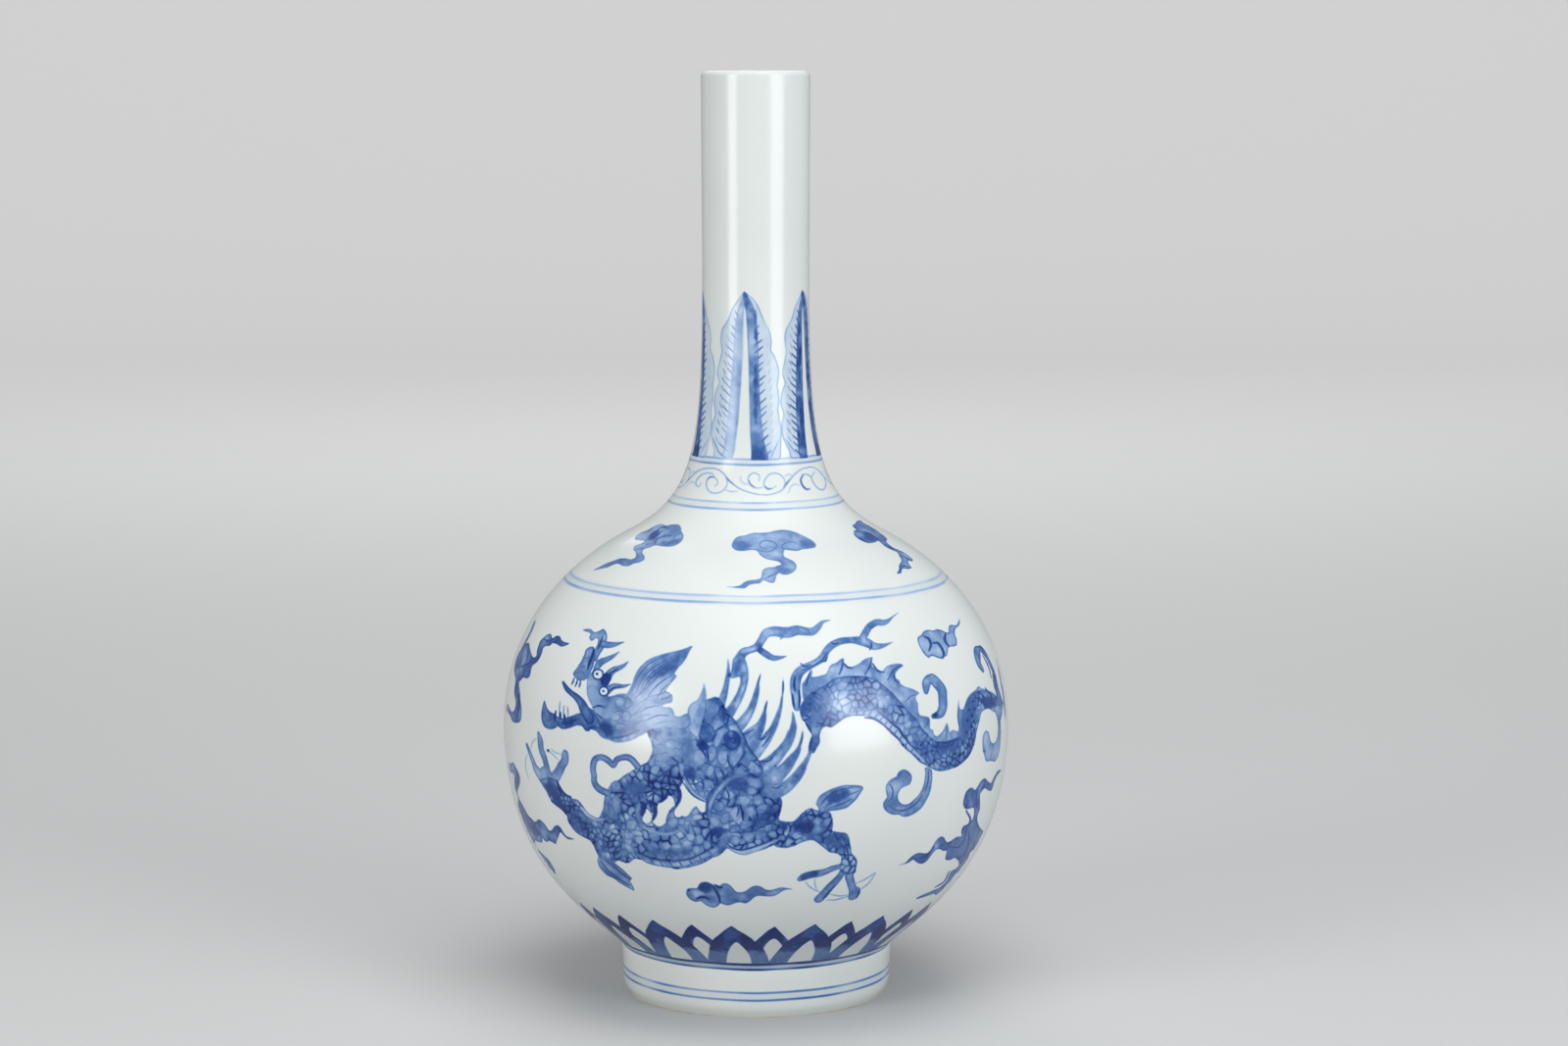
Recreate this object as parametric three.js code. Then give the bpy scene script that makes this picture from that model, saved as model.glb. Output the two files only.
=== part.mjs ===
// A porcelain bottle vase: a globular belly on a turned foot ring, and a long, narrow, straight neck.
// Such a vase is thrown in sections. Each rim is trimmed level, and the sections are luted, which means
// joined with a layer of clay slip, before the vase is painted, glazed and fired.
// Millimetres, +Z up. The origin is the centre of the face that the foot ring stands on.

import * as THREE from 'three';

// Heights above the standing face
const totalHeight = 330;
const bellyHeight = 97.6; // where the belly is widest, which is also its luted seam
const shoulderHeight = 165.4; // where the shoulder stops bulging and starts to flare up into the neck
const neckRootRise = 17.6; // from there up to the luted seam at the root of the neck
const lowerNeckLength = 83; // from that seam up to the one half way up the neck
const waistDrop = 6; // from the upper seam down to the neck's narrowest point

// Outer radii
const footRimRadius = 46.7;
const footBevelRadius = 48.2;
const footTopRadius = 48.7;
const bellyRootRadius = 48.6;
const bellyRadius = 90.8;
const shoulderRadius = 48;
const waistRadius = 19;
const lipRadius = 19.35;

// Foot ring
const footHeight = 16.5;
const footWall = 6; // at the top of the ring
const footRimWidth = 3; // the bare, level band that the vase stands on
const footBevelHeight = 2.3;
const footInnerBevel = 0.9;

// Walls of the thrown sections
const floorThickness = 6.5;
const floorRadius = 37; // of the level floor inside
const bellyWall = 5;
const shoulderWall = 4.6;
const neckWall = 3.9;
const lipRound = 1.7; // radius of the lip's outer and inner rounding

// Angles of the outline, in degrees above level
const bellyRootAngle = 52;
const floorEdgeAngle = 24;
const shoulderAngle = 27.9;

// Lengths of the outline's Bezier handles
const bellyRootHandle = 14.5;
const bellyLowerHandle = 54.6;
const bellyUpperHandle = 37.7;
const shoulderLowerHandle = 18.2;
const shoulderUpperHandle = 28;
const waistHandle = 70;
const floorEdgeHandle = 20;

// Luting slip, with the ridge that is squeezed out inside and never reached again
const slipThickness = 1;
const slipRidge = 1.2;
const footSlipInset = 0.5; // the foot's slip lies this far inside both faces of the ring

// The potter's fingers leave shallow rings inside the belly
const fingerRing = 0.5;

// Fineness of the facets
const turns = 56; // round the axis
const outerSteps = 12; // along each outer curve
const innerSteps = 14; // along each inner curve
const roundSteps = 4; // along each quarter of the lip

const glazeColour = 0xe9ecea;
const bareClayColour = 0xdccfba;
const slipColour = 0xe4e0d4;

const at = (radius, height) => new THREE.Vector2(radius, height);

/** The point a given way from a start, at an angle above level, measured outwards. */
function along(start, degrees, length) {
  const angle = THREE.MathUtils.degToRad(degrees);
  return at(start.x + length * Math.cos(angle), start.y + length * Math.sin(angle));
}

const bellyFoot = footHeight + slipThickness; // underside of the lower belly
const neckRootHeight = shoulderHeight + neckRootRise;
const neckSeamHeight = neckRootHeight + lowerNeckLength;
const waistHeight = neckSeamHeight - waistDrop;
const halfTurn = 180;

/** Points up the outside of the vase, from the root of the belly to the top of the neck. */
function outerOutline() {
  const root = at(bellyRootRadius, bellyFoot);
  const widest = at(bellyRadius, bellyHeight);
  const shoulder = at(shoulderRadius, shoulderHeight);
  const waist = at(waistRadius, waistHeight);
  const path = new THREE.CurvePath();
  path.add(new THREE.CubicBezierCurve(
    root,
    along(root, bellyRootAngle, bellyRootHandle),
    at(bellyRadius, bellyHeight - bellyLowerHandle),
    widest,
  ));
  path.add(new THREE.CubicBezierCurve(
    widest,
    at(bellyRadius, bellyHeight + bellyUpperHandle),
    along(shoulder, -shoulderAngle, shoulderLowerHandle),
    shoulder,
  ));
  path.add(new THREE.CubicBezierCurve(
    shoulder,
    along(shoulder, halfTurn - shoulderAngle, shoulderUpperHandle),
    at(waistRadius, waistHeight - waistHandle),
    waist,
  ));
  path.add(new THREE.LineCurve(waist, at(lipRadius, totalHeight - lipRound)));
  return path.getPoints(outerSteps);
}

/** Points up the inside, from the edge of the level floor to the top of the bore. */
function innerOutline() {
  const floorEdge = at(floorRadius, bellyFoot + floorThickness);
  const widest = at(bellyRadius - bellyWall, bellyHeight);
  const slope = THREE.MathUtils.degToRad(shoulderAngle);
  const shoulder = at(
    shoulderRadius - shoulderWall * Math.sin(slope),
    shoulderHeight - shoulderWall * Math.cos(slope),
  );
  const waist = at(waistRadius - neckWall, waistHeight);
  const lower = new THREE.CubicBezierCurve(
    floorEdge,
    along(floorEdge, floorEdgeAngle, floorEdgeHandle),
    at(widest.x, bellyHeight - bellyLowerHandle),
    widest,
  );
  const upper = new THREE.CubicBezierCurve(
    widest,
    at(widest.x, bellyHeight + bellyUpperHandle),
    along(shoulder, -shoulderAngle, shoulderLowerHandle),
    shoulder,
  );
  const flare = new THREE.CubicBezierCurve(
    shoulder,
    along(shoulder, halfTurn - shoulderAngle, shoulderUpperHandle),
    at(waist.x, waistHeight - waistHandle),
    waist,
  );
  const ringed = [...lower.getPoints(innerSteps), ...upper.getPoints(innerSteps).slice(1)];
  ringed.forEach((point, i) => {
    const isRidge = i % 2 === 1;
    if (isRidge) point.x -= fingerRing;
  });
  const boreTop = at(lipRadius - neckWall, totalHeight - lipRound);
  return [...ringed, ...flare.getPoints(outerSteps).slice(1), boreTop];
}

const outside = outerOutline();
const inside = innerOutline();

/** Radius of an outline at a height, for an outline that only rises. */
function radiusAt(outline, height) {
  const above = Math.max(outline.findIndex((point) => point.y >= height), 1);
  const [low, high] = [outline[above - 1], outline[above]];
  return THREE.MathUtils.mapLinear(height, low.y, high.y, low.x, high.x);
}

/** The stretch of an outline between two heights, with a point at each. */
function stretch(outline, low, high) {
  return [
    at(radiusAt(outline, low), low),
    ...outline.filter((point) => point.y > low && point.y < high),
    at(radiusAt(outline, high), high),
  ];
}

/** A turned body from its closed outline, which runs anticlockwise from the bottom. */
function turned(name, outline, material) {
  const geometry = new THREE.LatheGeometry([...outline, outline[0].clone()], turns);
  geometry.rotateX(Math.PI / 2);
  const mesh = new THREE.Mesh(geometry, material);
  mesh.name = name;
  return mesh;
}

const halfSlip = slipThickness / 2;

/** A thrown section of the wall, trimmed level between two seams. */
function wallSection(name, low, high) {
  const outline = [...stretch(outside, low, high), ...stretch(inside, low, high).reverse()];
  return turned(name, outline, glaze);
}

/** The layer of slip in a seam of the wall, with its ridge inside. */
function slipRing(name, seam) {
  const [low, high] = [seam - halfSlip, seam + halfSlip];
  const outline = [
    at(radiusAt(outside, low), low),
    at(radiusAt(outside, high), high),
    at(radiusAt(inside, high), high),
    at(radiusAt(inside, seam) - slipRidge, seam),
    at(radiusAt(inside, low), low),
  ];
  return turned(name, outline, slip);
}

/** Quarter of a round, from one angle to another in degrees, about a centre. */
function round(centre, from, to) {
  const steps = Array.from({ length: roundSteps + 1 }, (_, i) => i / roundSteps);
  return steps.map((share) => along(centre, THREE.MathUtils.lerp(from, to, share), lipRound));
}

/** The ring under the belly, turned from leather-hard clay, with a bevelled rim. */
function footRing() {
  const rimInner = footRimRadius - footRimWidth;
  const innerTop = footTopRadius - footWall;
  return turned('foot_ring', [
    at(rimInner, 0),
    at(footRimRadius, 0),
    at(footBevelRadius, footBevelHeight),
    at(footTopRadius, footHeight),
    at(innerTop, footHeight),
    at(rimInner - footInnerBevel, footInnerBevel),
  ], bareClay);
}

/** The slip between the foot ring and the belly. */
function footSlip() {
  const outer = footTopRadius - footSlipInset;
  const inner = footTopRadius - footWall + footSlipInset;
  return turned('foot_luting', [
    at(inner, footHeight),
    at(outer, footHeight),
    at(outer, bellyFoot),
    at(inner, bellyFoot),
  ], slip);
}

/** The lower half of the belly, thrown with the vase's floor. */
function lowerBelly() {
  const top = bellyHeight - halfSlip;
  const centreLine = 0;
  return turned('lower_belly', [
    at(centreLine, bellyFoot),
    ...stretch(outside, bellyFoot, top),
    ...stretch(inside, bellyFoot + floorThickness, top).reverse(),
    at(centreLine, bellyFoot + floorThickness),
  ], glaze);
}

/** The upper half of the neck, whose lip is rounded out and in. */
function upperNeck() {
  const low = neckSeamHeight + halfSlip;
  const high = totalHeight - lipRound;
  const outerLip = round(at(lipRadius - lipRound, high), 0, halfTurn / 2);
  const innerLip = round(at(lipRadius - neckWall + lipRound, high), halfTurn / 2, halfTurn);
  const outer = stretch(outside, low, high).slice(0, -1);
  const inner = stretch(inside, low, high).slice(0, -1).reverse();
  return turned('upper_neck', [...outer, ...outerLip, ...innerLip, ...inner], glaze);
}

const glaze = new THREE.MeshStandardMaterial({ color: glazeColour, roughness: 0.12, metalness: 0 });
const bareClay = new THREE.MeshStandardMaterial({ color: bareClayColour, roughness: 0.8, metalness: 0 });
const slip = new THREE.MeshStandardMaterial({ color: slipColour, roughness: 0.5, metalness: 0 });

const vase = new THREE.Group();
vase.add(
  footRing(),
  footSlip(),
  lowerBelly(),
  slipRing('belly_luting', bellyHeight),
  wallSection('upper_belly', bellyHeight + halfSlip, neckRootHeight - halfSlip),
  slipRing('neck_root_luting', neckRootHeight),
  wallSection('lower_neck', neckRootHeight + halfSlip, neckSeamHeight - halfSlip),
  slipRing('neck_luting', neckSeamHeight),
  upperNeck(),
);

export default vase;
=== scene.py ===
"""A porcelain bottle vase painted in cobalt blue, turned and painted over the frame of its solids.

The vase stands at the origin with its axis up and its painted front towards -Y. Its wall is turned from
the same outline as the solids. The painting is laid on as brush strokes: each stroke is a named run of
points, traced in the photograph's frame of 1600 x 1067 pixels and carried onto the turned form.
"""
from __future__ import annotations

import logging
import math
from dataclasses import dataclass

import bpy
import numpy as np
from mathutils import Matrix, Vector


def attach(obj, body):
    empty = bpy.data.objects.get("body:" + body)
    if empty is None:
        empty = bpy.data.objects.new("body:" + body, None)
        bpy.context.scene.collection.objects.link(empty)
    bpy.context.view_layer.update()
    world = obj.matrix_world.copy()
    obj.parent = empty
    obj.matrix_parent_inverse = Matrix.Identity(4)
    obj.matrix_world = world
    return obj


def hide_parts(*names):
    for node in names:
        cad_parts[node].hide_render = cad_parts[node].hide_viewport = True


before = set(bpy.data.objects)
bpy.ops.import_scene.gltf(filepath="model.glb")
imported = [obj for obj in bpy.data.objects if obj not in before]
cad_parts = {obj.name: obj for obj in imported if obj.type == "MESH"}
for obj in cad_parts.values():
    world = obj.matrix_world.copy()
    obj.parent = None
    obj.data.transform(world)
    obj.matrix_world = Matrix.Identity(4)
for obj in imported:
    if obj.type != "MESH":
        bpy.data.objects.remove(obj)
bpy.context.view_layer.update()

MM = 0.001
TURN = 2 * math.pi
TINY = 1e-9  # keeps a length that is divided by above nothing
Pixels = tuple  # points traced in the photograph's 1600 x 1067 frame
log = logging.getLogger("vase")


def bezier(a: tuple, b: tuple, c: tuple, d: tuple, steps: int) -> np.ndarray:
    """Points along a cubic curve.

    Args:
        a, b, c, d: The curve's ends and handles, as (radius, height).
        steps: How many stretches it is cut into.

    Returns:
        The points, one row each.
    """
    t = np.linspace(0, 1, steps + 1)[:, None]
    a, b, c, d = (np.array(point, float) for point in (a, b, c, d))
    return (1 - t) ** 3 * a + 3 * (1 - t) ** 2 * t * b + 3 * (1 - t) * t**2 * c + t**3 * d


def handle(point: tuple, angle: float, reach: float) -> tuple:
    """A curve's handle, this far from a point and at this angle in radians above level."""
    return point[0] + reach * math.cos(angle), point[1] + reach * math.sin(angle)


def run_along(points: np.ndarray) -> np.ndarray:
    """Length of a line up to each of its points, whose places are their first two columns."""
    return np.concatenate([[0], np.cumsum(np.hypot(*np.diff(points[:, :2], axis=0).T))])


def smooth_through(points: np.ndarray, spacing: float, closed: bool = False) -> np.ndarray:
    """A smooth curve through points, with any further columns carried along.

    Args:
        points: One row for each point; the first two columns are its place.
        spacing: About how far apart the curve's own points lie.
        closed: Whether the curve joins its last point to its first.

    Returns:
        The curve's points, in rows like those given.
    """
    points = np.asarray(points, float)
    if closed:
        ring = np.concatenate([points[-1:], points, points[:2]])
    else:
        ring = np.concatenate([2 * points[:1] - points[1:2], points, 2 * points[-1:] - points[-2:-1]])
    curve = []
    for p0, p1, p2, p3 in zip(ring, ring[1:], ring[2:], ring[3:]):
        count = max(2, int(math.hypot(*(p2 - p1)[:2]) / spacing) + 1)
        t = np.linspace(0, 1, count, endpoint=False)[:, None]
        bend = 2 * p0 - 5 * p1 + 4 * p2 - p3
        twist = 3 * p1 - p0 - 3 * p2 + p3
        curve.append(0.5 * (2 * p1 + (p2 - p0) * t + bend * t**2 + twist * t**3))
    if not closed:
        curve.append(points[-1:])
    return np.concatenate(curve)


def eased(share: np.ndarray) -> np.ndarray:
    """Shares from 0 to 1, eased at both ends."""
    return share * share * (3 - 2 * share)


def noise(x: np.ndarray, y: np.ndarray, size: float, seed: int, table_size: int = 256) -> np.ndarray:
    """Smooth random values between 0 and 1 over a plane.

    Args:
        x, y: Places.
        size: Distance between the random values.
        seed: Which pattern it is.
        table_size: After how many values the pattern repeats.

    Returns:
        A value for each place.
    """
    table = np.random.default_rng(seed).random((table_size, table_size)).astype(np.float32)
    x, y = x / size, y / size
    c, r = np.floor(x).astype(int), np.floor(y).astype(int)
    fx, fy = eased(x - c), eased(y - r)
    left, right = c % table_size, (c + 1) % table_size
    under, over = r % table_size, (r + 1) % table_size
    low = table[under, left] * (1 - fx) + table[under, right] * fx
    high = table[over, left] * (1 - fx) + table[over, right] * fx
    return low * (1 - fy) + high * fy


def scales(x: np.ndarray, y: np.ndarray, size: float, seed: int, shift: float = 0.42) -> tuple:
    """A net of rounded cells, as brushed scales make.

    Args:
        x, y: Places in millimetres.
        size: Size of a scale.
        seed: Which pattern it is.
        shift: How far off its even place a scale may sit, as a share of its size.

    Returns:
        Distance to the nearest line of the net, a random value for each cell, and distance to its middle.
    """
    table_size, far = 64, 9.0
    shake = np.random.default_rng(seed).random((table_size, table_size, 3)).astype(np.float32)
    gx, gy = x / size, y / size
    c, r = np.floor(gx).astype(int), np.floor(gy).astype(int)
    first = np.full(gx.shape, far, np.float32)
    second = first.copy()
    tint = np.zeros(gx.shape, np.float32)
    for dr in (-1, 0, 1):
        for dc in (-1, 0, 1):
            cell = shake[(r + dr) % table_size, (c + dc) % table_size]
            px = c + dc + 0.5 + shift * (cell[..., 0] - 0.5) * 2 + 0.5 * ((r + dr) % 2)
            py = r + dr + 0.5 + shift * (cell[..., 1] - 0.5) * 2
            away = np.hypot(gx - px, gy - py)
            closer = away < first
            second = np.where(closer, first, np.minimum(second, away))
            tint = np.where(closer, cell[..., 2], tint)
            first = np.where(closer, away, first)
    return (second - first) * size, tint, first * size


@dataclass(frozen=True)
class VaseForm:
    """The turned outline of the vase, in millimetres and degrees, as the solids have it."""

    total_height: float = 330
    foot_height: float = 16.5
    foot_seam: float = 16.9
    belly_foot: float = 17.5
    belly_height: float = 97.6
    shoulder_height: float = 165.4
    neck_root_height: float = 183
    neck_seam_height: float = 266
    waist_height: float = 260
    foot_top_radius: float = 48.7
    foot_bevel_radius: float = 48.2
    foot_bevel_height: float = 2.3
    foot_rim_radius: float = 46.7
    belly_root_radius: float = 48.6
    belly_radius: float = 90.8
    shoulder_radius: float = 48
    waist_radius: float = 19
    lip_radius: float = 19.35
    lip_round: float = 1.7
    root_angle: float = 52
    shoulder_angle: float = 27.9
    root_handle: float = 14.5
    lower_handle: float = 54.6
    upper_handle: float = 37.7
    shoulder_lower_handle: float = 18.2
    shoulder_upper_handle: float = 28
    waist_handle: float = 70
    steps: int = 160

    def side(self, root: tuple, root_handle: tuple, widest: tuple, shoulder: tuple,
             waist: tuple) -> np.ndarray:
        """One side of the wall, outside or inside, between the places that it passes.

        Args:
            root: Its lowest point, as (radius, height).
            root_handle: The handle of the curve that leaves it.
            widest: Its widest point.
            shoulder: Where it turns from the belly into the neck's flare.
            waist: The neck's narrowest point.

        Returns:
            Points (radius, height) from the root up to the waist.
        """
        tilt = -math.radians(self.shoulder_angle)
        belly = bezier(root, root_handle, (widest[0], widest[1] - self.lower_handle), widest, self.steps)
        cap = bezier(widest, (widest[0], widest[1] + self.upper_handle),
                     handle(shoulder, tilt, self.shoulder_lower_handle), shoulder, self.steps)
        flare = bezier(shoulder, handle(shoulder, tilt, -self.shoulder_upper_handle),
                       (waist[0], waist[1] - self.waist_handle), waist, self.steps)
        return np.concatenate([belly, cap[1:], flare[1:]])

    def outline(self) -> np.ndarray:
        """Points (radius, height) up the outside, from the foot's rim to the lip."""
        root = (self.belly_root_radius, self.belly_foot)
        side = self.side(root, handle(root, math.radians(self.root_angle), self.root_handle),
                         (self.belly_radius, self.belly_height),
                         (self.shoulder_radius, self.shoulder_height), (self.waist_radius, self.waist_height))
        foot = [(self.foot_rim_radius, 0), (self.foot_bevel_radius, self.foot_bevel_height),
                (self.foot_top_radius, self.foot_height)]
        top = [(self.lip_radius, self.total_height - self.lip_round)]
        return np.concatenate([np.array(foot), side, np.array(top)])


class Chart:
    """The outside of the vase laid flat without distorting angles, like a sailor's chart of the globe."""

    cuts = 7  # stretches that each stretch of the outline is cut into

    def __init__(self, form: VaseForm) -> None:
        """Works the chart out from the turned outline."""
        outline = form.outline()
        share = np.linspace(0, 1, self.cuts + 1)[:-1, None]
        stretches = [a + (b - a) * share for a, b in zip(outline, outline[1:])]
        fine = np.concatenate(stretches + [outline[-1:]])
        self.height = fine[:, 1]
        self.radius = fine[:, 0]
        step = np.hypot(*np.diff(fine, axis=0).T) / ((fine[1:, 0] + fine[:-1, 0]) / 2)
        climb = np.concatenate([[0], np.cumsum(step)])
        self.climb = climb - np.interp(form.belly_height, self.height, climb)

    def radius_at(self, height: np.ndarray) -> np.ndarray:
        """Radius of the outside at a height, both in millimetres."""
        return np.interp(height, self.height, self.radius)

    def slope_at(self, height: np.ndarray) -> np.ndarray:
        """How fast the radius grows with height."""
        return np.interp(height, self.height, np.gradient(self.radius, self.height))

    def climb_at(self, height: np.ndarray) -> np.ndarray:
        """How far up the chart a height lies, in radians."""
        return np.interp(height, self.height, self.climb)

    def height_at(self, climb: np.ndarray) -> np.ndarray:
        """The height in millimetres that a place up the chart stands for."""
        return np.interp(climb, self.climb, self.height)


@dataclass(frozen=True)
class Eye:
    """The photograph's viewpoint, fitted to the outline and the painted rings: millimetres and pixels."""

    focal: float = 3624.5
    distance: float = 1264.36
    height: float = 320.2
    pitch: float = 0.11878
    centre_y: float = 533.5
    axis_x: float = 771.2
    axis_row: float = 700  # the row in which the vase's axis stands at axis_x
    axis_lean: float = 0.0045  # pixels sideways for each pixel up, because the vase leans a little
    pixel: float = 0.33  # how much of the belly's front one pixel shows
    limb_margin: float = 0.7
    pull: float = 0.004  # share of the way to the axis that a pixel past the edge is moved at a time
    pulls: int = 12
    reach: float = 1.1  # how far before its point nearest the axis a sight line is searched, in belly radii
    steps: int = 160
    halvings: int = 18

    def rays(self, points: np.ndarray) -> np.ndarray:
        """Directions of the sight lines through pixels, in a frame turned so that the axis is ahead."""
        points = np.asarray(points, float)
        right = (points[:, 0] - self.axis_x + (points[:, 1] - self.axis_row) * self.axis_lean) / self.focal
        up = (self.centre_y - points[:, 1]) / self.focal
        ahead = math.cos(self.pitch) + up * math.sin(self.pitch)
        return np.stack([right, ahead, up * math.cos(self.pitch) - math.sin(self.pitch)], 1)

    def nearest(self, way: np.ndarray) -> np.ndarray:
        """How far along sight lines their nearest points to the vase's axis lie."""
        return self.distance * way[:, 1] / (way[:, 0] ** 2 + way[:, 1] ** 2)

    def clearance(self, way: np.ndarray, t: np.ndarray, chart: Chart) -> np.ndarray:
        """How far outside the vase the points a given way along sight lines lie."""
        x, y = way[:, :1] * t, way[:, 1:2] * t - self.distance
        return np.hypot(x, y) - chart.radius_at(self.height + way[:, 2:] * t)

    def pull_in(self, points: np.ndarray, chart: Chart) -> np.ndarray:
        """Moves pixels that lie on or past the vase's edge a little towards its axis."""
        points = np.array(points, float)
        for _ in range(self.pulls):
            way = self.rays(points)
            past = self.clearance(way, self.nearest(way)[:, None], chart)[:, 0] > -self.limb_margin
            if not past.any():
                break
            points[past, 0] += (self.axis_x - points[past, 0]) * self.pull
        return points

    def place(self, points: np.ndarray, chart: Chart) -> np.ndarray:
        """Where sight lines through pixels meet the vase.

        Args:
            points: Pixels, one row each.
            chart: The vase's chart, which knows its outline.

        Returns:
            Rows of azimuth and climb in radians, with azimuth 0 to the front and growing to the right.
        """
        way = self.rays(points)
        nearest = self.nearest(way)
        start = nearest - chart.radius.max() * self.reach
        t = start[:, None] + (nearest - start)[:, None] * np.linspace(0, 1, self.steps)
        outside = self.clearance(way, t, chart) > 0
        last = np.where(~outside, np.arange(self.steps), self.steps - 1).min(axis=1)
        last = np.clip(last, 1, self.steps - 1)
        rows = np.arange(len(way))
        low, high = t[rows, last - 1], t[rows, last]
        for _ in range(self.halvings):
            middle = (low + high) / 2
            is_out = self.clearance(way, middle[:, None], chart)[:, 0] > 0
            low, high = np.where(is_out, middle, low), np.where(is_out, high, middle)
        x, y = way[:, 0] * high, way[:, 1] * high - self.distance
        height = self.height + way[:, 2] * high
        return np.stack([np.arctan2(x, -y), chart.climb_at(height)], 1)


@dataclass(frozen=True)
class Wash:
    """How one painted shape is filled with cobalt: a pale wash inside a dark drawn edge."""

    body: float = 0.34
    pool: float = 0.16  # extra cobalt that settles along the edge
    pool_reach: float = 1.2
    line: float = 0.8
    line_width: float = 0.75
    soft: float = 0.22
    mottle: float = 0.35
    mottle_size: float = 5.0


@dataclass(frozen=True)
class Drying:
    """How cobalt settles in every wash: its patches in millimetres, and which random pattern each reads."""

    broad_share: float = 0.6
    broad_seed: int = 3
    fine_share: float = 0.4
    fine_step: float = 2.6  # how much smaller the fine patches are than the broad ones
    fine_seed: int = 4
    swing: float = 2.6
    pool_patch: float = 3.1
    pool_seed: int = 8
    edge_fall: float = 1.7
    edge_patch: float = 4.3
    edge_seed: int = 9
    edge_least: float = 0.2
    edge_swing: float = 1.25
    ragged: float = 1.3  # how uneven the edge of a bleeding patch is, as a share of its softness
    ragged_patch: float = 1.7
    ragged_seed: int = 6
    damp_from: float = 0.4
    damp_slope: float = 5


DRYING = Drying()
BODY = Wash(body=0.48, pool=0.1, line=0.78, line_width=0.4, mottle=0.4)
FLESH = Wash(body=0.42, pool=0.14, line=0.76, line_width=0.36, mottle=0.42)
FIN = Wash(body=0.36, pool=0.1, line=0.62, line_width=0.34, mottle=0.45, mottle_size=4)
FLAME = Wash(body=0.42, pool=0.12, line=0.62, line_width=0.34, mottle=0.45, mottle_size=4)
CLOUD = Wash(body=0.46, pool=0.14, line=0.76, line_width=0.4, mottle=0.42, mottle_size=4)
WHITE = Wash(body=0.0, pool=0.0, line=0.0, mottle=0.0)
WET = Wash(body=0.6, pool=0.16, line=0.96, line_width=0.42, mottle=0.42, mottle_size=4)


class Sheet:
    """One band of the vase's chart that is painted once and then repeated round the vase."""

    def __init__(self, chart: Chart, copies: int, band: tuple, fineness: float, turned: float = 0) -> None:
        """Lays out a blank band.

        Args:
            chart: The vase's chart.
            copies: How often the band's painting goes round the vase.
            band: Heights of the band's lower and upper edge in millimetres.
            fineness: Size of one dab in millimetres where the band is widest.
            turned: Azimuth in radians where the band's first column lies.
        """
        low, high = band
        self.chart = chart
        self.turned = turned
        period = TURN / copies
        widest = chart.radius_at(np.linspace(low, high, 50)).max()
        self.columns = int(round(period * widest / fineness))
        self.cell = period / self.columns
        self.bottom = float(chart.climb_at(low))
        self.rows = int((float(chart.climb_at(high)) - self.bottom) / self.cell) + 1
        self.ink = np.zeros((self.rows, self.columns), np.float32)
        self.scale = chart.radius_at(chart.height_at(self.climbs())).astype(np.float32)

    def climbs(self) -> np.ndarray:
        """Climb of each row's middle."""
        return self.bottom + (np.arange(self.rows) + 0.5) * self.cell

    def look_up(self, azimuth: np.ndarray, climb: np.ndarray) -> np.ndarray:
        """The cobalt at places on the vase, read between the band's dabs.

        Args:
            azimuth: Azimuths in radians.
            climb: Climbs in radians.

        Returns:
            The cobalt there, and nothing beyond the band's edges.
        """
        column = (azimuth - self.turned) / self.cell - 0.5
        row = (climb - self.bottom) / self.cell - 0.5
        inside = (row > -0.5) & (row < self.rows - 0.5)
        row = np.clip(row, 0, self.rows - 1.001)
        c0, r0 = np.floor(column).astype(int), np.floor(row).astype(int)
        fc, fr = column - c0, row - r0
        c0, c1 = c0 % self.columns, (c0 + 1) % self.columns
        low = self.ink[r0, c0] * (1 - fc) + self.ink[r0, c1] * fc
        high = self.ink[r0 + 1, c0] * (1 - fc) + self.ink[r0 + 1, c1] * fc
        return np.where(inside, low * (1 - fr) + high * fr, 0)


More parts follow.
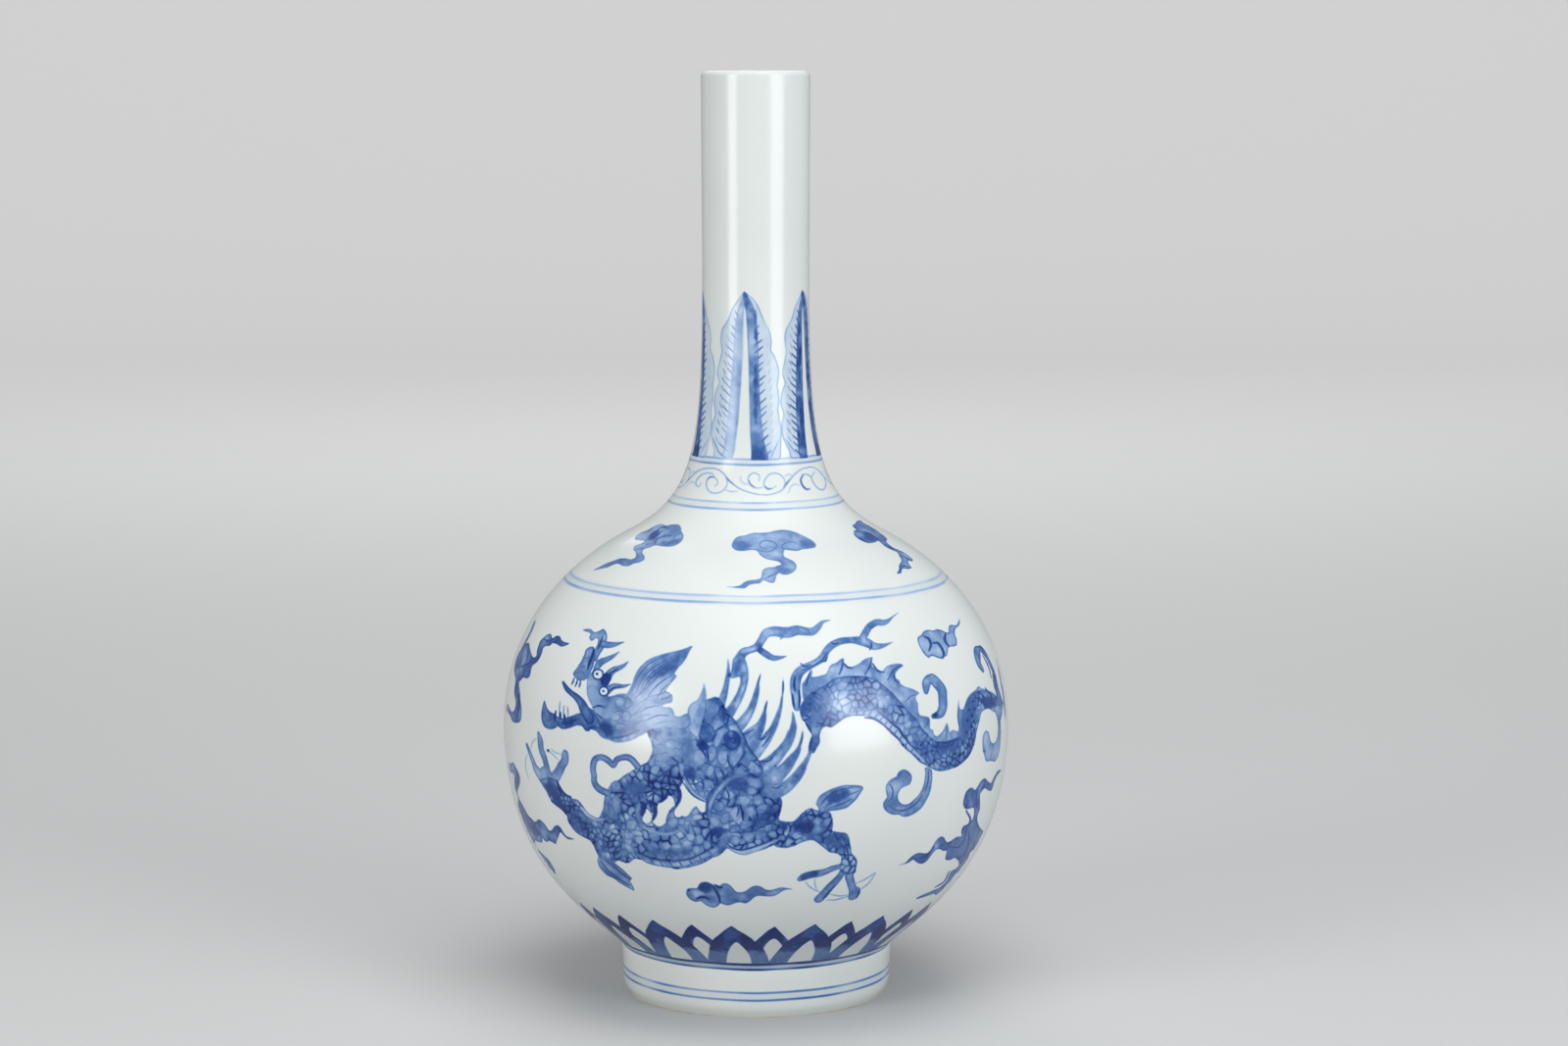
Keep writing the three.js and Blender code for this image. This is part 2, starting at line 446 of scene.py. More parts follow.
class Shape:
    """The outline of something painted on a sheet, held as the distance to its edge."""

    shortest = 1e-14  # square of the shortest stretch of an outline, in radians
    spare = 1.1

    def __init__(self, sheet: Sheet, reach: float = 3.0) -> None:
        """Starts an empty shape.

        Args:
            sheet: The sheet that it is painted on.
            reach: How far from the edge distances are kept, in millimetres.
        """
        self.sheet = sheet
        self.reach = reach
        self.parts: list = []

    def ribbon(self, path: np.ndarray) -> Shape:
        """Adds a brush stroke; its rows are azimuth, climb and half width, in radians."""
        self.parts.append(("ribbon", np.asarray(path, float)))
        return self

    def blob(self, outline: np.ndarray) -> Shape:
        """Adds a filled outline; its rows are azimuth and climb."""
        self.parts.append(("blob", np.asarray(outline, float)))
        return self

    def hole(self, outline: np.ndarray) -> Shape:
        """Takes a filled outline out of what was added before it."""
        self.parts.append(("hole", np.asarray(outline, float)))
        return self

    def measure(self) -> Shape:
        """Works out the distances, in millimetres, on the piece of the sheet that the shape covers."""
        sheet = self.sheet
        rim = self.reach / sheet.scale.mean() * self.spare
        every = np.concatenate([part[:, :2] for _, part in self.parts])
        widths = max((part[:, 2].max() for kind, part in self.parts if kind == "ribbon"), default=0)
        low, high = every.min(axis=0) - rim - widths, every.max(axis=0) + rim + widths
        self.left = math.floor((low[0] - sheet.turned) / sheet.cell)
        self.right = min(math.floor((high[0] - sheet.turned) / sheet.cell) + 1, self.left + sheet.columns)
        self.under = max(int((low[1] - sheet.bottom) / sheet.cell), 0)
        self.over = min(int((high[1] - sheet.bottom) / sheet.cell) + 1, sheet.rows)
        self.u = sheet.turned + (np.arange(self.left, self.right) + 0.5) * sheet.cell
        self.v = sheet.climbs()[self.under:self.over]
        self.away = np.full((len(self.v), len(self.u)), rim, np.float32)
        for kind, part in self.parts:
            if kind == "ribbon":
                self.measure_ribbon(part, rim)
                continue
            away = self.measure_blob(part, rim)
            self.away = np.maximum(self.away, -away) if kind == "hole" else np.minimum(self.away, away)
        self.away *= sheet.scale[self.under:self.over, None]
        return self

    def beside(self, a: np.ndarray, b: np.ndarray, rim: float) -> tuple:
        """Looks at the dabs beside one straight stretch of a line.

        Args:
            a, b: The stretch's ends.
            rim: How far from it dabs are looked at, in radians.

        Returns:
            The rows and columns of those dabs, and for each its place along the stretch and its distance.
        """
        cell = self.sheet.cell
        low, high = np.minimum(a, b)[:2] - rim, np.maximum(a, b)[:2] + rim
        c0 = max(int((low[0] - self.u[0]) / cell), 0)
        c1 = max(int((high[0] - self.u[0]) / cell) + 2, 0)
        r0 = max(int((low[1] - self.v[0]) / cell), 0)
        r1 = max(int((high[1] - self.v[0]) / cell) + 2, 0)
        spot = (slice(r0, r1), slice(c0, c1))
        x = (self.u[spot[1]] - a[0])[None, :]
        y = (self.v[spot[0]] - a[1])[:, None]
        way = (b - a)[:2]
        t = np.clip((x * way[0] + y * way[1]) / max(way[0] ** 2 + way[1] ** 2, self.shortest), 0, 1)
        return spot, t, np.hypot(x - t * way[0], y - t * way[1])

    def measure_ribbon(self, path: np.ndarray, rim: float) -> None:
        """Lays the distance to a brush stroke over what is there already."""
        for a, b in zip(path, path[1:]):
            spot, t, away = self.beside(a, b, max(a[2], b[2]) + rim)
            self.away[spot] = np.minimum(self.away[spot], away - (a[2] + t * (b[2] - a[2])))

    def measure_blob(self, outline: np.ndarray, rim: float) -> np.ndarray:
        """Distance to a filled outline, less than nothing inside it."""
        near = np.full(self.away.shape, rim, np.float32)
        inside = np.zeros(self.away.shape, bool)
        for a, b in zip(outline, np.roll(outline, -1, axis=0)):
            spot, _, away = self.beside(a, b, rim)
            near[spot] = np.minimum(near[spot], away)
            crossed = np.nonzero((self.v > a[1]) != (self.v > b[1]))[0]
            if len(crossed):
                cut = a[0] + (self.v[crossed] - a[1]) / (b[1] - a[1]) * (b[0] - a[0])
                inside[crossed] ^= self.u[None, :] > cut[:, None]
        return np.where(inside, -near, near)

    def cells(self) -> tuple:
        """Rows and columns of the sheet under the shape, with columns wrapped round."""
        columns = np.arange(self.left, self.right) % self.sheet.columns
        return np.ix_(np.arange(self.under, self.over), columns)

    def mesh(self) -> tuple:
        """Places of the shape's dabs in millimetres, across and up from the middle of the vase's front."""
        scale = float(self.sheet.scale[self.under:self.over].mean())
        return np.meshgrid(self.u * scale, self.v * scale)

    def cover(self, soft: float, uneven: np.ndarray | float = 0) -> np.ndarray:
        """How fully the shape covers its dabs, from 0 to 1 over a soft edge that may be uneven."""
        return eased(np.clip(0.5 - (self.away + uneven) / (2 * soft), 0, 1))

    def lay(self, wash: Wash, grain: np.ndarray | None = None) -> None:
        """Paints the shape over what the sheet holds.

        Args:
            wash: How it is filled and edged.
            grain: Extra cobalt for each dab, such as scales.
        """
        x, y = self.mesh()
        broad = DRYING.broad_share * noise(x, y, wash.mottle_size, DRYING.broad_seed)
        fine = DRYING.fine_share * noise(x, y, wash.mottle_size / DRYING.fine_step, DRYING.fine_seed)
        tone = wash.body * (1 + wash.mottle * (broad + fine - 0.5) * DRYING.swing)
        settled = np.exp(np.minimum(self.away, 0) / wash.pool_reach)
        tone = tone + wash.pool * settled * (0.5 + noise(x, y, DRYING.pool_patch, DRYING.pool_seed))
        if grain is not None:
            tone = tone + grain
        edge = np.exp(-(((self.away + wash.line_width / 2) / (wash.line_width / DRYING.edge_fall)) ** 2))
        wet = DRYING.edge_least + DRYING.edge_swing * noise(x, y, DRYING.edge_patch, DRYING.edge_seed)
        edge = edge * np.clip(wet, 0, 1)
        self.mix(np.maximum(tone, tone * (1 - edge) + wash.line * edge), self.cover(wash.soft))

    def mix(self, ink: np.ndarray | float, cover: np.ndarray) -> None:
        """Draws the sheet's dabs towards an amount of cobalt, as far as they are covered."""
        here = self.cells()
        self.sheet.ink[here] = self.sheet.ink[here] * (1 - cover) + ink * cover

    def bleed(self, strength: float, soft: float, on_paint: bool = True) -> None:
        """Draws the shape towards a darker or paler tone, with a soft, uneven edge."""
        ragged = (noise(*self.mesh(), DRYING.ragged_patch, DRYING.ragged_seed) - 0.5) * soft * DRYING.ragged
        cover = self.cover(soft, ragged)
        if on_paint:
            damp = self.sheet.ink[self.cells()] * DRYING.damp_slope - DRYING.damp_from
            cover = cover * np.clip(damp, 0, 1)
        self.mix(strength, cover)

    def stroke(self, strength: float, soft: float = 0.2) -> None:
        """Draws the shape as plain brush lines, which only ever darken."""
        here = self.cells()
        self.sheet.ink[here] = np.maximum(self.sheet.ink[here], self.cover(soft) * strength)


@dataclass(frozen=True)
class Scaling:
    """Scales brushed into a wash: a net of dark lines, a tint for each scale and dark dots between them.

    Sizes and patches are in millimetres, and so is the sway that keeps the rows of scales from running
    straight. A share such as net_width is one of the scale's own size.
    """

    size: float = 2.1
    lines: float = 0.3
    tint: float = 0.22
    dots: float = 0.25
    seed: int = 5
    sway: float = 2.2
    sway_patch: float = 5.0
    net_width: float = 0.19
    net_least: float = 0.5
    net_swing: float = 1.55
    net_patch: float = 1.9
    dot_from: float = 0.6
    dot_slope: float = 6
    dot_patch: float = 2.6
    dot_least: float = -1.2
    dot_swing: float = 3
    fade_patch: float = 5.2
    fade_least: float = -0.2
    fade_swing: float = 2.0
    fade_range: tuple = (0.15, 1.15)
    blotch: float = 0.3
    blotch_patch: float = 6.5
    speckle: float = 0.12
    speckle_patch: float = 1.6
    crown: float = -0.05
    crown_width: float = 0.3

    def patches(self, place: tuple, size: float, turn: int) -> np.ndarray:
        """Random values over places, in a pattern of this scaling's own."""
        return noise(*place, size, self.seed + turn)

    def over(self, shape: Shape) -> np.ndarray:
        """The cobalt that the scales add to a shape's dabs."""
        place = x, y = shape.mesh()
        bend = self.sway * (self.patches(place, self.sway_patch, 1) - 0.5)
        drift = self.sway * (self.patches(place, self.sway_patch, 3) - 0.5)
        net, tint, middle = scales(x + bend, y + drift, self.size, self.seed)
        net_lines = np.exp(-((net / (self.net_width * self.size)) ** 2))
        net_lines = net_lines * (self.net_least + self.net_swing * self.patches(place, self.net_patch, 9))
        knots = np.clip((middle / self.size - self.dot_from) * self.dot_slope, 0, 1)
        dotted = self.dot_swing * self.patches(place, self.dot_patch, 4) + self.dot_least
        knots = knots * np.clip(dotted, 0, 1)
        patchy = self.fade_swing * self.patches(place, self.fade_patch, 2) + self.fade_least
        patchy = np.clip(patchy, *self.fade_range)
        blotch = self.blotch * (self.patches(place, self.blotch_patch, 5) - 0.5)
        blotch = blotch + self.speckle * (self.patches(place, self.speckle_patch, 7) - 0.5)
        crown = self.crown * np.exp(-((middle / (self.crown_width * self.size)) ** 2))
        return (self.lines * net_lines * patchy + self.tint * (tint - 0.5) + self.dots * knots * patchy
                + blotch + crown)


class Painter:
    """Paints on a sheet with strokes traced on the photograph, stamped where they are wanted."""

    outline_spacing = 1.2  # pixels between the points of a smoothed outline
    stroke_spacing = 1.5
    limb = 1.1  # azimuth in radians past which one pixel is wide on the clay
    limb_fade = 0.3
    evenings = 10
    thinnest = 0.3
    stretch = 1.7  # how much wider than at the belly's front a stroke may get
    line_reach, patch_reach, dab_reach = 1.0, 4.0, 1.5
    swell_from, swell_to = 0.15, math.pi - 0.1
    swell_least, swell_more = 0.55, 0.45
    dab_points = 12

    def __init__(self, sheet: Sheet, eye: Eye, middle: float = 0.0) -> None:
        """Takes up a sheet.

        Args:
            sheet: The sheet to paint on.
            eye: The photograph's viewpoint.
            middle: Azimuth in radians of the traced strokes' own middle.
        """
        self.sheet, self.eye, self.middle = sheet, eye, middle
        self.shift, self.side, self.rise = 0.0, 1, 0.0

    def stamp(self, shift: float, mirrored: bool = False, rise: float = 0.0) -> None:
        """Says where the next strokes go: how far round, which way they face and how much higher."""
        self.shift, self.side, self.rise = shift, -1 if mirrored else 1, rise

    def even(self, where: np.ndarray, closed: bool) -> np.ndarray:
        """Evens out what is traced near the vase's limb, where one pixel is wide on the clay."""
        edge_on = np.clip((np.abs(where[:, 0]) - self.limb) / self.limb_fade, 0, 1)[:, None]
        if not edge_on.any():
            return where
        calm = where
        for _ in range(self.evenings):
            before, after = np.roll(calm, 1, axis=0), np.roll(calm, -1, axis=0)
            if not closed:
                before[0], after[-1] = calm[0], calm[-1]
            calm = (before + 2 * calm + after) / 4
        return where * (1 - edge_on) + calm * edge_on

    def carry(self, points: np.ndarray, closed: bool = False) -> np.ndarray:
        """Places on the chart for pixels of the photograph, moved as the stamp says."""
        where = self.eye.place(self.eye.pull_in(points, self.sheet.chart), self.sheet.chart)
        where = self.even(where, closed)
        where[:, 0] = self.middle + self.side * (where[:, 0] - self.middle) + self.shift
        where[:, 1] += self.rise
        return where

    def outline(self, points: Pixels) -> np.ndarray:
        """A closed outline on the chart through traced pixels; one that ends in True is a sharp corner."""
        sharp = [i for i, point in enumerate(points) if len(point) == 3]
        places = [point[:2] for point in points]
        if not sharp:
            return self.carry(smooth_through(places, self.outline_spacing, closed=True), closed=True)
        places = places[sharp[0]:] + places[:sharp[0]] + [places[sharp[0]]]
        ends = [i - sharp[0] for i in sharp] + [len(points)]
        runs = [smooth_through(places[a:b + 1], self.outline_spacing)[:-1] for a, b in zip(ends, ends[1:])]
        return self.carry(np.concatenate(runs))

    def brush(self, path: Pixels) -> np.ndarray:
        """A brush stroke on the chart along traced pixels, whose third value is its width there."""
        path = smooth_through(np.array(path, float), self.stroke_spacing)
        way = np.gradient(path[:, :2], axis=0)
        across = np.stack([-way[:, 1], way[:, 0]], 1) / np.maximum(np.hypot(*way.T), TINY)[:, None]
        half = np.maximum(path[:, 2:3], self.thinnest) / 2
        one, other = self.carry(path[:, :2] + across * half), self.carry(path[:, :2] - across * half)
        middle = (one + other) / 2
        way = np.gradient(middle, axis=0)
        way /= np.maximum(np.hypot(*way.T), TINY)[:, None]
        wide = np.abs((one - other)[:, 0] * way[:, 1] - (one - other)[:, 1] * way[:, 0]) / 2
        radius = self.sheet.chart.radius_at(self.sheet.chart.height_at(middle[:, 1]))
        wide = np.minimum(wide, self.stretch * half[:, 0] * self.eye.pixel / radius)
        return np.concatenate([middle, wide[:, None]], 1)

    def fill(self, points: Pixels, wash: Wash, holes: tuple = (), grain: Scaling | None = None) -> None:
        """Paints a filled outline, with holes left white."""
        shape = Shape(self.sheet).blob(self.outline(points))
        for hole in holes:
            shape.hole(self.outline(hole))
        shape.measure()
        shape.lay(wash, grain.over(shape) if grain else None)

    def sweep(self, paths: tuple, wash: Wash) -> None:
        """Paints broad strokes that run together."""
        shape = Shape(self.sheet)
        for path in paths:
            shape.ribbon(self.brush(path))
        shape.measure().lay(wash)

    def lines(self, paths: tuple, width: float, strength: float) -> None:
        """Draws thin lines that swell in their middle, each on its own."""
        for path in paths:
            path = np.array(path, float)
            arch = np.sin(np.linspace(self.swell_from, self.swell_to, len(path)))
            swell = self.swell_least + self.swell_more * arch
            stroke = self.brush(np.column_stack([path, width * swell]))
            Shape(self.sheet, self.line_reach).ribbon(stroke).measure().stroke(strength)

    def patch(self, points: Pixels, strength: float, soft: float = 1.6) -> None:
        """Lets a darker wash bleed into what is painted already."""
        Shape(self.sheet, self.patch_reach).blob(self.outline(points)).measure().bleed(strength, soft)

    def dab(self, spots: Pixels, strength: float, soft: float = 0.3) -> None:
        """Puts down round dabs; a spot is its pixel and its radius in pixels."""
        for x, y, radius in spots:
            turn = np.linspace(0, TURN, self.dab_points, endpoint=False)
            ring = np.stack([x + radius * np.cos(turn), y + radius * np.sin(turn)], 1)
            Shape(self.sheet, self.dab_reach).blob(self.carry(ring)).measure().bleed(strength, soft, False)


class PaintedBand:
    """A band of the vase's painting, done by one painter; each kind of band knows its own motifs."""

    def __init__(self, painter: Painter) -> None:
        """Takes up the painter of the band's sheet."""
        self.painter = painter


class DragonBand(PaintedBand):
    """The winged dragon that runs round the belly, and the clouds about it."""

    def paint(self) -> None:
        """Paints the band from its furthest shapes to its nearest."""
        self.limb_clouds()
        self.right_clouds()
        self.under_cloud()
        self.tail()
        self.curls()
        self.flames()
        self.hind_leg()
        self.trunk()
        self.haunch()
        self.arm()
        self.wing()
        self.mane()
        self.head()
        self.whisker()

    def scales(self, cells: tuple) -> None:
        """Paints single scales or small feathers with a few sharp corners, one on the other.

        Args:
            cells: Pairs of a tone and the traced outline.
        """
        for tone, points in cells:
            cornered = tuple((*point, True) if i % 2 else point for i, point in enumerate(points))
            wash = Wash(body=tone, pool=0.04, line=tone + 0.26, line_width=0.42, soft=0.36, mottle=0.3,
                        mottle_size=3.2)
            self.painter.fill(cornered, wash)

    def limb_clouds(self) -> None:
        """The cloud that hangs at the left edge of the photograph."""
        p = self.painter
        p.fill(((531, 664), (534, 659), (538, 655.5), (540.5, 656), (541, 661), (543, 668), (545, 671),
                (548, 669), (548.5, 664), (550, 659), (552, 654), (556, 650), (560, 647), (563, 647),
                (564.5, 651), (568, 649), (572, 649), (574, 653), (577, 655), (582, 656.5), (577, 659),
                (573, 659.5), (569, 657), (565, 656), (562, 658.5), (558, 659), (555, 661), (554, 665),
                (552, 670), (549, 675), (545, 678), (543, 681), (542, 686), (541, 690), (538, 692),
                (534, 691), (532, 694), (530, 695), (530, 700), (531, 707), (531.5, 715), (532.5, 722),
                (532.5, 730), (531, 736), (527, 737.5), (523, 736), (521, 731), (519, 727), (517, 726),
                (516.5, 721), (518, 717), (520, 722), (523, 727), (526, 722), (526.5, 715), (525, 708),
                (525.5, 700), (526.5, 692), (525, 687), (525, 680), (527, 672), (529, 667)), WET)
        p.sweep((((546, 634, 4), (543.5, 642, 5.5), (539.5, 650, 5), (535.5, 657, 4), (532, 663, 3)),), WET)
        p.lines((((531, 681), (537, 678), (543, 676), (549, 672)), ((535, 661), (533, 669), (531, 676)),
                 ((539, 662), (539, 670), (537, 675)), ((531, 684), (528.5, 693), (527.5, 703), (529, 712)),
                 ((556, 652), (560, 654), (566, 652))), 2.6, 0.86)
        p.lines((((529, 708), (530, 717), (529, 727), (527.5, 735)),), 4, 0.98)
        p.fill(((518, 777), (521, 780), (523, 777), (525, 780), (527, 784), (529, 788), (530.5, 793),
                (530.5, 798), (529, 803), (527.5, 807), (528, 811), (530, 816), (533, 821), (536, 827),
                (539, 832), (543, 836), (546, 839), (549, 836), (552, 837), (556, 841), (560, 847),
                (563, 847), (566, 843), (569, 842), (572, 844), (575, 849), (579, 853.5), (586, 856),
                (580, 856), (576, 853), (572, 849), (570, 853), (568, 858), (567, 861), (564, 859.5),
                (560, 857.5), (558, 859), (555, 857), (553, 855), (553, 859), (549, 859), (546, 857),
                (545, 860), (547, 865), (551, 869), (555, 873), (560, 878), (563, 883), (566, 889),
                (565, 893), (561, 892), (557, 887), (554, 881), (550, 874), (546, 868), (544, 861),
                (541, 854), (537, 848), (534, 843), (531, 836), (529, 829), (528, 822), (528.5, 815),
                (526.5, 809), (525, 803), (524.5, 797), (524.5, 791), (523, 788), (520, 788),
                (518, 783)), WET)
        p.lines((((528, 812), (533, 824), (540, 835), (546, 843), (549, 850)),
                 ((526, 783), (528, 790), (527, 798), (527, 808)), ((546, 839), (547, 847),
                  (551, 852))), 3, 0.9)
        p.patch(((536, 833), (541, 838), (547, 845), (551, 850), (547, 852), (541, 847), (537, 840)), 0.86)

    def right_clouds(self) -> None:
        """The two clouds behind the tail."""
        p = self.painter
        p.fill(((938, 650), (941, 648), (944, 644), (949, 642.5), (953, 643.5), (957, 642), (962, 643),
                (966, 645), (969, 645), (969, 640), (971, 637.5), (977, 637.5), (980, 631), (979.5, 638),
                (976, 641), (975, 646), (977, 652), (977, 658), (973, 659.5), (969, 660), (968, 665),
                (967, 669), (964, 670.5), (962, 672), (958, 671), (952, 669), (949, 671), (945, 668),
                (941, 662), (938, 655)),
               Wash(body=0.34, pool=0.14, line=0.84, line_width=0.38, mottle=0.4, mottle_size=4))
        p.lines((((953, 656), (958, 656), (962, 661), (964, 667), (963, 671)),
                 ((944, 649), (949, 652), (951, 658), (949, 664)), ((966, 646), (965, 653),
                  (969, 659))), 3, 0.85)
        p.fill(((1018, 786), (1014, 793), (1011, 799), (1008, 797), (1005, 794), (1001, 797), (998, 802),
                (995, 806), (993, 804), (990, 804), (986, 808), (984, 814), (983, 820), (985, 825),
                (989, 825), (993, 824), (995, 829), (994, 834), (990, 838), (987, 841), (983, 843),
                (981, 848), (981, 853), (976, 854), (970, 858), (966, 859), (963, 854), (959, 854),
                (955, 858), (952, 863), (949, 868), (945, 870.5), (938, 870), (933, 872), (928, 876),
                (924, 880), (917, 883), (927, 880), (932, 877), (936, 880), (941, 881), (946, 878),
                (950, 873), (954, 868), (958, 866), (963, 868), (966, 868), (965, 873), (965, 877),
                (970, 877), (974, 875), (977, 877), (978, 882), (975, 886), (970, 889), (967, 895),
                (964, 901), (961, 905), (955, 907), (950, 909), (945, 912), (940, 915), (934, 916.5),
                (946, 913), (952, 911), (954, 913), (958, 911), (963, 907), (968, 901), (971, 896),
                (975, 891), (980, 888), (984, 883), (987, 876), (990, 869), (997, 864), (1002, 858),
                (1006, 850), (1003, 848), (1000, 845), (998, 841), (997, 835), (998, 830), (1000, 824),
                (1000, 811), (1002, 807), (1005, 804), (1008, 806), (1011, 807), (1013, 803),
                (1015, 796), (1018, 790), (1022, 785)), WET)
        p.sweep((((986, 873, 5), (981, 880, 5.5), (975, 889, 5.5), (968, 897, 5.5), (961, 904.5, 5),
                  (954, 909, 4.5), (945, 912.5, 3.5), (936, 916, 2)),
                 ((996, 821, 5), (996, 829, 6), (994, 836, 6), (991, 842, 6))), WET)
        p.patch(((985, 845), (995, 842), (1000, 850), (992, 862), (984, 872), (974, 872),
                 (972, 862)), 0.62, 2)
        p.lines((((986, 827), (990, 836), (986, 846), (984, 856), (978, 864), (970, 864)),
                 ((998, 806), (996, 815), (997, 824)), ((953, 864), (945, 874), (938, 875)),
                 ((988, 848), (988, 860), (983, 872), (976, 876)), ((968, 889), (963, 899),
                  (954, 905))), 2.6, 0.86)

    def under_cloud(self) -> None:
        """The cloud under the dragon's body."""
        p = self.painter
        p.fill(((702, 907), (706, 906), (711, 906), (713, 904), (715, 901), (719, 899.5), (723, 900),
                (727, 902), (731, 905), (734, 905.5), (736, 902.5), (740, 901), (744, 902), (747, 904.5),
                (750, 908), (753, 910), (758, 910), (762, 908.5), (767, 905), (772, 903.5), (777, 904.5),
                (781, 907), (786, 908), (791, 907), (796, 905.5), (801, 905.5), (809, 907.2),
                (803, 907.5), (799, 909), (795, 911.5), (790, 914), (784, 914.5), (778, 914), (773, 914),
                (769, 916), (766, 919), (761, 921.5), (756, 920.5), (751, 921), (746, 923), (742, 923.5),
                (737, 922), (735, 920.5), (734, 923), (730, 925.5), (726, 925.5), (721, 923.5),
                (717, 920.5), (715, 919), (711, 920), (706, 918.5), (702, 915), (700.5, 911)), CLOUD)
        p.patch(((714, 903), (719, 900), (724, 902), (728, 907), (724, 910), (718, 910),
                 (714, 908)), 0.95, 1.1)
        p.patch(((718, 914), (725, 912), (731, 915), (732, 920), (726, 921), (720, 919)), 0.62, 1.2)
        p.patch(((763, 911), (770, 907), (776, 906), (775, 910), (768, 914), (763, 916)), 0.66, 1.2)
        p.lines((((727, 903), (731, 909), (734, 915), (735, 921)), ((711, 917), (717, 915), (724, 917)),
                 ((737, 905), (734, 905), (730, 903))), 3.2, 0.95)
        p.lines((((716, 912), (722, 910.5), (728, 912)),), 2, 0.3)
        p.dab(((703, 908, 1.5),), 0.98)

    def tail(self) -> None:
        """The scaled tail with its spiked fin."""
        p = self.painter
        p.fill(((820, 700), (823, 694), (826, 689), (829, 683), (831, 686), (830, 690), (833, 690.5),
                (840, 689), (845, 687), (849, 679), (855, 676), (860, 672), (863, 672), (862, 675),
                (864, 678.5), (869, 680), (872, 680), (878, 677), (883, 673), (888, 671), (892, 670.5),
                (890.5, 675), (892, 680), (896, 682), (901, 685), (906, 680), (911, 678), (917, 677),
                (921, 677.5), (923, 679), (920, 681.5), (916, 684), (915, 688), (916, 692), (919, 694),
                (920, 697), (924, 700), (930, 702), (935, 704), (939, 707), (936, 710), (936, 714),
                (938, 718), (938, 723), (939, 728), (941, 730), (949, 732), (950, 738), (950, 743),
                (953, 745), (954, 749), (957, 751), (961, 748), (964, 744), (967, 737.5), (969, 743),
                (970, 747), (972, 745), (975, 745), (978, 746), (979, 742), (978, 735), (977.5, 728),
                (979, 714), (980, 722), (983, 724), (985, 720), (988, 712), (992, 707), (996, 704),
                (999, 700), (1002, 702), (1010, 706), (1003, 720), (990, 745), (972, 760), (955, 760),
                (935, 745), (915, 722), (895, 702), (870, 696), (845, 703), (824, 716)), FIN)
        p.fill(((822, 714), (828, 708), (835, 704), (842, 700), (852, 693), (861, 690.5), (870, 689.5),
                (880, 689.5), (890, 691), (897, 694), (903, 699), (909, 704), (914, 709), (919, 715),
                (925, 722), (931, 728), (936, 733), (939, 738), (942, 743), (947, 748), (952, 753.5),
                (958, 757), (965, 757), (972, 755.5), (979, 752), (985, 746), (987, 738), (986, 728),
                (987, 718), (991, 710), (996, 706), (1003, 704), (1010, 705), (1016, 709), (1020, 716),
                (1023, 724), (1019, 728), (1014, 726), (1010, 723), (1006, 723.5), (1002, 727),
                (1000, 735), (997, 747), (995, 758), (991, 768), (987, 774), (979, 781), (972, 784),
                (965, 786), (958, 786.5), (951, 784), (944, 780), (940, 778), (935, 773), (931, 769),
                (926, 765), (921, 760), (918, 755), (912, 750), (906, 744), (900, 738), (893, 733),
                (886, 730.5), (878, 730), (870, 730.5), (863, 733), (856, 738), (850, 742), (844, 741),
                (840, 744), (838, 750), (838, 757), (835, 763), (832, 768), (828, 768), (827, 765),
               (829, 758), (830, 752), (829, 748), (827, 742), (824, 737), (820, 734),
               (818, 724)), BODY, grain=Scaling(size=2.5, lines=0.3, dots=0.14, tint=0.1))
        p.patch(((818, 716), (824, 709), (832, 706), (836, 711), (832, 719), (826, 727),
                 (820, 730)), 0.8, 2.0)
        p.patch(((834, 704), (842, 702), (849, 708), (848, 722), (843, 734), (834, 740), (826, 738),
                 (830, 726), (838, 716)), 0.6, 2.6)
        p.lines((((824.3, 715.7), (827.9, 712.9), (832.1, 713.6)), ((825, 727.9), (828.6, 725),
                  (829.3, 722.1)),
                 ((835, 718.6), (837.9, 720.7), (840, 724.3)), ((832.1, 720.7), (834.3, 723.6),
                  (833.6, 727.1)),
                 ((836.4, 740), (840.7, 740), (845, 732.9)), ((827.9, 738.6), (828.6, 743.6), (830, 747.1)),
                 ((842.1, 717.1), (843.6, 720.7), (846.4, 722.9)), ((839.3, 730.7), (842.1, 732.9),
                  (845.7, 732.1)),
                 ((825.7, 732.9), (827.1, 736.4), (830, 737.9)), ((835, 708), (839, 710),
                  (842, 714))), 1.3, 0.92)
        p.lines((((830, 752.9), (828.6, 760), (827.6, 766.4)), ((816, 706), (816.5, 716), (814.5, 723)),
                 ((810, 710), (811, 718), (813, 724))), 2.0, 0.95)
        p.patch(((985, 722), (990, 712), (996, 709), (997, 722), (993, 740), (986, 756),
                 (980, 752)), 0.7, 2.6)
        p.patch(((955, 762), (966, 760), (978, 758), (974, 766), (962, 768)), 0.74, 2)
        p.patch(((1000, 712), (1010, 711), (1018, 718), (1014, 722), (1004, 720)), 0.86, 1.0)
        p.lines((((955, 757), (965, 757.5), (973, 755.5), (980, 752)), ((960, 762), (967, 761.5),
                  (974, 759)),), 3, 0.86)
        p.lines((((958, 759.5), (965, 759.5), (972, 758)),), 2.4, 0.34)
        p.lines((((884, 732), (892, 733), (900, 737), (906, 742), (913, 749), (919, 755)),
                 ((899, 727), (906, 733), (913, 739), (919, 744), (922, 750), (926, 754), (930, 760),
                  (936, 764)),
                 ((830, 752), (828, 760), (827, 767)), ((823, 735), (826, 741), (829, 747)),
                 ((835, 737), (841, 738), (846, 731))), 2.4, 0.92)
        lining = Wash(body=0.28, pool=0.0, line=0.3, mottle=0.3)
        p.sweep((((868, 729, 1.5), (880, 727.5, 3), (892, 729, 4), (900, 733, 4.5), (907, 739, 4.5),
                  (914, 745.5, 4), (920, 752, 3.5), (927, 760, 3.5), (935, 768, 3),
                  (944, 777, 2)),), lining)
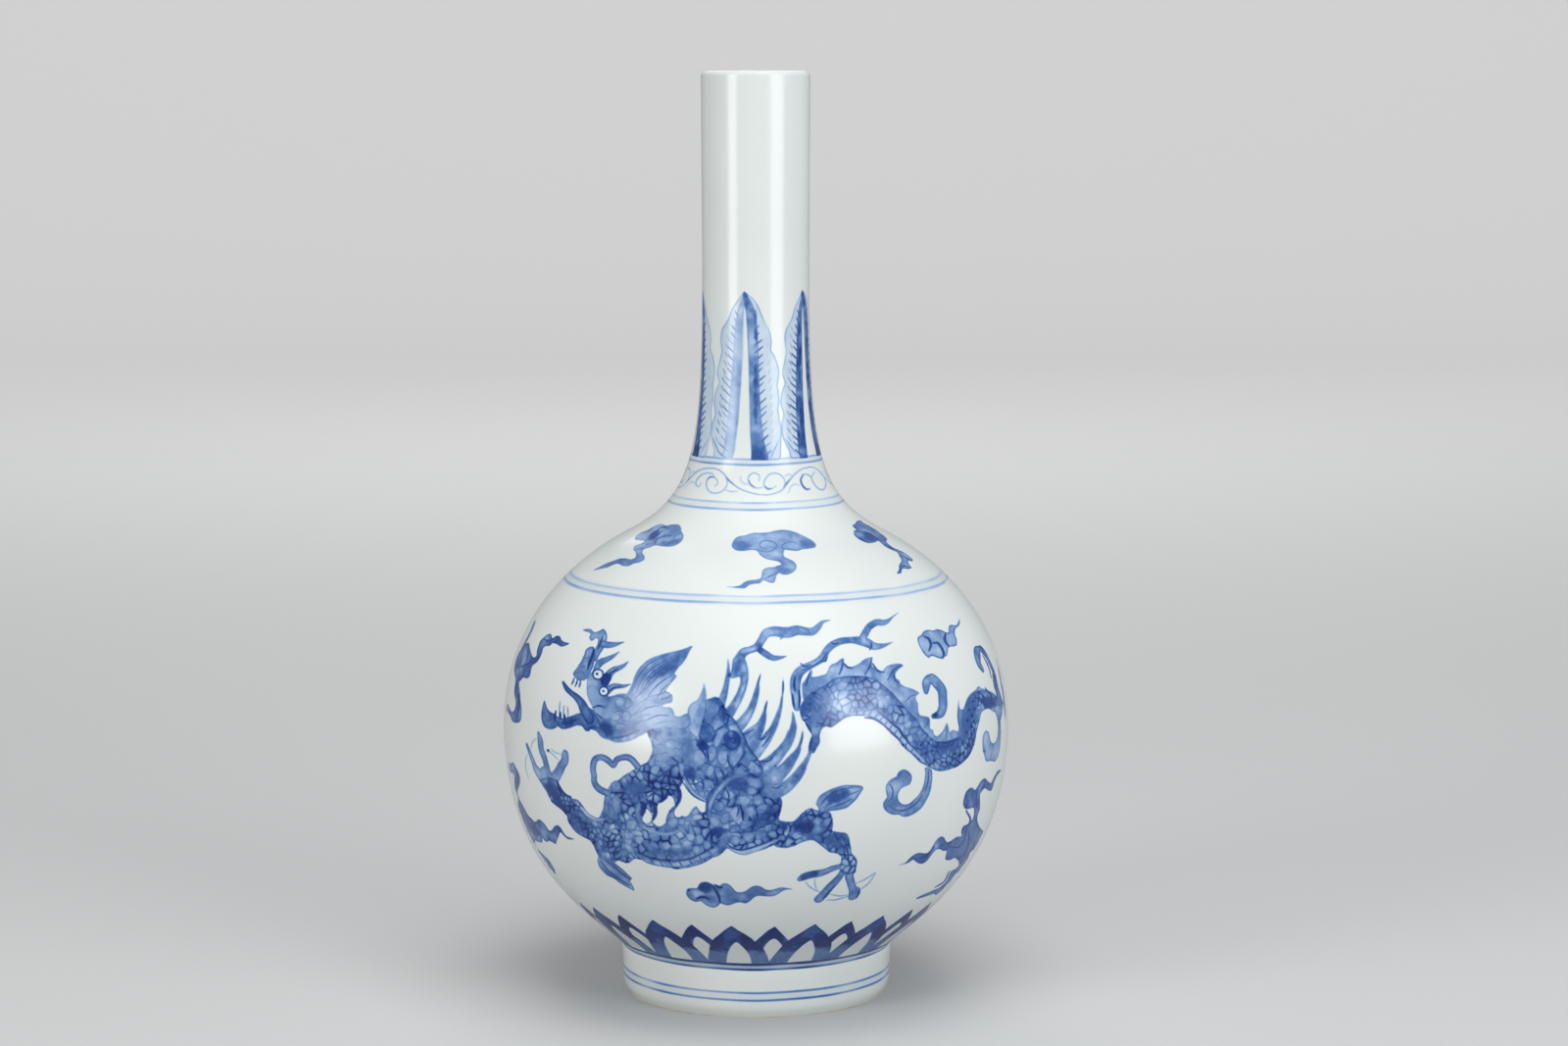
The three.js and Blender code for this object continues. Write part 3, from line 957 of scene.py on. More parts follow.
        steps = ((876, 727), (883, 727), (889, 728), (895, 731), (900, 734), (905, 738), (910, 742),
                 (915, 747), (920, 753), (926, 759), (932, 765))
        p.lines(tuple(((x + 2.5, y - 2.5), (x, y), (x - 1, y + 3)) for x, y in steps), 1.6, 0.7)
        p.dab(((993, 730, 1.6), (992, 741, 1.4), (989, 760, 2.2), (970, 779, 1.6), (962, 778, 1.4),
               (975, 769, 1.5), (984, 768, 1.5), (954, 776, 1.5), (994, 715, 1.2), (952, 766, 1.3),
               (990, 724, 1.1), (995, 723, 1.0), (988, 735, 1.2), (994, 736, 1.1), (987, 747, 1.2),
               (992, 749, 1.2), (983, 758, 1.2), (978, 776, 1.2), (946, 768, 1.2), (941, 760, 1.1),
               (949, 758, 1.0)), 1.0)
        p.lines((((832, 706), (838, 702), (846, 698)), ((858, 688), (861, 680), (862, 674)),
                 ((885, 688), (889, 680), (891, 673)), ((908, 697), (913, 688), (920, 680)),
                 ((925, 716), (930, 711), (936, 708)), ((944, 742), (947, 739), (949, 735)),
                 ((966, 752), (967, 745), (967, 740)), ((980, 745), (979, 733), (979, 720))), 1.6, 0.7)
        p.lines((((862, 673), (861, 680), (858, 688)), ((891, 672), (889, 680), (884, 688)),
                 ((921, 678), (913, 684), (907, 694)), ((863, 677), (867, 681), (872, 681)),
                 ((892, 677), (897, 684), (904, 686)), ((914, 686), (914, 692), (918, 697)),
                 ((829, 685), (826, 692), (824, 700))), 2.2, 0.82)

    def curls(self) -> None:
        """The curled tufts along the tail and at its end."""
        p = self.painter
        p.sweep((((953, 731, 4.5), (960, 728, 8.5), (963, 721, 9), (963, 713, 9), (962, 704, 9.5),
                  (957, 697, 10), (951, 692, 9), (946.5, 697, 9), (946, 705, 5)),), FLESH)
        p.patch(((950, 729), (956, 726), (959, 730), (955, 733)), 0.92, 1.0)
        p.sweep((((1003, 683, 4.5), (999, 676, 7), (997.5, 668, 8.5), (999.5, 661, 6), (1005, 666, 6),
                  (1010, 676, 5.5), (1014, 686, 6), (1016, 696, 7), (1018, 708, 9), (1021, 720, 10)),), WET)
        p.sweep((((1019, 671, 2), (1022, 685, 4), (1024, 700, 5), (1026, 715, 5), (1027, 728, 4),
                  (1028, 742, 2)),), WET)
        p.lines((((1013, 688), (1015, 700), (1019, 712), (1023, 724)), ((1006, 702), (1013, 712),
                  (1018, 724)),
                 ((1019, 680), (1021, 694), (1024, 710)), ((1000, 706), (1007, 714), (1012, 722)),
                 ((1017, 696), (1021, 710), (1025, 722)), ((1003, 668), (1009, 680),
                  (1012, 692))), 2.2, 0.86)
        p.fill(((1015, 722), (1017.5, 732), (1018.5, 741), (1018, 750), (1016.5, 756), (1014, 758.5),
                (1011.5, 757), (1010, 751), (1009, 746.5), (1006, 745.5), (1004, 749), (1003, 755),
                (1003, 762), (1004.5, 770), (1006.5, 776.5), (1011, 776), (1015, 777), (1018, 773),
                (1020, 765), (1021, 755), (1021.5, 745), (1021, 735), (1023, 726), (1021, 718)), FLESH)
        p.lines((((1019.5, 730), (1020, 745), (1019, 757)),), 1.4, 0.85)
        p.dab(((1004.5, 766, 1.2),), 0.95)
        p.fill(((951, 785), (952, 793), (951, 802), (949, 810), (945, 818), (941, 824), (935, 829),
                (928, 832.5), (922, 833), (918, 831), (912, 831), (907, 829), (903, 825), (902, 820),
                (904, 816), (906, 813), (905, 807), (905, 802), (908, 797), (912, 794), (916, 792),
                (917, 789), (920, 786), (924, 785), (928, 787), (931, 791), (931, 796), (929, 800),
                (925, 802), (921, 804), (918, 808), (917, 812), (918, 817), (922, 820.5), (928, 820),
                (933, 816), (938, 811), (942, 804), (944, 797), (945, 789), (945, 783)), FLESH)
        p.lines((((908, 822), (914, 826), (921, 827), (928, 825), (936, 819), (942, 811)),
                 ((909, 800), (912, 806), (911, 814), (907, 818)), ((948, 786), (948, 796),
                  (945, 806))), 1.8, 0.8)

    def flames(self) -> None:
        """The two flames that trail above the back."""
        p = self.painter
        p.sweep((((776, 662, 6), (783, 667, 7), (790, 671, 6), (797, 671, 4), (804, 669.5, 0.8)),
                 ((748, 690, 3), (752, 685, 7), (755, 675, 10), (760, 666, 9), (767, 663, 7), (774, 660, 8),
                  (779, 653, 8), (784, 646, 9.5), (792, 644, 10), (800, 645, 11), (807, 645, 11),
                  (815, 643, 10), (823, 644, 8.5), (831, 644, 8), (837, 639, 6), (841, 634.5, 3.5),
                  (849, 632.5, 0.6))), FLAME)
        p.patch(((773, 662), (777, 657), (782, 659), (780, 664), (776, 665)), 0.82, 1.2)
        p.patch(((755, 675), (758, 667), (763, 667), (761, 673), (757, 678)), 0.8, 1.2)
        p.lines((((797, 645), (801, 649), (798, 652)), ((819, 640), (826, 643), (829, 648)),
                 ((755, 683), (758, 674), (764, 667), (772, 664), (778, 659), (784, 651))), 1.6, 0.66)
        p.sweep((((881, 653, 8), (885, 645, 7.5), (889, 639, 7), (896, 635, 7), (903, 635, 6),
                  (908, 633, 4), (912, 629.5, 1.5), (918, 625, 0.5)),
                 ((815, 722, 7), (814, 712, 9), (813, 702, 10.5), (814, 692, 11), (818, 685, 10),
                  (826, 680, 8), (834, 676, 7), (841, 671, 8), (845, 664, 7.5), (851, 658, 7.5),
                  (860, 654, 7), (870, 653, 6.5), (880, 654, 9), (887, 656, 9), (893, 659, 7.5),
                  (900, 659, 5.5), (906, 657.5, 3), (912, 655, 0.6))), FLAME)
        p.lines((((850, 655), (853, 657), (858, 656)), ((840, 675), (844, 674), (846, 669)),
                 ((819, 677), (823, 680), (829, 678)), ((890, 655), (891, 659), (889, 663)),
                 ((820, 684), (830, 680), (840, 674), (846, 665))), 2, 0.84)
        p.lines((((810, 708), (811, 715), (812, 722)), ((817, 704), (817.5, 713), (817, 722)),
                 ((813, 690), (812, 698), (813, 705))), 2.6, 0.98)

    def hind_leg(self) -> None:
        """The thigh, the clawed foot and the tuft at the knee."""
        p = self.painter
        p.sweep((((857, 884, 5), (850, 886, 5.5), (843, 889, 6), (836, 891, 7), (829, 892, 7),
                  (822, 894, 7), (817, 896.5, 5)),), FLESH)
        p.sweep((((862, 886, 7), (858, 893, 6), (853, 899, 7), (847, 905, 7.5), (841, 912, 8),
                  (836, 917, 8)),), FLESH)
        p.sweep((((869, 885, 8), (867, 893, 9), (869, 902, 8.5), (871, 909, 9.5), (871, 914, 11)),), FLESH)
        p.patch(((818, 892), (826, 889), (835, 888), (835, 893), (826, 896), (819, 898)), 0.84, 1.0)
        p.lines((((822, 899), (826, 904), (832, 908), (837, 910)), ((832, 896), (832, 902), (834, 908)),
                 ((847, 912), (856, 914), (865, 913)), ((844, 918), (852, 918), (860, 916), (866, 914)),
                 ((874, 901), (881, 898), (888, 894), (894, 890)), ((877, 908), (883, 904), (889, 898),
                  (894, 890))),
                1.3, 0.42)
        p.lines((((876, 905), (877, 910), (874, 916)), ((853, 903), (846, 910), (840, 917))), 2, 0.9)
        p.fill(((784, 838), (791, 835), (796, 836.5), (802, 838), (810, 838), (815, 834), (820, 829),
                (825, 825.5), (829, 824.5), (833, 826), (838, 827), (843, 827), (848, 829), (850, 835),
                (851, 841), (850, 847), (852, 848), (858, 849), (864, 850), (867, 854), (868, 860),
                (869, 866), (870, 871), (874, 875), (875, 880), (874, 885), (873, 890), (866, 892),
                (859, 890), (857, 884), (859, 878), (858, 873), (854, 870.5), (848, 869.5), (844, 867),
                (839, 863), (834, 859), (829, 857), (820, 859), (810, 863.5), (800, 865),
                (790, 861)), BODY, grain=Scaling(size=2.6, lines=0.36, dots=0.2, seed=11))
        p.patch(((812, 842), (820, 838), (829, 838), (832, 844), (826, 849), (816, 849)), 0.98, 1.1)
        p.patch(((794, 842), (800, 840), (804, 844), (799, 848)), 0.9, 1.0)
        p.patch(((838, 852), (848, 852), (858, 856), (862, 866), (858, 868), (848, 862)), 0.72, 1.8)
        p.lines((((850, 835), (848, 842), (844, 848), (836, 852)), ((860, 853), (864, 862), (866, 872),
                  (867, 882)),
                 ((829, 826), (824, 831), (818, 837))), 2.2, 0.9)
        p.fill(((836, 824), (834, 820), (836, 814), (840, 810), (847, 806), (855, 803), (863, 801),
                (871, 801), (879, 801.5), (882, 804), (879, 809), (875, 815), (870, 820), (865, 824),
                (858, 826), (850, 827), (845, 828), (838, 829)), FLESH)
        p.patch(((846, 812), (856, 807), (866, 806), (864, 812), (856, 817), (848, 819)), 0.8, 1.3)
        p.lines((((838, 822), (846, 813), (858, 806), (872, 803)), ((842, 824), (852, 818), (864, 812),
                  (877, 807)),
                 ((840, 818), (850, 809), (862, 804)), ((848, 824), (860, 820), (870, 815)),
                 ((844, 822), (854, 814), (868, 808))), 1.7, 0.84)

    def trunk(self) -> None:
        """The coiled, scaled body, with white showing through its loops."""
        p = self.painter
        loops = (
            ((700, 794.5), (703, 799), (706, 805), (710, 811), (715, 814.5), (721, 816.5), (721.5, 822),
             (720.5, 828), (716, 828), (713.5, 825), (711.5, 822.5), (708, 825), (705, 829), (703, 832),
             (699, 833), (697, 832), (694, 834), (690, 832.5), (689, 828), (691, 824.5), (693, 822),
             (694.5, 817), (694, 810), (693, 805), (696, 802), (698, 798)),
            ((684, 811.5), (687, 813), (689, 817), (689.5, 821.5), (686, 824.5), (683, 829), (681, 834),
             (680, 839), (677, 842), (673, 843), (669, 841), (667, 837.5), (670, 832), (671.5, 826),
             (672.5, 820), (677, 818), (680, 814)),
            ((661, 825), (664, 828), (666, 832), (666, 836), (663, 839.5), (659, 839.5), (656.5, 836.5),
             (657.5, 831), (659, 827)))
        p.fill(((658, 744), (661, 747), (664, 753), (666.5, 760), (667, 766), (665, 772), (662, 777),
                (657, 780), (652, 782), (645, 787), (638, 791), (633, 795), (628, 798), (624, 803),
                (620, 808), (618, 812), (617, 818), (616, 825), (612, 834), (606, 840), (604, 850),
                (606, 862), (611, 872), (619, 879), (627, 880), (631, 877.5), (635, 879), (640, 880.5),
                (644, 879), (648, 876), (655, 877), (661, 879.5), (668, 881.5), (676, 883.5), (684, 885),
                (691, 886.5), (697, 886), (704, 885), (711, 883), (717, 881), (723, 878), (728, 875),
                (733, 873.5), (738, 870), (742, 866), (745, 866), (750, 869), (756, 871.5), (762, 872),
                (768, 870), (775, 868), (782, 866), (788, 863), (793, 861.5), (799, 864.5), (803, 860),
                (800, 845), (796, 835), (799, 822), (798, 814), (790, 800), (775, 785), (760, 770),
               (745, 755), (725, 745), (712, 745), (703, 740), (690, 735),
               (675, 730)), BODY, holes=loops, grain=Scaling(size=2.7, lines=0.46, dots=0.2))
        self.trunk_scales()
        p.patch(((668, 752), (684, 744), (699, 750), (701, 764), (692, 774), (676, 780),
                 (668, 774)), 0.38, 6)
        p.lines((((658, 804), (666, 797), (676, 791), (686, 784), (694, 778)),
                 ((664, 812), (672, 806), (681, 802), (688, 797))), 3.2, 0.82)
        p.lines((((671, 762), (675, 759), (679, 761)), ((681, 757), (685, 754), (690, 756)),
                 ((675, 771), (679, 768), (684, 769)), ((687, 766), (691, 763), (695, 765)),
                 ((679, 779), (683, 776), (688, 777)), ((669, 778), (672, 776), (676, 777))), 1.2, 0.66)
        p.patch(((612, 838), (622, 832), (632, 836), (634, 848), (626, 858), (616, 856),
                 (609, 848)), 0.72, 2.4)
        p.patch(((640, 800), (650, 795), (660, 800), (658, 812), (648, 818), (640, 812)), 0.7, 2.4)
        p.patch(((700, 787), (705, 782), (711, 783), (712, 792), (711, 797), (705, 795),
                 (701, 794)), 0.88, 1.2)
        p.patch(((727, 850), (730, 846), (737, 843), (748, 843), (742, 849), (733, 855)), 0.94, 1.1)
        p.patch(((664, 862), (676, 866), (690, 868), (704, 866), (700, 872), (684, 873),
                 (668, 870)), 0.68, 2.0)
        p.lines((((688, 796), (692, 802), (694.5, 809), (694, 816), (691, 822)),
                 ((664, 817), (669, 823), (669.5, 830), (667, 836)), ((683, 806), (680, 813), (674, 818)),
                 ((655, 818), (658, 825), (656, 832))), 4.4, 0.95)
        band = Wash(body=0.33, pool=0.0, line=0.72, line_width=0.35, mottle=0.2)
        p.sweep((((699, 792, 2), (703, 800, 3.5), (707, 806.5, 4.5), (713, 812, 4.5), (719, 815.5, 4),
                  (723, 818, 2)),), band)
        p.lines((((697, 796), (702, 804), (708, 811), (715, 815.5), (721, 818)),), 1.6, 0.85)
        p.sweep((((655, 842, 1.5), (662, 846, 3.4), (670, 849, 3.6), (680, 851, 3.6), (690, 849, 3.4),
                  (697, 845, 3), (703, 841, 1.5)),), band)
        p.sweep((((648, 871, 2), (655, 874, 4.5), (662, 878, 5.5), (672, 880.5, 6), (682, 882, 6),
                  (692, 882, 6), (700, 880.5, 6), (708, 878, 6), (716, 874.5, 6), (723, 871.5, 6),
                  (730, 867.5, 6), (737, 862, 5),
                  (743, 857, 2)),), Wash(body=0.42, pool=0.1, line=0.7, line_width=0.35, mottle=0.5))
        belly = ((655, 874), (665, 878.5), (675, 881), (685, 882), (695, 882), (705, 879.5), (715, 875.5),
                 (725, 870.5), (734, 864.5))
        p.lines(tuple(((x - 1.5, y - 4), (x + 0.5, y), (x + 3, y + 3)) for x, y in belly), 1.3, 0.82)
        p.lines((((648, 868), (658, 872.5), (670, 876), (684, 878), (698, 877.5)),
                 ((690, 878), (704, 876), (717, 870.5), (728, 864), (736, 857.5))), 1.7, 0.92)

    def trunk_scales(self) -> None:
        """The scales that show one by one along the coil's flank."""
        self.scales((
            (0.42, ((624, 800), (629, 796), (634, 799), (635, 804), (631, 808), (626, 806))),
            (0.46, ((627, 812), (631, 810), (634, 816), (633, 826), (629, 832), (626, 826), (625, 818))),
            (0.44, ((640, 837), (646, 835), (651, 839), (650, 846), (644, 848), (639, 844))),
            (0.34, ((637, 849), (643, 848), (648, 852), (645, 857), (639, 856))),
            (0.34, ((649, 853), (655, 852), (658, 857), (654, 862), (649, 859))),
            (0.46, ((664, 849), (671, 849), (673, 855), (667, 858), (663, 854))),
            (0.44, ((684, 871), (690, 870), (694, 875), (689, 880), (684, 877))),
            (0.44, ((671, 871), (677, 869), (681, 874), (676, 880), (670, 877))),
            (0.42, ((697, 868), (703, 868), (706, 873), (701, 878), (696, 874))),
            (0.4, ((708, 863), (714, 862), (717, 867), (712, 872), (707, 869))),
            (0.44, ((719, 858), (725, 857), (727, 863), (722, 868), (718, 864))),
            (0.36, ((663, 861), (669, 860), (673, 864), (669, 869), (663, 868))),
            (0.36, ((676, 860), (682, 859), (686, 864), (681, 868), (676, 866))),
            (0.3, ((686, 862), (692, 860), (696, 864), (692, 869), (687, 868))),
            (0.3, ((697, 858), (703, 856), (707, 861), (703, 867), (697, 865))),
            (0.36, ((701, 851), (708, 850), (711, 855), (707, 859), (702, 857))),
            (0.36, ((711, 852), (717, 851), (720, 857), (716, 862), (711, 860))),
            (0.42, ((622, 868), (628, 866), (632, 871), (628, 876), (622, 875))),
            (0.46, ((634, 866), (640, 866), (642, 872), (637, 876), (633, 872))),
            (0.46, ((612, 862), (618, 860), (621, 866), (617, 871), (611, 869))),
            (0.46, ((618, 846), (624, 845), (627, 851), (622, 856), (617, 852))),
            (0.48, ((606, 850), (612, 849), (613, 856), (608, 860), (604, 855)))))
        rim = Wash(body=0.42, pool=0.06, line=0.76, line_width=0.36, mottle=0.3)
        self.painter.sweep((((624, 803, 3), (620.5, 812, 4), (619.5, 822, 4), (620.5, 832, 3)),), rim)
        self.painter.sweep((((657, 843, 3), (652.5, 835, 5), (651.5, 826, 6), (655, 817.5, 5),
                             (662, 813, 3)),), rim)

    def haunch(self) -> None:
        """The round scaled haunch that the hind leg springs from."""
        p = self.painter
        p.fill(((722, 833), (721, 825), (722, 816), (725, 809), (729, 803), (735, 797), (742, 792),
                (752, 788), (764, 786), (776, 788), (786, 795), (793, 804), (797, 812), (799, 819),
                (797, 828), (793, 835), (786, 840), (776, 846), (764, 850), (752, 850), (741, 847),
                (731, 843), (725, 839)),
               Wash(body=0.56, pool=0.1, line=0.88, line_width=0.6, mottle=0.35),
               grain=Scaling(size=2.7, lines=0.4, dots=0.24, seed=21))
        p.sweep((((724.5, 834, 4), (726, 821, 6), (732, 809, 6.5), (741, 799, 6.5), (752, 792.5, 6),
                  (764, 790, 5), (773, 793, 2)),),
                Wash(body=0.42, pool=0.08, line=0.84, line_width=0.4, mottle=0.35, mottle_size=4))
        p.patch(((747, 797), (757, 796), (766, 800), (764, 806), (752, 806), (746, 803)), 0.82, 1.3)
        p.patch(((768, 836), (778, 830), (788, 822), (794, 826), (788, 835), (778, 842),
                 (768, 843)), 0.84, 1.3)
        p.patch(((780, 786), (788, 793), (791, 801), (784, 801), (779, 794)), 0.84, 1.2)
        self.scales((
            (0.42, ((763, 795), (770, 792), (777, 795), (779, 801), (773, 805), (766, 802))),
            (0.46, ((741, 806), (748, 806), (752, 811), (748, 816), (741, 815), (738, 811))),
            (0.5, ((731, 818), (738, 817), (741, 823), (737, 829), (731, 828), (728, 823))),
            (0.44, ((764, 803), (771, 802), (774, 808), (769, 812), (763, 810))),
            (0.5, ((781, 803), (788, 803), (791, 810), (786, 815), (780, 811))),
            (0.46, ((770, 812), (778, 810), (781, 817), (776, 822), (770, 820))),
            (0.4, ((756, 812), (763, 811), (768, 815), (766, 821), (759, 822), (754, 818))),
            (0.5, ((773, 824), (781, 819), (786, 822), (781, 829), (775, 831))),
            (0.42, ((725, 834), (732, 832), (736, 838), (733, 844), (727, 842))),
            (0.48, ((740, 829), (745, 828), (746, 836), (741, 842), (736, 838), (736, 832))),
            (0.4, ((762, 824), (769, 822), (773, 828), (771, 834), (765, 833), (760, 829))),
            (0.34, ((747, 826), (752, 823), (757, 827), (757, 834), (752, 839), (747, 835), (745, 830))),
            (0.44, ((757, 838), (764, 836), (768, 841), (763, 847), (756, 846))),
            (0.5, ((747, 842), (754, 840), (757, 846), (751, 850), (745, 849))),
            (0.42, ((759, 850), (767, 848), (771, 853), (766, 859), (760, 858))),
            (0.42, ((747, 853), (754, 852), (758, 857), (753, 862), (746, 860))),
            (0.46, ((772, 848), (780, 846), (784, 851), (778, 857), (772, 856)))))
        p.sweep((((744, 864.5, 2), (752, 868, 4.6), (760, 869.5, 5.6), (768, 867.5, 5.6), (777, 864.5, 5),
                  (786, 860.5, 4), (795, 856.5, 2)),),
                Wash(body=0.24, pool=0.06, line=0.66, line_width=0.34, mottle=0.3))
        p.lines((((742, 860), (748, 865), (756, 867), (765, 865.5), (774, 862.5), (784, 859)),
                 ((786, 841), (791, 836), (796, 830)), ((743, 806), (745, 812), (743, 819)),
                 ((753, 820), (755, 826), (753, 833)), ((770, 831), (771, 839), (768, 846)),
                 ((781, 842), (788, 840), (795, 842))), 2.0, 0.94)

    def arm(self) -> None:
        """The front arm with its three claws and the tuft at the elbow."""
        p = self.painter
        p.fill(((611, 874), (610, 879), (612, 885), (616, 890), (620, 893.5), (626, 896), (633, 901),
                (640, 905), (647, 908.5), (645.5, 903), (643, 899), (645, 896), (641, 892), (636, 887),
                (631, 883), (627, 880), (623, 877), (617, 873)), FLESH)
        p.lines((((613, 878), (620, 887), (630, 895), (642, 903)), ((616, 876), (626, 884), (636, 892),
                  (643, 897)),
                 ((614, 884), (621, 891), (632, 898))), 2.0, 0.84)
        p.sweep((((538, 760, 3), (541, 768, 4), (544, 776, 4.8), (547, 784, 6), (552, 791, 8.5),
                  (558, 797, 14)),
                 ((550, 748, 2.6), (552, 757, 6.5), (553, 765, 6.2), (556, 773, 5.8), (558, 781, 6.2),
                  (559, 789, 9), (560, 797, 14)),
                 ((577.5, 770, 7), (577, 776, 8), (574, 781, 9), (571, 787, 9.5), (567, 793, 11.5),
                  (562, 798, 13)),
                 ((557, 793, 14), (562, 800, 15), (565, 806, 15))), FLESH)
        p.lines((((548, 753), (544, 757), (542, 763)), ((538, 770), (536.5, 777), (537, 785), (539.5, 794)),
                 ((560, 765.5), (564, 769), (570, 775)), ((563, 764.5), (567, 767.5),
                  (573, 769.5))), 1.2, 0.4)
        p.dab(((560, 765.5, 1.4),), 0.9)
        p.fill(((551, 796), (555, 801), (558, 806), (560, 812), (563, 817), (567, 821), (572, 825),
                (576, 829), (579, 833), (580, 838), (583, 843), (587, 848), (592, 852), (598, 855),
                (602, 857), (605, 861), (608, 867), (613, 876), (622, 878), (632, 870), (636, 858),
                (634, 846), (626, 836), (618, 834), (614, 834), (609, 834), (603, 831), (598, 826),
                (594, 820), (590, 816), (586, 815), (580, 812), (577, 809), (573, 805), (570, 801),
               (569, 796), (560, 793)), BODY, grain=Scaling(size=2.4, lines=0.36, dots=0.24, seed=31))
        p.patch(((557, 800), (564, 799), (568, 806), (571, 813), (576, 822), (571, 823), (564, 815),
                 (559, 807)),
                0.9, 1.4)
        p.lines((((569, 797), (571, 802), (574, 807), (578, 811), (583, 813)),
                 ((563, 817), (570, 822), (577, 827))), 2.6, 0.97)
        p.sweep((((587, 818, 2), (592, 822, 3.2), (597, 828, 3.4), (602, 832.5, 3.4), (608, 835.5, 3.2),
                  (614, 836, 3),
                  (620, 835, 2)),), Wash(body=0.2, pool=0.0, line=0.7, line_width=0.35, mottle=0.2))
        p.dab(((588, 821.5, 1.3), (592, 822.5, 1.1), (587.5, 834, 1.5), (592, 834.5, 1.5), (596, 839, 1.1),
               (601, 845, 1.6), (609, 854, 1.5), (585, 821.5, 1.0), (597, 846, 1.1)), 0.94)
        p.lines((((583, 815), (585, 822), (584, 829)), ((594, 826), (598, 833), (604, 839)),
                 ((580, 832), (586, 838), (591, 846)), ((600, 838), (606, 842), (612, 845)),
                 ((592, 848), (599, 850), (606, 856))), 1.6, 0.78)

    def wing(self) -> None:
        """The wing: long feathers fanned to the right and short ones at its root."""
        p = self.painter
        feather = Wash(body=0.4, pool=0.06, line=0.6, line_width=0.5, soft=0.34, mottle=0.5, mottle_size=3.5)
        for outline in (
                ((829, 767), (828.5, 772), (825, 780), (822, 789), (817, 797), (811, 804), (804, 810),
                 (796, 814), (786, 814), (780, 806), (784, 799), (793, 800), (800, 797.5), (806, 793),
                 (812, 787), (818, 780), (823, 773), (826.5, 767)),
                ((820.5, 745), (820, 753), (819, 760), (818, 767), (814, 776), (809, 785), (803, 793),
                 (796, 800), (788, 802), (779, 797), (777, 788), (785, 787), (793, 783), (800, 778),
                 (806, 771.5), (812, 766), (816, 760), (818.5, 753)),
                ((810.5, 726), (813, 733), (814.5, 743), (812.5, 753), (808.5, 762), (803, 770), (797, 778),
                 (790, 785), (781, 788), (772, 785), (769, 778), (777, 776), (785, 771.5), (791, 766.5),
                 (797, 760.5), (803, 752), (807.5, 743), (809.5, 734)),
                ((801, 692), (801, 704), (800.3, 715), (799, 726), (796, 738), (792, 748), (787, 758),
                 (781.5, 766), (775, 774), (766, 776), (762, 768), (770, 764), (775, 757.5), (781, 749),
                 (787, 742), (791, 734), (794, 727), (797, 719), (799.5, 708), (800, 700)),
                ((784.5, 714), (783.5, 722), (783.5, 732), (782, 741), (779, 750), (774, 760), (768, 769),
                 (758, 772), (752, 764), (755, 753), (761, 746), (768, 741.5), (774, 737), (778, 730.5),
                 (781, 723.5), (783, 717)),
                ((778, 687), (776.5, 694), (776.5, 704), (775, 714), (772, 724), (768, 733), (763, 741),
                 (757, 747.5), (750, 751), (744, 745), (746, 738), (753, 735), (759, 729), (765, 721),
                 (769, 712), (772, 703), (775, 694)),
                ((750, 672), (757, 668), (762, 672), (765, 682), (765.5, 692), (763.5, 702), (760, 712),
                 (755, 722), (749, 732), (744, 740), (737, 740), (738, 730), (744, 721), (750, 713),
                 (754.5, 704), (757, 696), (756.5, 690.5), (750, 692), (745, 690.5), (748, 684)),
                ((744.5, 672), (746.5, 682), (746.5, 692), (745, 702), (743.5, 711), (741.5, 720),
                 (740, 730), (733, 729), (732, 719), (735.5, 711), (739, 702), (741.5, 692), (743.5, 682))):
            p.fill(outline, feather)
        for spine in (((828, 769), (827.5, 776), (822, 787), (815, 796), (808, 799), (812, 791), (820, 781)),
                      ((820, 748), (819.5, 760), (817, 768), (811, 778), (805, 785), (803, 781), (810, 771),
                       (816, 763), (818.5, 756)),
                      ((811, 728), (812.5, 736), (812, 746), (806, 757), (797, 767), (788, 776), (779, 780),
                       (780, 775.5), (790, 769), (798, 761), (806, 749), (809, 738)),
                      ((800, 712), (799.5, 722), (796, 733), (792, 743), (785, 751), (779, 755.5),
                       (777.5, 753), (785, 747), (791, 738), (795, 729)),
                      ((783.5, 720), (783, 731), (781, 742), (776, 752), (774, 746), (776, 738),
                       (780, 729)),
                      ((777, 690), (776, 700), (774, 712), (771, 720), (768, 722), (770, 713), (774, 700)),
                      ((752, 676), (758, 674), (760, 684), (761, 694), (758, 706), (752, 717), (746, 726),
                       (743, 730), (746, 722), (754, 709), (758, 698), (757, 689), (751, 689)),
                      ((745, 683), (746, 692), (744, 704), (742, 716), (740, 716), (742, 704),
                       (743.5, 694))):
            p.patch(spine, 0.68, 1.3)
        p.lines((((820.5, 747), (820, 753), (818.8, 759)), ((800.8, 695), (800.8, 701), (800.3, 708)),
                 ((784.3, 716), (783.2, 721), (781.8, 727)), ((777.5, 689), (776, 694), (774.5, 700)),
                 ((748, 737), (746, 736), (743, 739)), ((757, 750), (763, 748), (771, 744)),
                 ((758, 768), (764, 765.5), (770, 766)), ((771, 779), (778, 776.5), (786, 776), (792, 770)),
                 ((776, 753.5), (779, 754), (783, 751)), ((789, 803), (794, 804), (799, 801)),
                 ((779, 762), (784, 756), (789, 748)), ((744, 691), (746, 687), (748, 690))), 1.8, 0.9)
        p.lines((((806, 745), (801, 757), (793, 766)),
                 ((795, 735), (789, 747), (782, 758)), ((778, 738), (772, 748), (763, 756)),
                 ((771, 714), (765, 726), (757, 736)), ((759, 698), (753, 712), (746, 724)),
                 ((812, 740), (809, 752), (802, 763)), ((824, 784), (818, 793), (810, 802)),
                 ((764, 686), (763, 699), (757, 713))), 1.3, 0.64)
        p.dab(((745.5, 689, 1.5), (792.5, 781.5, 1.6), (741, 727, 1.6), (741.5, 735, 1.3)), 0.92)
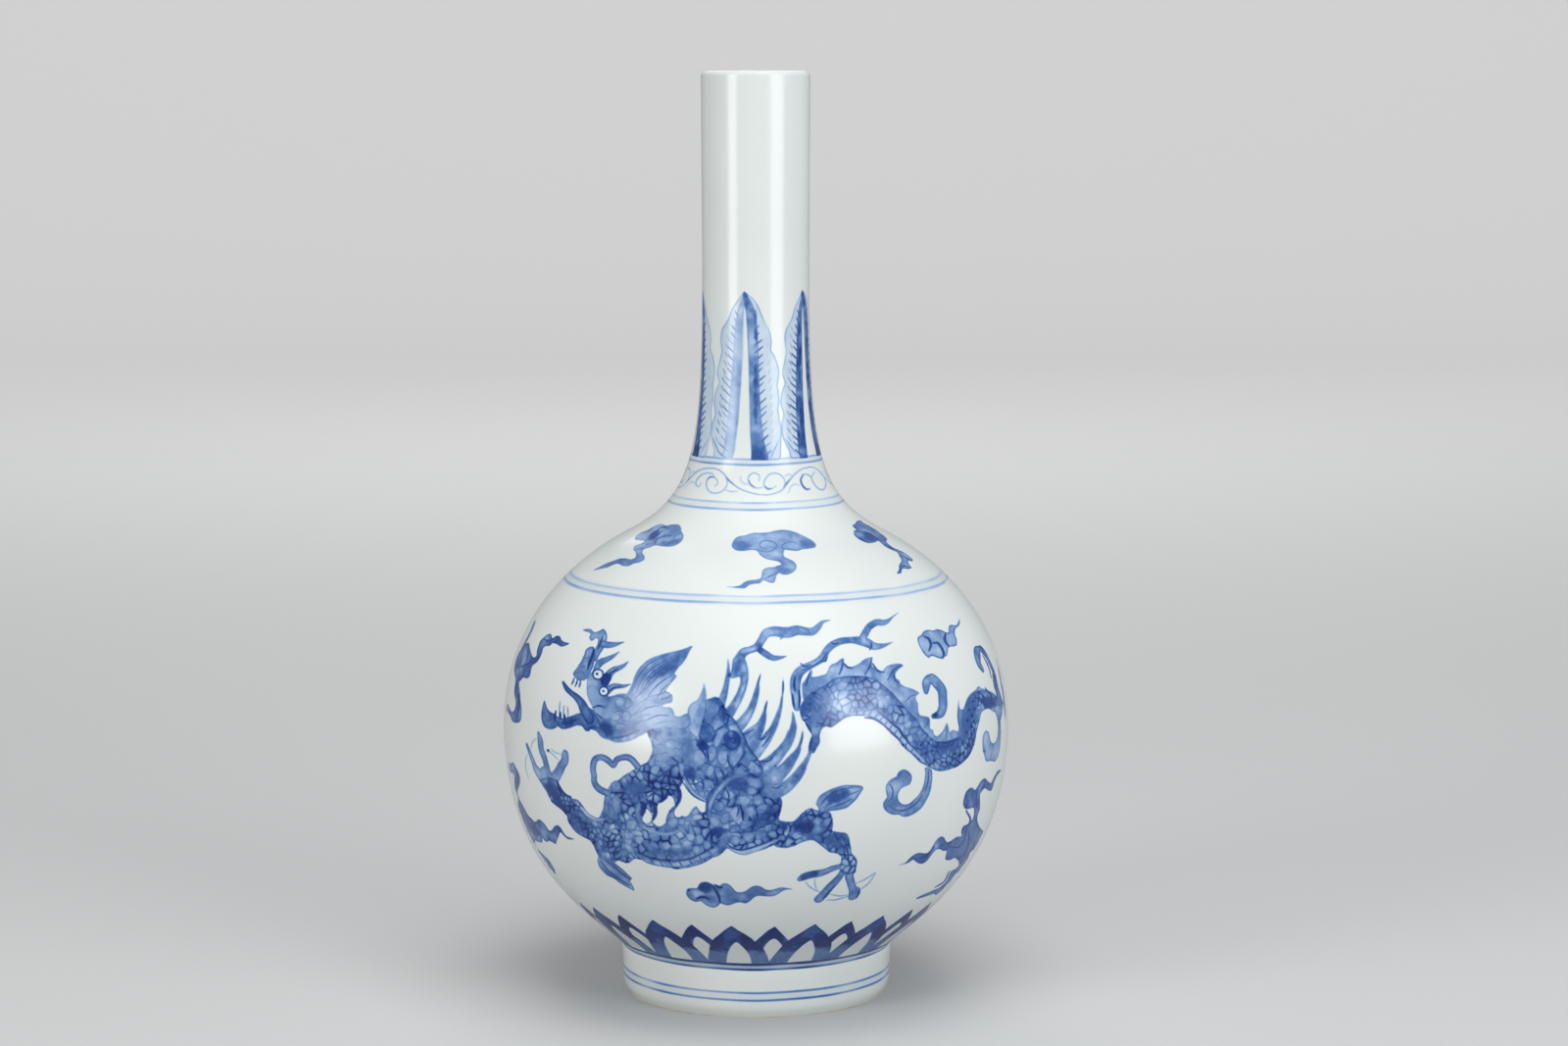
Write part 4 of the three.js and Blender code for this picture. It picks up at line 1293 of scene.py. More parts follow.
        p.fill(((722, 716), (727, 712), (733, 711), (738, 715), (742, 722), (746, 728), (752, 735),
                (757, 743), (762, 752), (766, 762), (772, 770), (778, 779), (780, 788), (774, 794),
                (764, 792), (754, 789), (744, 790), (735, 795), (726, 801), (718, 800), (712, 792),
                (713, 780), (717, 770), (718, 758), (715, 748), (717, 738),
                (720, 728)), Wash(body=0.5, pool=0.1, line=0.88, line_width=0.5, mottle=0.4),
               grain=Scaling(size=2.9, lines=0.36, dots=0.2, seed=41))
        self.coverts()
        p.fill(((703, 730), (704, 722), (708, 717), (713, 714), (716, 709), (719, 702), (720, 697),
                (722, 705), (722.5, 711), (721, 718), (720, 725), (719, 733), (717, 741), (714, 752),
                (708, 750), (703, 742)),
               Wash(body=0.32, pool=0.08, line=0.55, line_width=0.4, soft=0.3, mottle=0.4))
        p.patch(((719, 704), (721.5, 712), (719, 722), (716, 733), (714, 742), (712, 738), (715, 724),
                 (718, 712)),
                0.5, 1.2)
        p.lines((((718, 712), (715, 722), (711, 732), (709, 742)),), 1.3, 0.5)

    def coverts(self) -> None:
        """The small feathers over the wing's root."""
        p = self.painter
        self.scales((
            (0.44, ((728, 741), (733, 733), (737, 726), (741, 731), (740, 740), (735, 744), (731, 748))),
            (0.6, ((722, 714), (728, 713), (734, 713.5), (737, 719), (735, 726), (731, 733), (727, 739),
                   (721, 739), (719.5, 731), (720.5, 722))),
            (0.64, ((718, 738), (724, 738), (729, 741), (731, 748), (729, 755), (724, 758), (718, 757),
                    (714.5, 751), (716, 744))),
            (0.42, ((732, 746), (739, 741), (743, 744), (740, 752), (736, 760), (731, 763), (729, 757),
            (731, 750))),
            (0.48, ((760, 758), (766, 764), (770, 772), (766, 779), (760, 781), (757, 777), (761, 769))),
            (0.5, ((768, 775), (775, 780), (779, 788), (772, 791), (765, 788), (763, 782))),
            (0.45, ((756, 782), (762, 784), (764, 790), (757, 792), (750, 789), (752, 785))),
            (0.48, ((722, 764), (727, 760), (732, 763), (733, 770), (730, 777), (725, 778), (722, 771))),
            (0.42, ((709, 766), (714, 763.5), (720, 766), (722.5, 772), (721, 779), (716, 784), (710, 781),
                    (707.5, 774))),
            (0.42, ((735, 766), (741, 764), (747, 767), (745, 774), (742, 780), (737, 781), (733, 775))),
            (0.38, ((747, 766), (753, 765), (758, 759), (760, 765), (759, 772), (755, 779), (751, 784),
                    (747, 778), (745, 771))),
            (0.52, ((731, 782), (737, 782), (741, 787), (739, 793), (733, 796), (730, 790))),
            (0.4, ((724, 781), (729, 779.5), (731, 785), (729, 791), (724, 793), (720, 788))),
            (0.44, ((711, 786), (717, 785), (721, 789), (720, 795), (715, 799), (711, 794))),
            (0.4, ((720, 796), (726, 795), (730, 799), (727, 804), (721, 805), (717, 801))),
            (0.44, ((713, 800), (717, 802), (719, 808), (714, 808), (710, 803))),
            (0.46, ((720, 806), (726, 806), (724, 812), (719, 813)))))
        p.fill(((744, 746), (750, 745), (756, 749.5), (757.5, 757), (753, 763.5), (747, 765), (742, 761),
                (740.5, 753)),
               Wash(body=0.66, pool=0.12, line=0.92, line_width=0.5, mottle=0.3, mottle_size=2.5))
        p.patch(((742, 752), (746, 752), (747, 758), (743, 759)), 0.9, 0.8)
        p.patch(((751, 747), (756, 751), (757, 757), (753, 760), (751, 753)), 0.86, 0.9)
        p.lines((((746, 757), (747.5, 753.5), (751, 753.5), (751.5, 757), (748.5, 758.5)),
                 ((731, 746), (736, 743), (742, 739), (746, 735.5)), ((728, 757), (731, 751), (733, 746)),
                 ((715, 763), (719, 767), (722, 773)), ((748, 785), (754, 779), (759, 772), (763, 766)),
                 ((736, 785), (739, 789), (742, 795)), ((730, 788), (733, 795), (730, 803)),
                 ((744, 770), (745, 778), (749, 785)), ((722, 764), (724, 771), (723, 779)),
                 ((716, 793), (719, 799), (719, 806)), ((760, 787), (764, 786), (767, 785)),
                 ((739, 722), (742, 728), (740, 736))), 2.0, 0.95)
        p.patch(((713, 757), (719, 757), (723.5, 764.5), (718, 765), (712.5, 761)), 0.97, 0.8)
        p.patch(((738, 722), (742, 724), (743, 731), (740, 737), (736.5, 733)), 0.86, 0.9)
        p.patch(((700, 757), (706, 755), (710, 762), (707, 774), (702, 783), (697, 776)), 0.62, 1.6)

    def mane(self) -> None:
        """The swept mane with its lobes over the neck."""
        p = self.painter
        p.fill(((640, 709), (644, 703), (647, 696), (649, 690), (652, 684), (656, 679), (661, 674.5),
                (667, 671), (674, 668.5), (681, 666.5), (690, 664.5), (698, 662.5), (708, 659),
                (705, 665), (702, 671), (698, 677), (694, 681), (690, 687), (692, 690), (688, 695),
                (684, 700), (681, 705), (684, 706), (687, 709), (688, 713), (686, 717), (681, 718),
                (677, 720.5), (681, 721.5), (686, 722), (689, 726), (690, 730), (695, 731), (704, 728),
                (706, 738), (700, 744), (688, 744), (676, 742), (666, 744), (656, 750), (645, 752),
                (636, 748), (630, 738), (630, 724), (634, 715)),
               Wash(body=0.4, pool=0.08, line=0.62, line_width=0.4, soft=0.3, mottle=0.45, mottle_size=4))
        p.patch(((662, 694), (668, 686), (677, 680), (687, 673), (699, 665), (702, 667), (697, 674),
                 (690, 683), (681, 689), (671, 694), (664, 700)), 0.7, 1.6)
        p.patch(((651, 700), (654, 691), (660, 683), (667, 678), (672, 677), (664, 685), (658, 694),
                 (654, 702)),
                0.58, 1.4)
        p.patch(((664, 700), (674, 694), (683, 692), (680, 702), (672, 708), (664, 708)), 0.3, 2.4)
        p.patch(((656, 724), (668, 720), (686, 724), (694, 735), (682, 742), (664, 742)), 0.3, 2.6)
        p.lines((((646, 705), (650, 696), (655, 687), (662, 679), (671, 673), (680, 669)),
                 ((650, 708), (655, 697), (661, 688), (669, 681), (680, 674), (692, 667)),
                 ((655, 708), (660, 699), (666, 691), (675, 684), (686, 677)),
                 ((660, 704), (666, 697), (674, 690), (684, 684), (693, 677)),
                 ((662, 712), (668, 703), (676, 696), (685, 690)), ((672, 712), (677, 704), (683, 698)),
                 ((649, 713), (656, 706), (663, 700)), ((652, 728), (662, 722), (674, 720)),
                 ((660, 735), (672, 730), (684, 730)), ((676, 714), (681, 712), (685, 711)),
                 ((655, 703), (660, 694), (667, 686), (677, 679), (689, 671))), 1.5, 0.76)
        p.lines((((644, 706), (648, 698), (652, 690), (657, 682)), ((663, 686), (672, 679), (683, 672)),
                 ((668, 706), (674, 698), (682, 691)), ((656, 716), (664, 711), (672, 709)),
                 ((648, 735), (658, 730), (668, 728)), ((664, 741), (676, 737), (690, 736)),
                 ((646, 743), (655, 739), (664, 733)), ((643, 737), (650, 733), (657, 726)),
                 ((650, 720), (658, 715), (666, 713)), ((644, 748), (652, 746), (660, 742))), 1.1, 0.62)
        p.lines((((681, 705), (676, 708), (671, 709)), ((687, 709), (682, 712), (676, 713))), 1.6, 0.76)

    def head(self) -> None:
        """The open-jawed head with its flames, eyes and tongue."""
        p = self.painter
        p.fill(((596, 643), (600, 641.5), (604, 642), (608, 645), (613, 643.5), (617, 641.5), (620, 645),
                (621, 650), (619.5, 656), (618, 660), (615, 665), (612, 670), (610, 675), (606, 672),
                (606.5, 665), (609, 661), (611, 657), (611.5, 652), (609, 651), (607, 653), (604, 653.5),
                (602.5, 650), (603.5, 646)), FLESH)
        p.sweep((((616, 657, 7), (623, 658, 6.5), (629, 657.5, 4.5), (638, 655, 0.8)),), FLESH)
        p.sweep((((610, 681, 6), (614, 676, 7), (620, 673, 5.5), (626, 670, 4), (633.5, 665, 0.8)),), FLESH)
        p.fill(((611, 694), (617, 690), (621, 686), (625, 689), (622, 699), (616, 702)),
               Wash(body=0.82, pool=0.0, line=0.9))
        p.sweep((((616, 696, 9), (622, 689, 8), (627, 684, 6.5), (633, 681.5, 5), (638, 679, 3.5),
                  (642.5, 675, 0.8)),), FLESH)
        p.sweep((((619, 707, 7), (626, 701, 6.5), (632, 700, 5), (638, 700, 3.5), (645, 698, 0.8)),), FLESH)
        p.fill(((612, 693), (616, 689), (620, 686.5), (625, 688.5), (625, 693), (622, 697), (619, 701),
                (615, 699)),
               Wash(body=0.96, pool=0.0, line=0.98, soft=0.3, mottle=0.1))
        p.lines((((611, 663), (614, 656), (616, 649)), ((617, 693), (624, 687), (632, 682)),
                 ((620, 707), (627, 702), (635, 700))), 2.2, 0.86)
        p.fill(((607, 727), (605, 720), (601.5, 713), (600, 706), (600, 697), (601, 690), (606, 684),
                (609, 676), (611, 672), (613, 680), (612, 688), (614, 695), (617, 701), (620, 707),
                (624, 711), (632, 708), (640, 708), (646, 712), (648, 722), (650, 735), (654, 749),
                (646, 755), (638, 757), (630, 757.5), (623, 755), (615, 752), (610, 746), (606, 738)),
               Wash(body=0.46, pool=0.04, line=0.6, line_width=0.4, soft=0.3, mottle=0.4, mottle_size=4))
        p.patch(((606, 700), (612, 704), (614, 712), (612, 722), (606, 722), (603, 712)), 0.4, 1.6)
        p.patch(((640, 704), (648, 708), (653, 718), (656, 732), (659, 746), (650, 752), (644, 744),
                 (641, 730), (640, 716)), 0.44, 1.5)
        p.fill(((607, 660), (603, 660), (599, 663), (597, 669), (594, 675), (590, 681), (586, 687),
                (588, 691), (592, 694), (597, 694), (600, 692), (603, 687), (606, 681), (608, 673),
                (608.5, 665)),
               Wash(body=0.38, pool=0.2, line=0.86, line_width=0.5, mottle=0.35))
        p.lines((((607, 663), (606, 668), (604, 673), (602, 679), (600, 687)),), 3.2, 0.94)
        p.patch(((588, 684), (592, 679), (599, 680), (602, 686), (599, 692), (592, 694),
                 (588, 690)), 0.52, 1.0)
        p.lines((((592, 678), (596, 680.5), (600, 678)), ((596, 670), (600, 671.5), (604, 669)),
                 ((588, 688), (592, 685), (597, 687), (600, 691))), 1.4, 0.7)
        p.lines((((587, 692), (586, 695), (584.5, 698)), ((590.5, 693), (589.5, 697), (588, 700)),
                 ((593.5, 693.5), (593, 698), (592, 701))), 1.8, 0.85)
        p.fill(((556, 715), (554, 722), (553, 730), (554, 737), (557, 742), (562, 744), (567, 743),
                (570, 741), (574, 743.5), (579, 743.5), (584, 742), (590, 740), (595, 741), (598, 745),
                (602, 746), (604, 744), (608, 745), (613, 747), (614, 738), (610, 730), (606, 724),
                (600, 722), (594, 727), (590, 728), (585, 730), (580, 731.5), (576, 733), (570, 731),
                (566, 728), (562, 726), (559, 722),
                (557, 716)), Wash(body=0.5, pool=0.15, line=0.86, line_width=0.5, mottle=0.35))
        p.patch(((570, 738), (580, 740), (589, 737), (592, 732), (580, 735), (571, 735)), 0.92, 1.0)
        p.patch(((612, 738), (620, 735), (628, 740), (626, 749), (616, 749)), 0.93, 1.5)
        p.lines((((568, 726), (567, 731), (567, 736)), ((572.5, 727), (572.5, 730), (573, 733)),
                 ((576.5, 729), (577, 732), (577, 735))), 2.6, 1.0)
        p.lines((((572.5, 716), (572, 721), (571.5, 727)), ((576.5, 720), (576, 725), (576, 730)),
                 ((580, 721), (580.5, 726), (580.5, 731))), 1.4, 0.5)
        p.sweep((((575.5, 696, 2.6), (579, 702, 5), (584, 707, 5.6), (589, 711, 6.6), (594, 717, 8.4),
                  (598, 725, 10.5), (603, 733, 11)),), Wash(body=0.62, pool=0.1, line=0.88, mottle=0.3))
        p.lines((((599, 745), (606, 741), (614, 744)), ((610, 728), (616, 733), (624, 733)),
                 ((606, 722), (612, 720), (620, 722)), ((624, 753), (634, 752), (644, 749),
                  (654, 744))), 2.2, 0.88)
        self.scales((
            (0.38, ((630, 713), (635, 711), (639, 716), (637, 722), (631, 721), (628, 717))),
            (0.42, ((640, 712), (644, 713), (646, 719), (642, 724), (638, 721))),
            (0.34, ((625, 729), (631, 727), (635, 731), (632, 736), (626, 735))),
            (0.44, ((637, 726), (643, 725), (646, 731), (642, 737), (636, 734))),
            (0.42, ((630, 738), (637, 737), (640, 742), (636, 746), (629, 744)))))
        p.patch(((616, 727), (626, 724), (632, 728), (628, 733), (618, 733)), 0.36, 1.8)
        p.patch(((634, 744), (642, 741), (650, 738), (652, 744), (644, 749), (634, 750)), 0.66, 1.4)
        p.lines((((621, 712), (629, 710), (637, 711), (642, 714)), ((629, 722), (635, 724), (641, 723),
                  (647, 719)),
                 ((634, 737), (640, 739), (647, 736)), ((628, 727), (633, 725), (638, 727)),
                 ((641, 710), (645, 714), (648, 719)), ((646, 730), (651, 727), (656, 721)),
                 ((645, 741), (651, 738), (658, 734))), 1.5, 0.74)
        p.dab(((611.5, 688, 6), (617.5, 705, 5.4)), 0.95, 0.2)
        p.dab(((611.5, 688, 4.6), (617.5, 705, 4.1)), 0.02, 0.2)
        p.dab(((610.5, 687.5, 1.3), (617, 705, 1.4)), 0.95, 0.15)

    def whisker(self) -> None:
        """The looped whisker that hangs before the chest."""
        p = self.painter
        p.sweep((((652, 782, 6.5), (646, 775, 6.5), (641, 772.5, 6.5), (635, 773, 6), (630, 775.5, 6),
                  (627, 781, 5), (623, 777, 6), (618, 773.5, 6.5), (613, 772.5, 6.5), (608.5, 774.5, 6.5),
                  (606.5, 779.5, 6.5), (606, 785, 6), (607, 791, 6), (607, 797, 6), (609.5, 802, 6.5),
                  (614, 806, 7), (621, 809, 7)),), Wash(body=0.42, pool=0.12, line=0.86, line_width=0.45))


class ShoulderClouds(PaintedBand):
    """Six mushroom-headed clouds with wavy tails, round the shoulder."""

    count = 6
    rear_rise = 0.012  # how much higher up the chart, in radians, the turned cloud behind lies

    def paint(self) -> None:
        """Paints the three clouds in front as they are traced, and stamps the three behind."""
        self.painter.stamp(0)
        self.left_cloud()
        self.right_cloud()
        self.cloud()
        step = TURN / self.count
        self.painter.stamp(2 * step, mirrored=True, rise=self.rear_rise)
        self.cloud()
        self.painter.stamp(3 * step)
        self.cloud()
        self.painter.stamp(5 * step)
        self.left_cloud()

    def left_cloud(self) -> None:
        """The cloud to the left, folded like a fist, with its tail drawn out."""
        p = self.painter
        wash = Wash(body=0.44, pool=0.1, line=0.62, line_width=0.36, mottle=0.4, mottle_size=4)
        p.fill(((648.5, 550.5), (650, 546.5), (655, 543), (662, 540.5), (668, 537), (675, 534.5),
                (681, 536), (687, 535), (693, 535), (696, 538), (696.5, 542), (698.5, 545.5), (698, 550),
                (694, 554.5), (687, 557.5), (678, 557.5), (670, 556.5), (664, 558.5), (658, 560.5),
                (656.5, 564), (659, 567.5), (658.5, 571), (654, 573.5), (648, 575), (642, 577.5),
                (636, 577), (632, 575), (626, 576.5), (620, 579), (613, 580.5), (606, 582), (613, 578),
                (620, 574.5), (627, 572), (633, 570), (639, 569.5), (645, 570.5), (649.5, 568.5),
                (650, 564), (647.5, 560.5), (649, 557), (655, 554.5), (659, 552), (654, 551)), wash)
        p.patch(((663, 546), (668, 542), (672, 541), (673, 545), (670, 549), (664, 550)), 0.86, 0.9)
        p.patch(((686, 538), (692, 538), (694, 545), (688, 549), (683, 544)), 0.52, 1.4)
        p.patch(((676, 553), (688, 551), (694, 551), (688, 556), (678, 556.5)), 0.62, 0.8)
        p.lines((((669, 556), (671, 551), (677, 547.5), (686, 546.5)), ((672, 540), (677, 538), (684, 539)),
                 ((662, 552), (667, 549.5), (673, 545.5), (677, 541))), 1.8, 0.78)
        p.lines((((650, 563), (654, 568)), ((634, 573), (641, 573.5), (649, 571))), 1.6, 0.6)

    def right_cloud(self) -> None:
        """The cloud to the right, nearly edge-on in the photograph."""
        p = self.painter
        wash = Wash(body=0.54, pool=0.12, line=0.8, line_width=0.38, mottle=0.4, mottle_size=4)
        p.fill(((871, 535.5), (873.5, 534.5), (875.5, 531), (879.5, 530.8), (881.5, 533.5), (887, 536),
                (893, 539.5), (899, 543.5), (904, 547.5), (906.5, 550.5), (904.5, 552), (908, 555.5),
                (913, 559), (918, 561), (923, 563.5), (928, 567), (932.5, 571), (932, 573),
                (927.5, 571.5), (928, 575), (931, 579), (927.5, 580.5), (922, 580), (920.5, 584.5),
                (916.5, 585), (918.5, 581), (918.5, 576.5), (921, 572), (919, 568), (916.5, 563.5),
                (911, 561), (905, 558), (900, 554), (897, 551.5), (893, 553.5), (887, 554), (881, 552),
                (876, 549), (872.5, 545.5), (872.5, 542), (875, 540.5), (872.5, 538.5)), wash)
        p.patch(((881, 542), (888, 543), (894, 547), (898, 551), (891, 552), (884, 548)), 0.84, 1.0)
        p.lines((((874, 534.5), (881, 537), (889, 541.5), (897, 547.5), (903, 553)),
                 ((873, 541.5), (880, 543), (886, 547), (891, 552.5)),
                 ((921, 566), (926, 569), (931, 572.5)), ((919, 578), (924, 577), (928, 579))), 1.7, 0.8)

    def cloud(self) -> None:
        """One cloud, as the middle one is traced."""
        p = self.painter
        wash = Wash(body=0.37, pool=0.12, line=0.54, line_width=0.36, mottle=0.28, mottle_size=4)
        p.fill(((748.5, 558), (749, 553), (752, 549), (756, 547), (762, 546), (768, 544), (773, 543.5),
                (779, 543.5), (786, 543), (792, 541.5), (799, 540.5), (806, 541), (813, 543), (820, 546),
                (826, 549), (831, 552), (834, 555.5), (833, 558.5), (828, 559.5), (820, 560.5), (815, 562),
                (808, 561.5), (803, 560.5), (801, 564), (802, 568), (806, 570), (811, 572.5), (814, 576),
                (814, 580), (811, 583.5), (806, 586), (800, 586), (797, 584.5), (794, 587), (793, 591),
                (791, 594.5), (786, 594), (781, 592), (777, 595), (772, 595.5), (766, 597), (762, 600),
                (757, 600), (750, 599.5), (743, 598.5), (750, 598.5), (757, 597), (761, 594), (766, 592),
                (772, 591.5), (778, 589.5), (779, 585), (780, 581.5), (785, 579), (791, 578.5),
                (796, 577.5), (799, 576.5), (797, 573.5), (792, 572), (786, 571), (781, 569), (777, 566),
                (774, 562), (768, 561), (760, 562), (753, 561.5)), wash)
        p.patch(((751, 554), (757, 552), (764, 553), (767, 557), (760, 560), (753, 559)), 0.6, 1.2)
        p.patch(((821, 551), (828, 552), (832, 556), (826, 558), (820, 556)), 0.58, 1.1)
        p.patch(((796, 578), (806, 580), (809, 584), (800, 585), (794, 582)), 0.55, 1.1)
        p.lines((((784, 559.5), (780, 559), (777, 557), (777.5, 553.5), (782, 551.5), (788, 552),
                  (793, 554.5), (794, 558), (790, 561.5), (784, 563), (778, 562.5)),
                 ((815, 555), (811, 552.8), (806, 553), (801, 555), (799, 557.8), (802, 559.8),
                  (808, 561))), 1.7, 0.58)
        p.lines((((794, 578), (799, 576.5)), ((783, 590), (789, 587), (796, 584)), ((760, 596),
                  (768, 594))), 1.8, 0.62)


class ScrollBand(PaintedBand):
    """A thin waving stem with curled tendrils, round the root of the neck."""

    count = 4

    def paint(self) -> None:
        """Draws the stem wave by wave; the curls in its second crest are traced on their own."""
        for place in range(self.count):
            self.painter.stamp(place * TURN / self.count)
            self.stem()
            self.trough_curls()
            if place != 1:
                self.crest_curls()
        self.painter.stamp(0)
        self.second_crest_curls()

    def stem(self) -> None:
        """One wave of the stem, drawn in two halves."""
        self.painter.lines((((725, 477.8), (730, 478), (735, 479.5), (740, 483.5), (744, 488.5), (749, 493.5),
                             (756, 498.5), (765, 502), (774, 504.2), (780, 504.8)),
                            ((777, 504.6), (785, 504.8), (793, 503), (799, 500), (803, 495.5), (807, 490),
                             (812, 484), (817, 480), (822, 477.6), (828, 476.3), (831, 476.6))), 1.5, 0.36)

    def crest_curls(self) -> None:
        """The curls under a crest of the stem."""
        p = self.painter
        p.lines((((740, 483.5), (743, 489), (743, 495), (739, 500.5), (733, 503), (727, 502.5),
                  (723, 498.5), (722, 493), (723.5, 488.5), (727, 486.5), (731, 487.5), (733.5, 491),
                  (733, 494.5), (730.5, 496)),
                 ((730, 487), (729, 484), (725, 482.5), (719, 483.5), (714, 487), (711.5, 491),
                  (711.5, 495), (714.5, 496.5), (716.5, 493))), 1.4, 0.34)
        p.lines((((724, 478), (717, 479), (711, 481.5), (707, 485.5)), ((741, 499.5), (747, 501.5),
                  (754, 501))), 1.6, 0.24)
        p.lines((((723.5, 489), (726, 486.5), (730, 486.8)), ((742, 487), (746, 491),
                  (750, 494))), 1.7, 0.56)

    def trough_curls(self) -> None:
        """The curls over a trough of the stem."""
        p = self.painter
        p.lines((((775.5, 491), (776.5, 486), (773, 483), (768.5, 483), (765, 487), (765.5, 492),
                  (769, 496.5), (774, 498), (780, 497)),
                 ((800, 500), (802, 495), (802, 490), (799, 485.5), (794, 483), (788, 483.3), (783.5, 487),
                  (781, 492), (782, 497), (785.5, 499), (790, 498), (793.5, 495.5))), 1.4, 0.34)
        p.lines((((757, 486), (757.5, 490), (761, 493.5), (766, 494)), ((802, 486), (806, 484), (811, 486)),
                 ((806, 503), (808, 497), (812, 494), (817, 495))), 1.6, 0.22)
        p.lines((((765.5, 490), (767.5, 494.5), (772, 497.5)), ((782, 496), (785, 498.8), (789, 498.3)),
                 ((801, 497), (804, 493), (807, 489))), 1.7, 0.54)

    def second_crest_curls(self) -> None:
        """The bolder curls to the right in the photograph."""
        p = self.painter
        p.lines((((833, 481), (829.5, 485.5), (830, 490), (833, 495), (837, 499), (841, 499.5),
                  (843.5, 496), (843.5, 491), (841.5, 486), (838.5, 482), (835.5, 479.5)),
                 ((820, 484.5), (825, 484), (829, 487), (830, 490.5))), 1.4, 0.35)
        p.lines((((821, 484), (818.5, 489), (819.5, 494), (822.5, 498), (825, 499.3),
                  (827.5, 498.5)),), 2.1, 0.64)


class LeafBand(PaintedBand):
    """Five upright plantain leaves that climb the neck, each a little wetter or drier than the last.

    The tables of the streaks and the flecks pair rows of the photograph with what holds there.
    """

    count = 5
    # The first leaf's pale left wash, 0.36, is partly a painted highlight where the glaze's reflection lies
    # over it.
    left_tones = (0.36, 0.74, 0.5, 0.6, 0.5)  # how dark each leaf's wash is to the left of its midrib
    right_tones = (0.52, 0.72, 0.56, 0.46, 0.7)
    streak_rows = (318, 466, 7.6)  # the first row, the row where they end and the rows from one to the next
    streak_rise = ((320, 400, 460), (5.5, 8.5, 8.5))
    streak_reach = ((320, 350, 400, 460), (4, 7.5, 9.5, 10))
    streak_width, streak_drop, streak_most = 1.7, 5, 0.8
    right_roots = ((300, 345, 400, 467), (769, 771.5, 773, 778))
    left_roots = ((300, 345, 400, 467), (757, 753, 749, 743))
    fleck_rows = (336, 456, 8.6)
    fleck_strength = ((336, 390, 456), (0.3, 0.52, 0.48))
    left_flecks = ((330, 360, 400, 450), (746, 743, 738.5, 732.5))
    right_flecks = ((330, 360, 400, 450), (783, 785, 788.5, 790))

    def paint(self) -> None:
        """Paints the leaves one by one."""
        for place, (left_tone, right_tone) in enumerate(zip(self.left_tones, self.right_tones)):
            self.painter.stamp(place * TURN / self.count)
            self.leaf(left_tone, right_tone, place)

    def leaf(self, left_tone: float, right_tone: float, seed: int) -> None:
        """One leaf, as the middle one is traced.

        Args:
            left_tone: How dark the wash is to the left of the midrib.
            right_tone: How dark it is to the right.
            seed: Which of the leaf's strokes are longer or wetter.
        """
        p = self.painter
        shake = np.random.default_rng(seed + 2)
        outline = ((761.5, 297, True), (757, 303), (752, 310), (748, 317), (745, 325), (741.5, 331),
                   (738.5, 336), (737, 345), (737.5, 353), (738, 358), (736.5, 366), (734.5, 374),
                   (733.5, 382), (735, 390), (733, 396), (731, 403), (730, 411), (731, 419),
                   (730.5, 425), (728.5, 430), (727.5, 437), (727, 444), (728, 452), (729.5, 459),
                   (731, 467.5), (750, 469), (768, 470), (784, 469.5), (797, 468.5), (798.5, 456),
                   (799, 446), (799, 436), (797, 427), (796, 418), (797, 410), (796.5, 402),
                   (795.5, 393), (796.5, 386), (797, 378), (795, 370), (792, 362), (789, 357),
                   (789.5, 350), (789, 343), (787, 336), (783, 329), (780, 322), (777, 314), (773, 307),
                   (767, 301))
        p.fill(outline, Wash(body=0.11, pool=0.05, line=0.48, line_width=0.38, mottle=0.4, mottle_size=6))
        left = ((761.5, 299), (758.5, 306), (755, 316), (752, 332), (751, 346), (750, 362), (748.5, 378),
                (747, 394), (745.5, 410), (743.5, 428), (741.5, 446), (739, 468), (750, 469), (752, 452),
                (755, 430), (757, 405), (758.5, 380), (759.5, 350), (760.5, 325), (762, 306))
        right = ((761.5, 298), (766, 303), (770, 310), (773.5, 322), (775, 340), (776, 360), (776.5, 380),
                 (777, 400), (778, 420), (780, 440), (782.5, 456), (784.5, 469), (767, 469.5), (766.8, 440),
                 (766.3, 410), (766, 380), (765, 350), (763.5, 325), (761.5, 306))
        for side, tone in ((left, left_tone), (right, right_tone)):
            p.fill(side, Wash(body=tone * 0.82, pool=0.05, line=tone * 0.95, line_width=0.4, soft=0.3,
                              mottle=0.5, mottle_size=5))
        p.fill(((762.3, 314), (761.2, 345), (759.8, 372), (757.6, 400), (755, 430), (752, 455),
                (750.5, 471), (767, 471), (766.6, 440), (766, 410), (765.3, 380), (764.4, 350),
                (763.6, 330)), WHITE)
        self.cores(left_tone, right_tone, seed)
        self.streaks(left_tone, right_tone, shake)
        self.flecks(shake)
        p.lines((((729, 447), (732, 455), (737, 465)), ((796, 450), (792, 458), (788, 467))), 1.6, 0.42)

    def cores(self, left_tone: float, right_tone: float, seed: int) -> None:
        """Lets darker cobalt run down the middle of the streaks."""
        p = self.painter
        dark = min(right_tone + 0.24, 0.92)
        p.patch(((761, 298), (765, 302), (767, 309), (764, 314), (762, 312)), dark * 0.9, 0.8)
        runs = ((772, 318, 366), (774, 392, 452))
        if seed % 2 == 0:
            runs = ((773, 311, 330), (773, 336, 351), (772.5, 372, 431))
        for x, top, bottom in runs:
            p.patch(((x + 0.4, top), (x + 1.8, top + 7), (x + 1.9, bottom - 6), (x + 0.4, bottom),
                     (x - 1.2, bottom - 8), (x - 0.9, top + 8)), dark, 0.7)
        p.patch(((771, 459), (781, 456), (783, 469), (768, 469)), dark, 1.5)
        if left_tone > 0.45:
            dark = min(left_tone + 0.2, 0.92)
            for x, top, bottom in ((756, 320, 344), (754, 356, 392), (750, 404, 452)):
                p.patch(((x + 1.2, top), (x + 1.6, top + 8), (x + 0.4, bottom - 6), (x - 1, bottom),
                         (x - 1.6, bottom - 8), (x - 0.4, top + 8)), dark, 0.8)

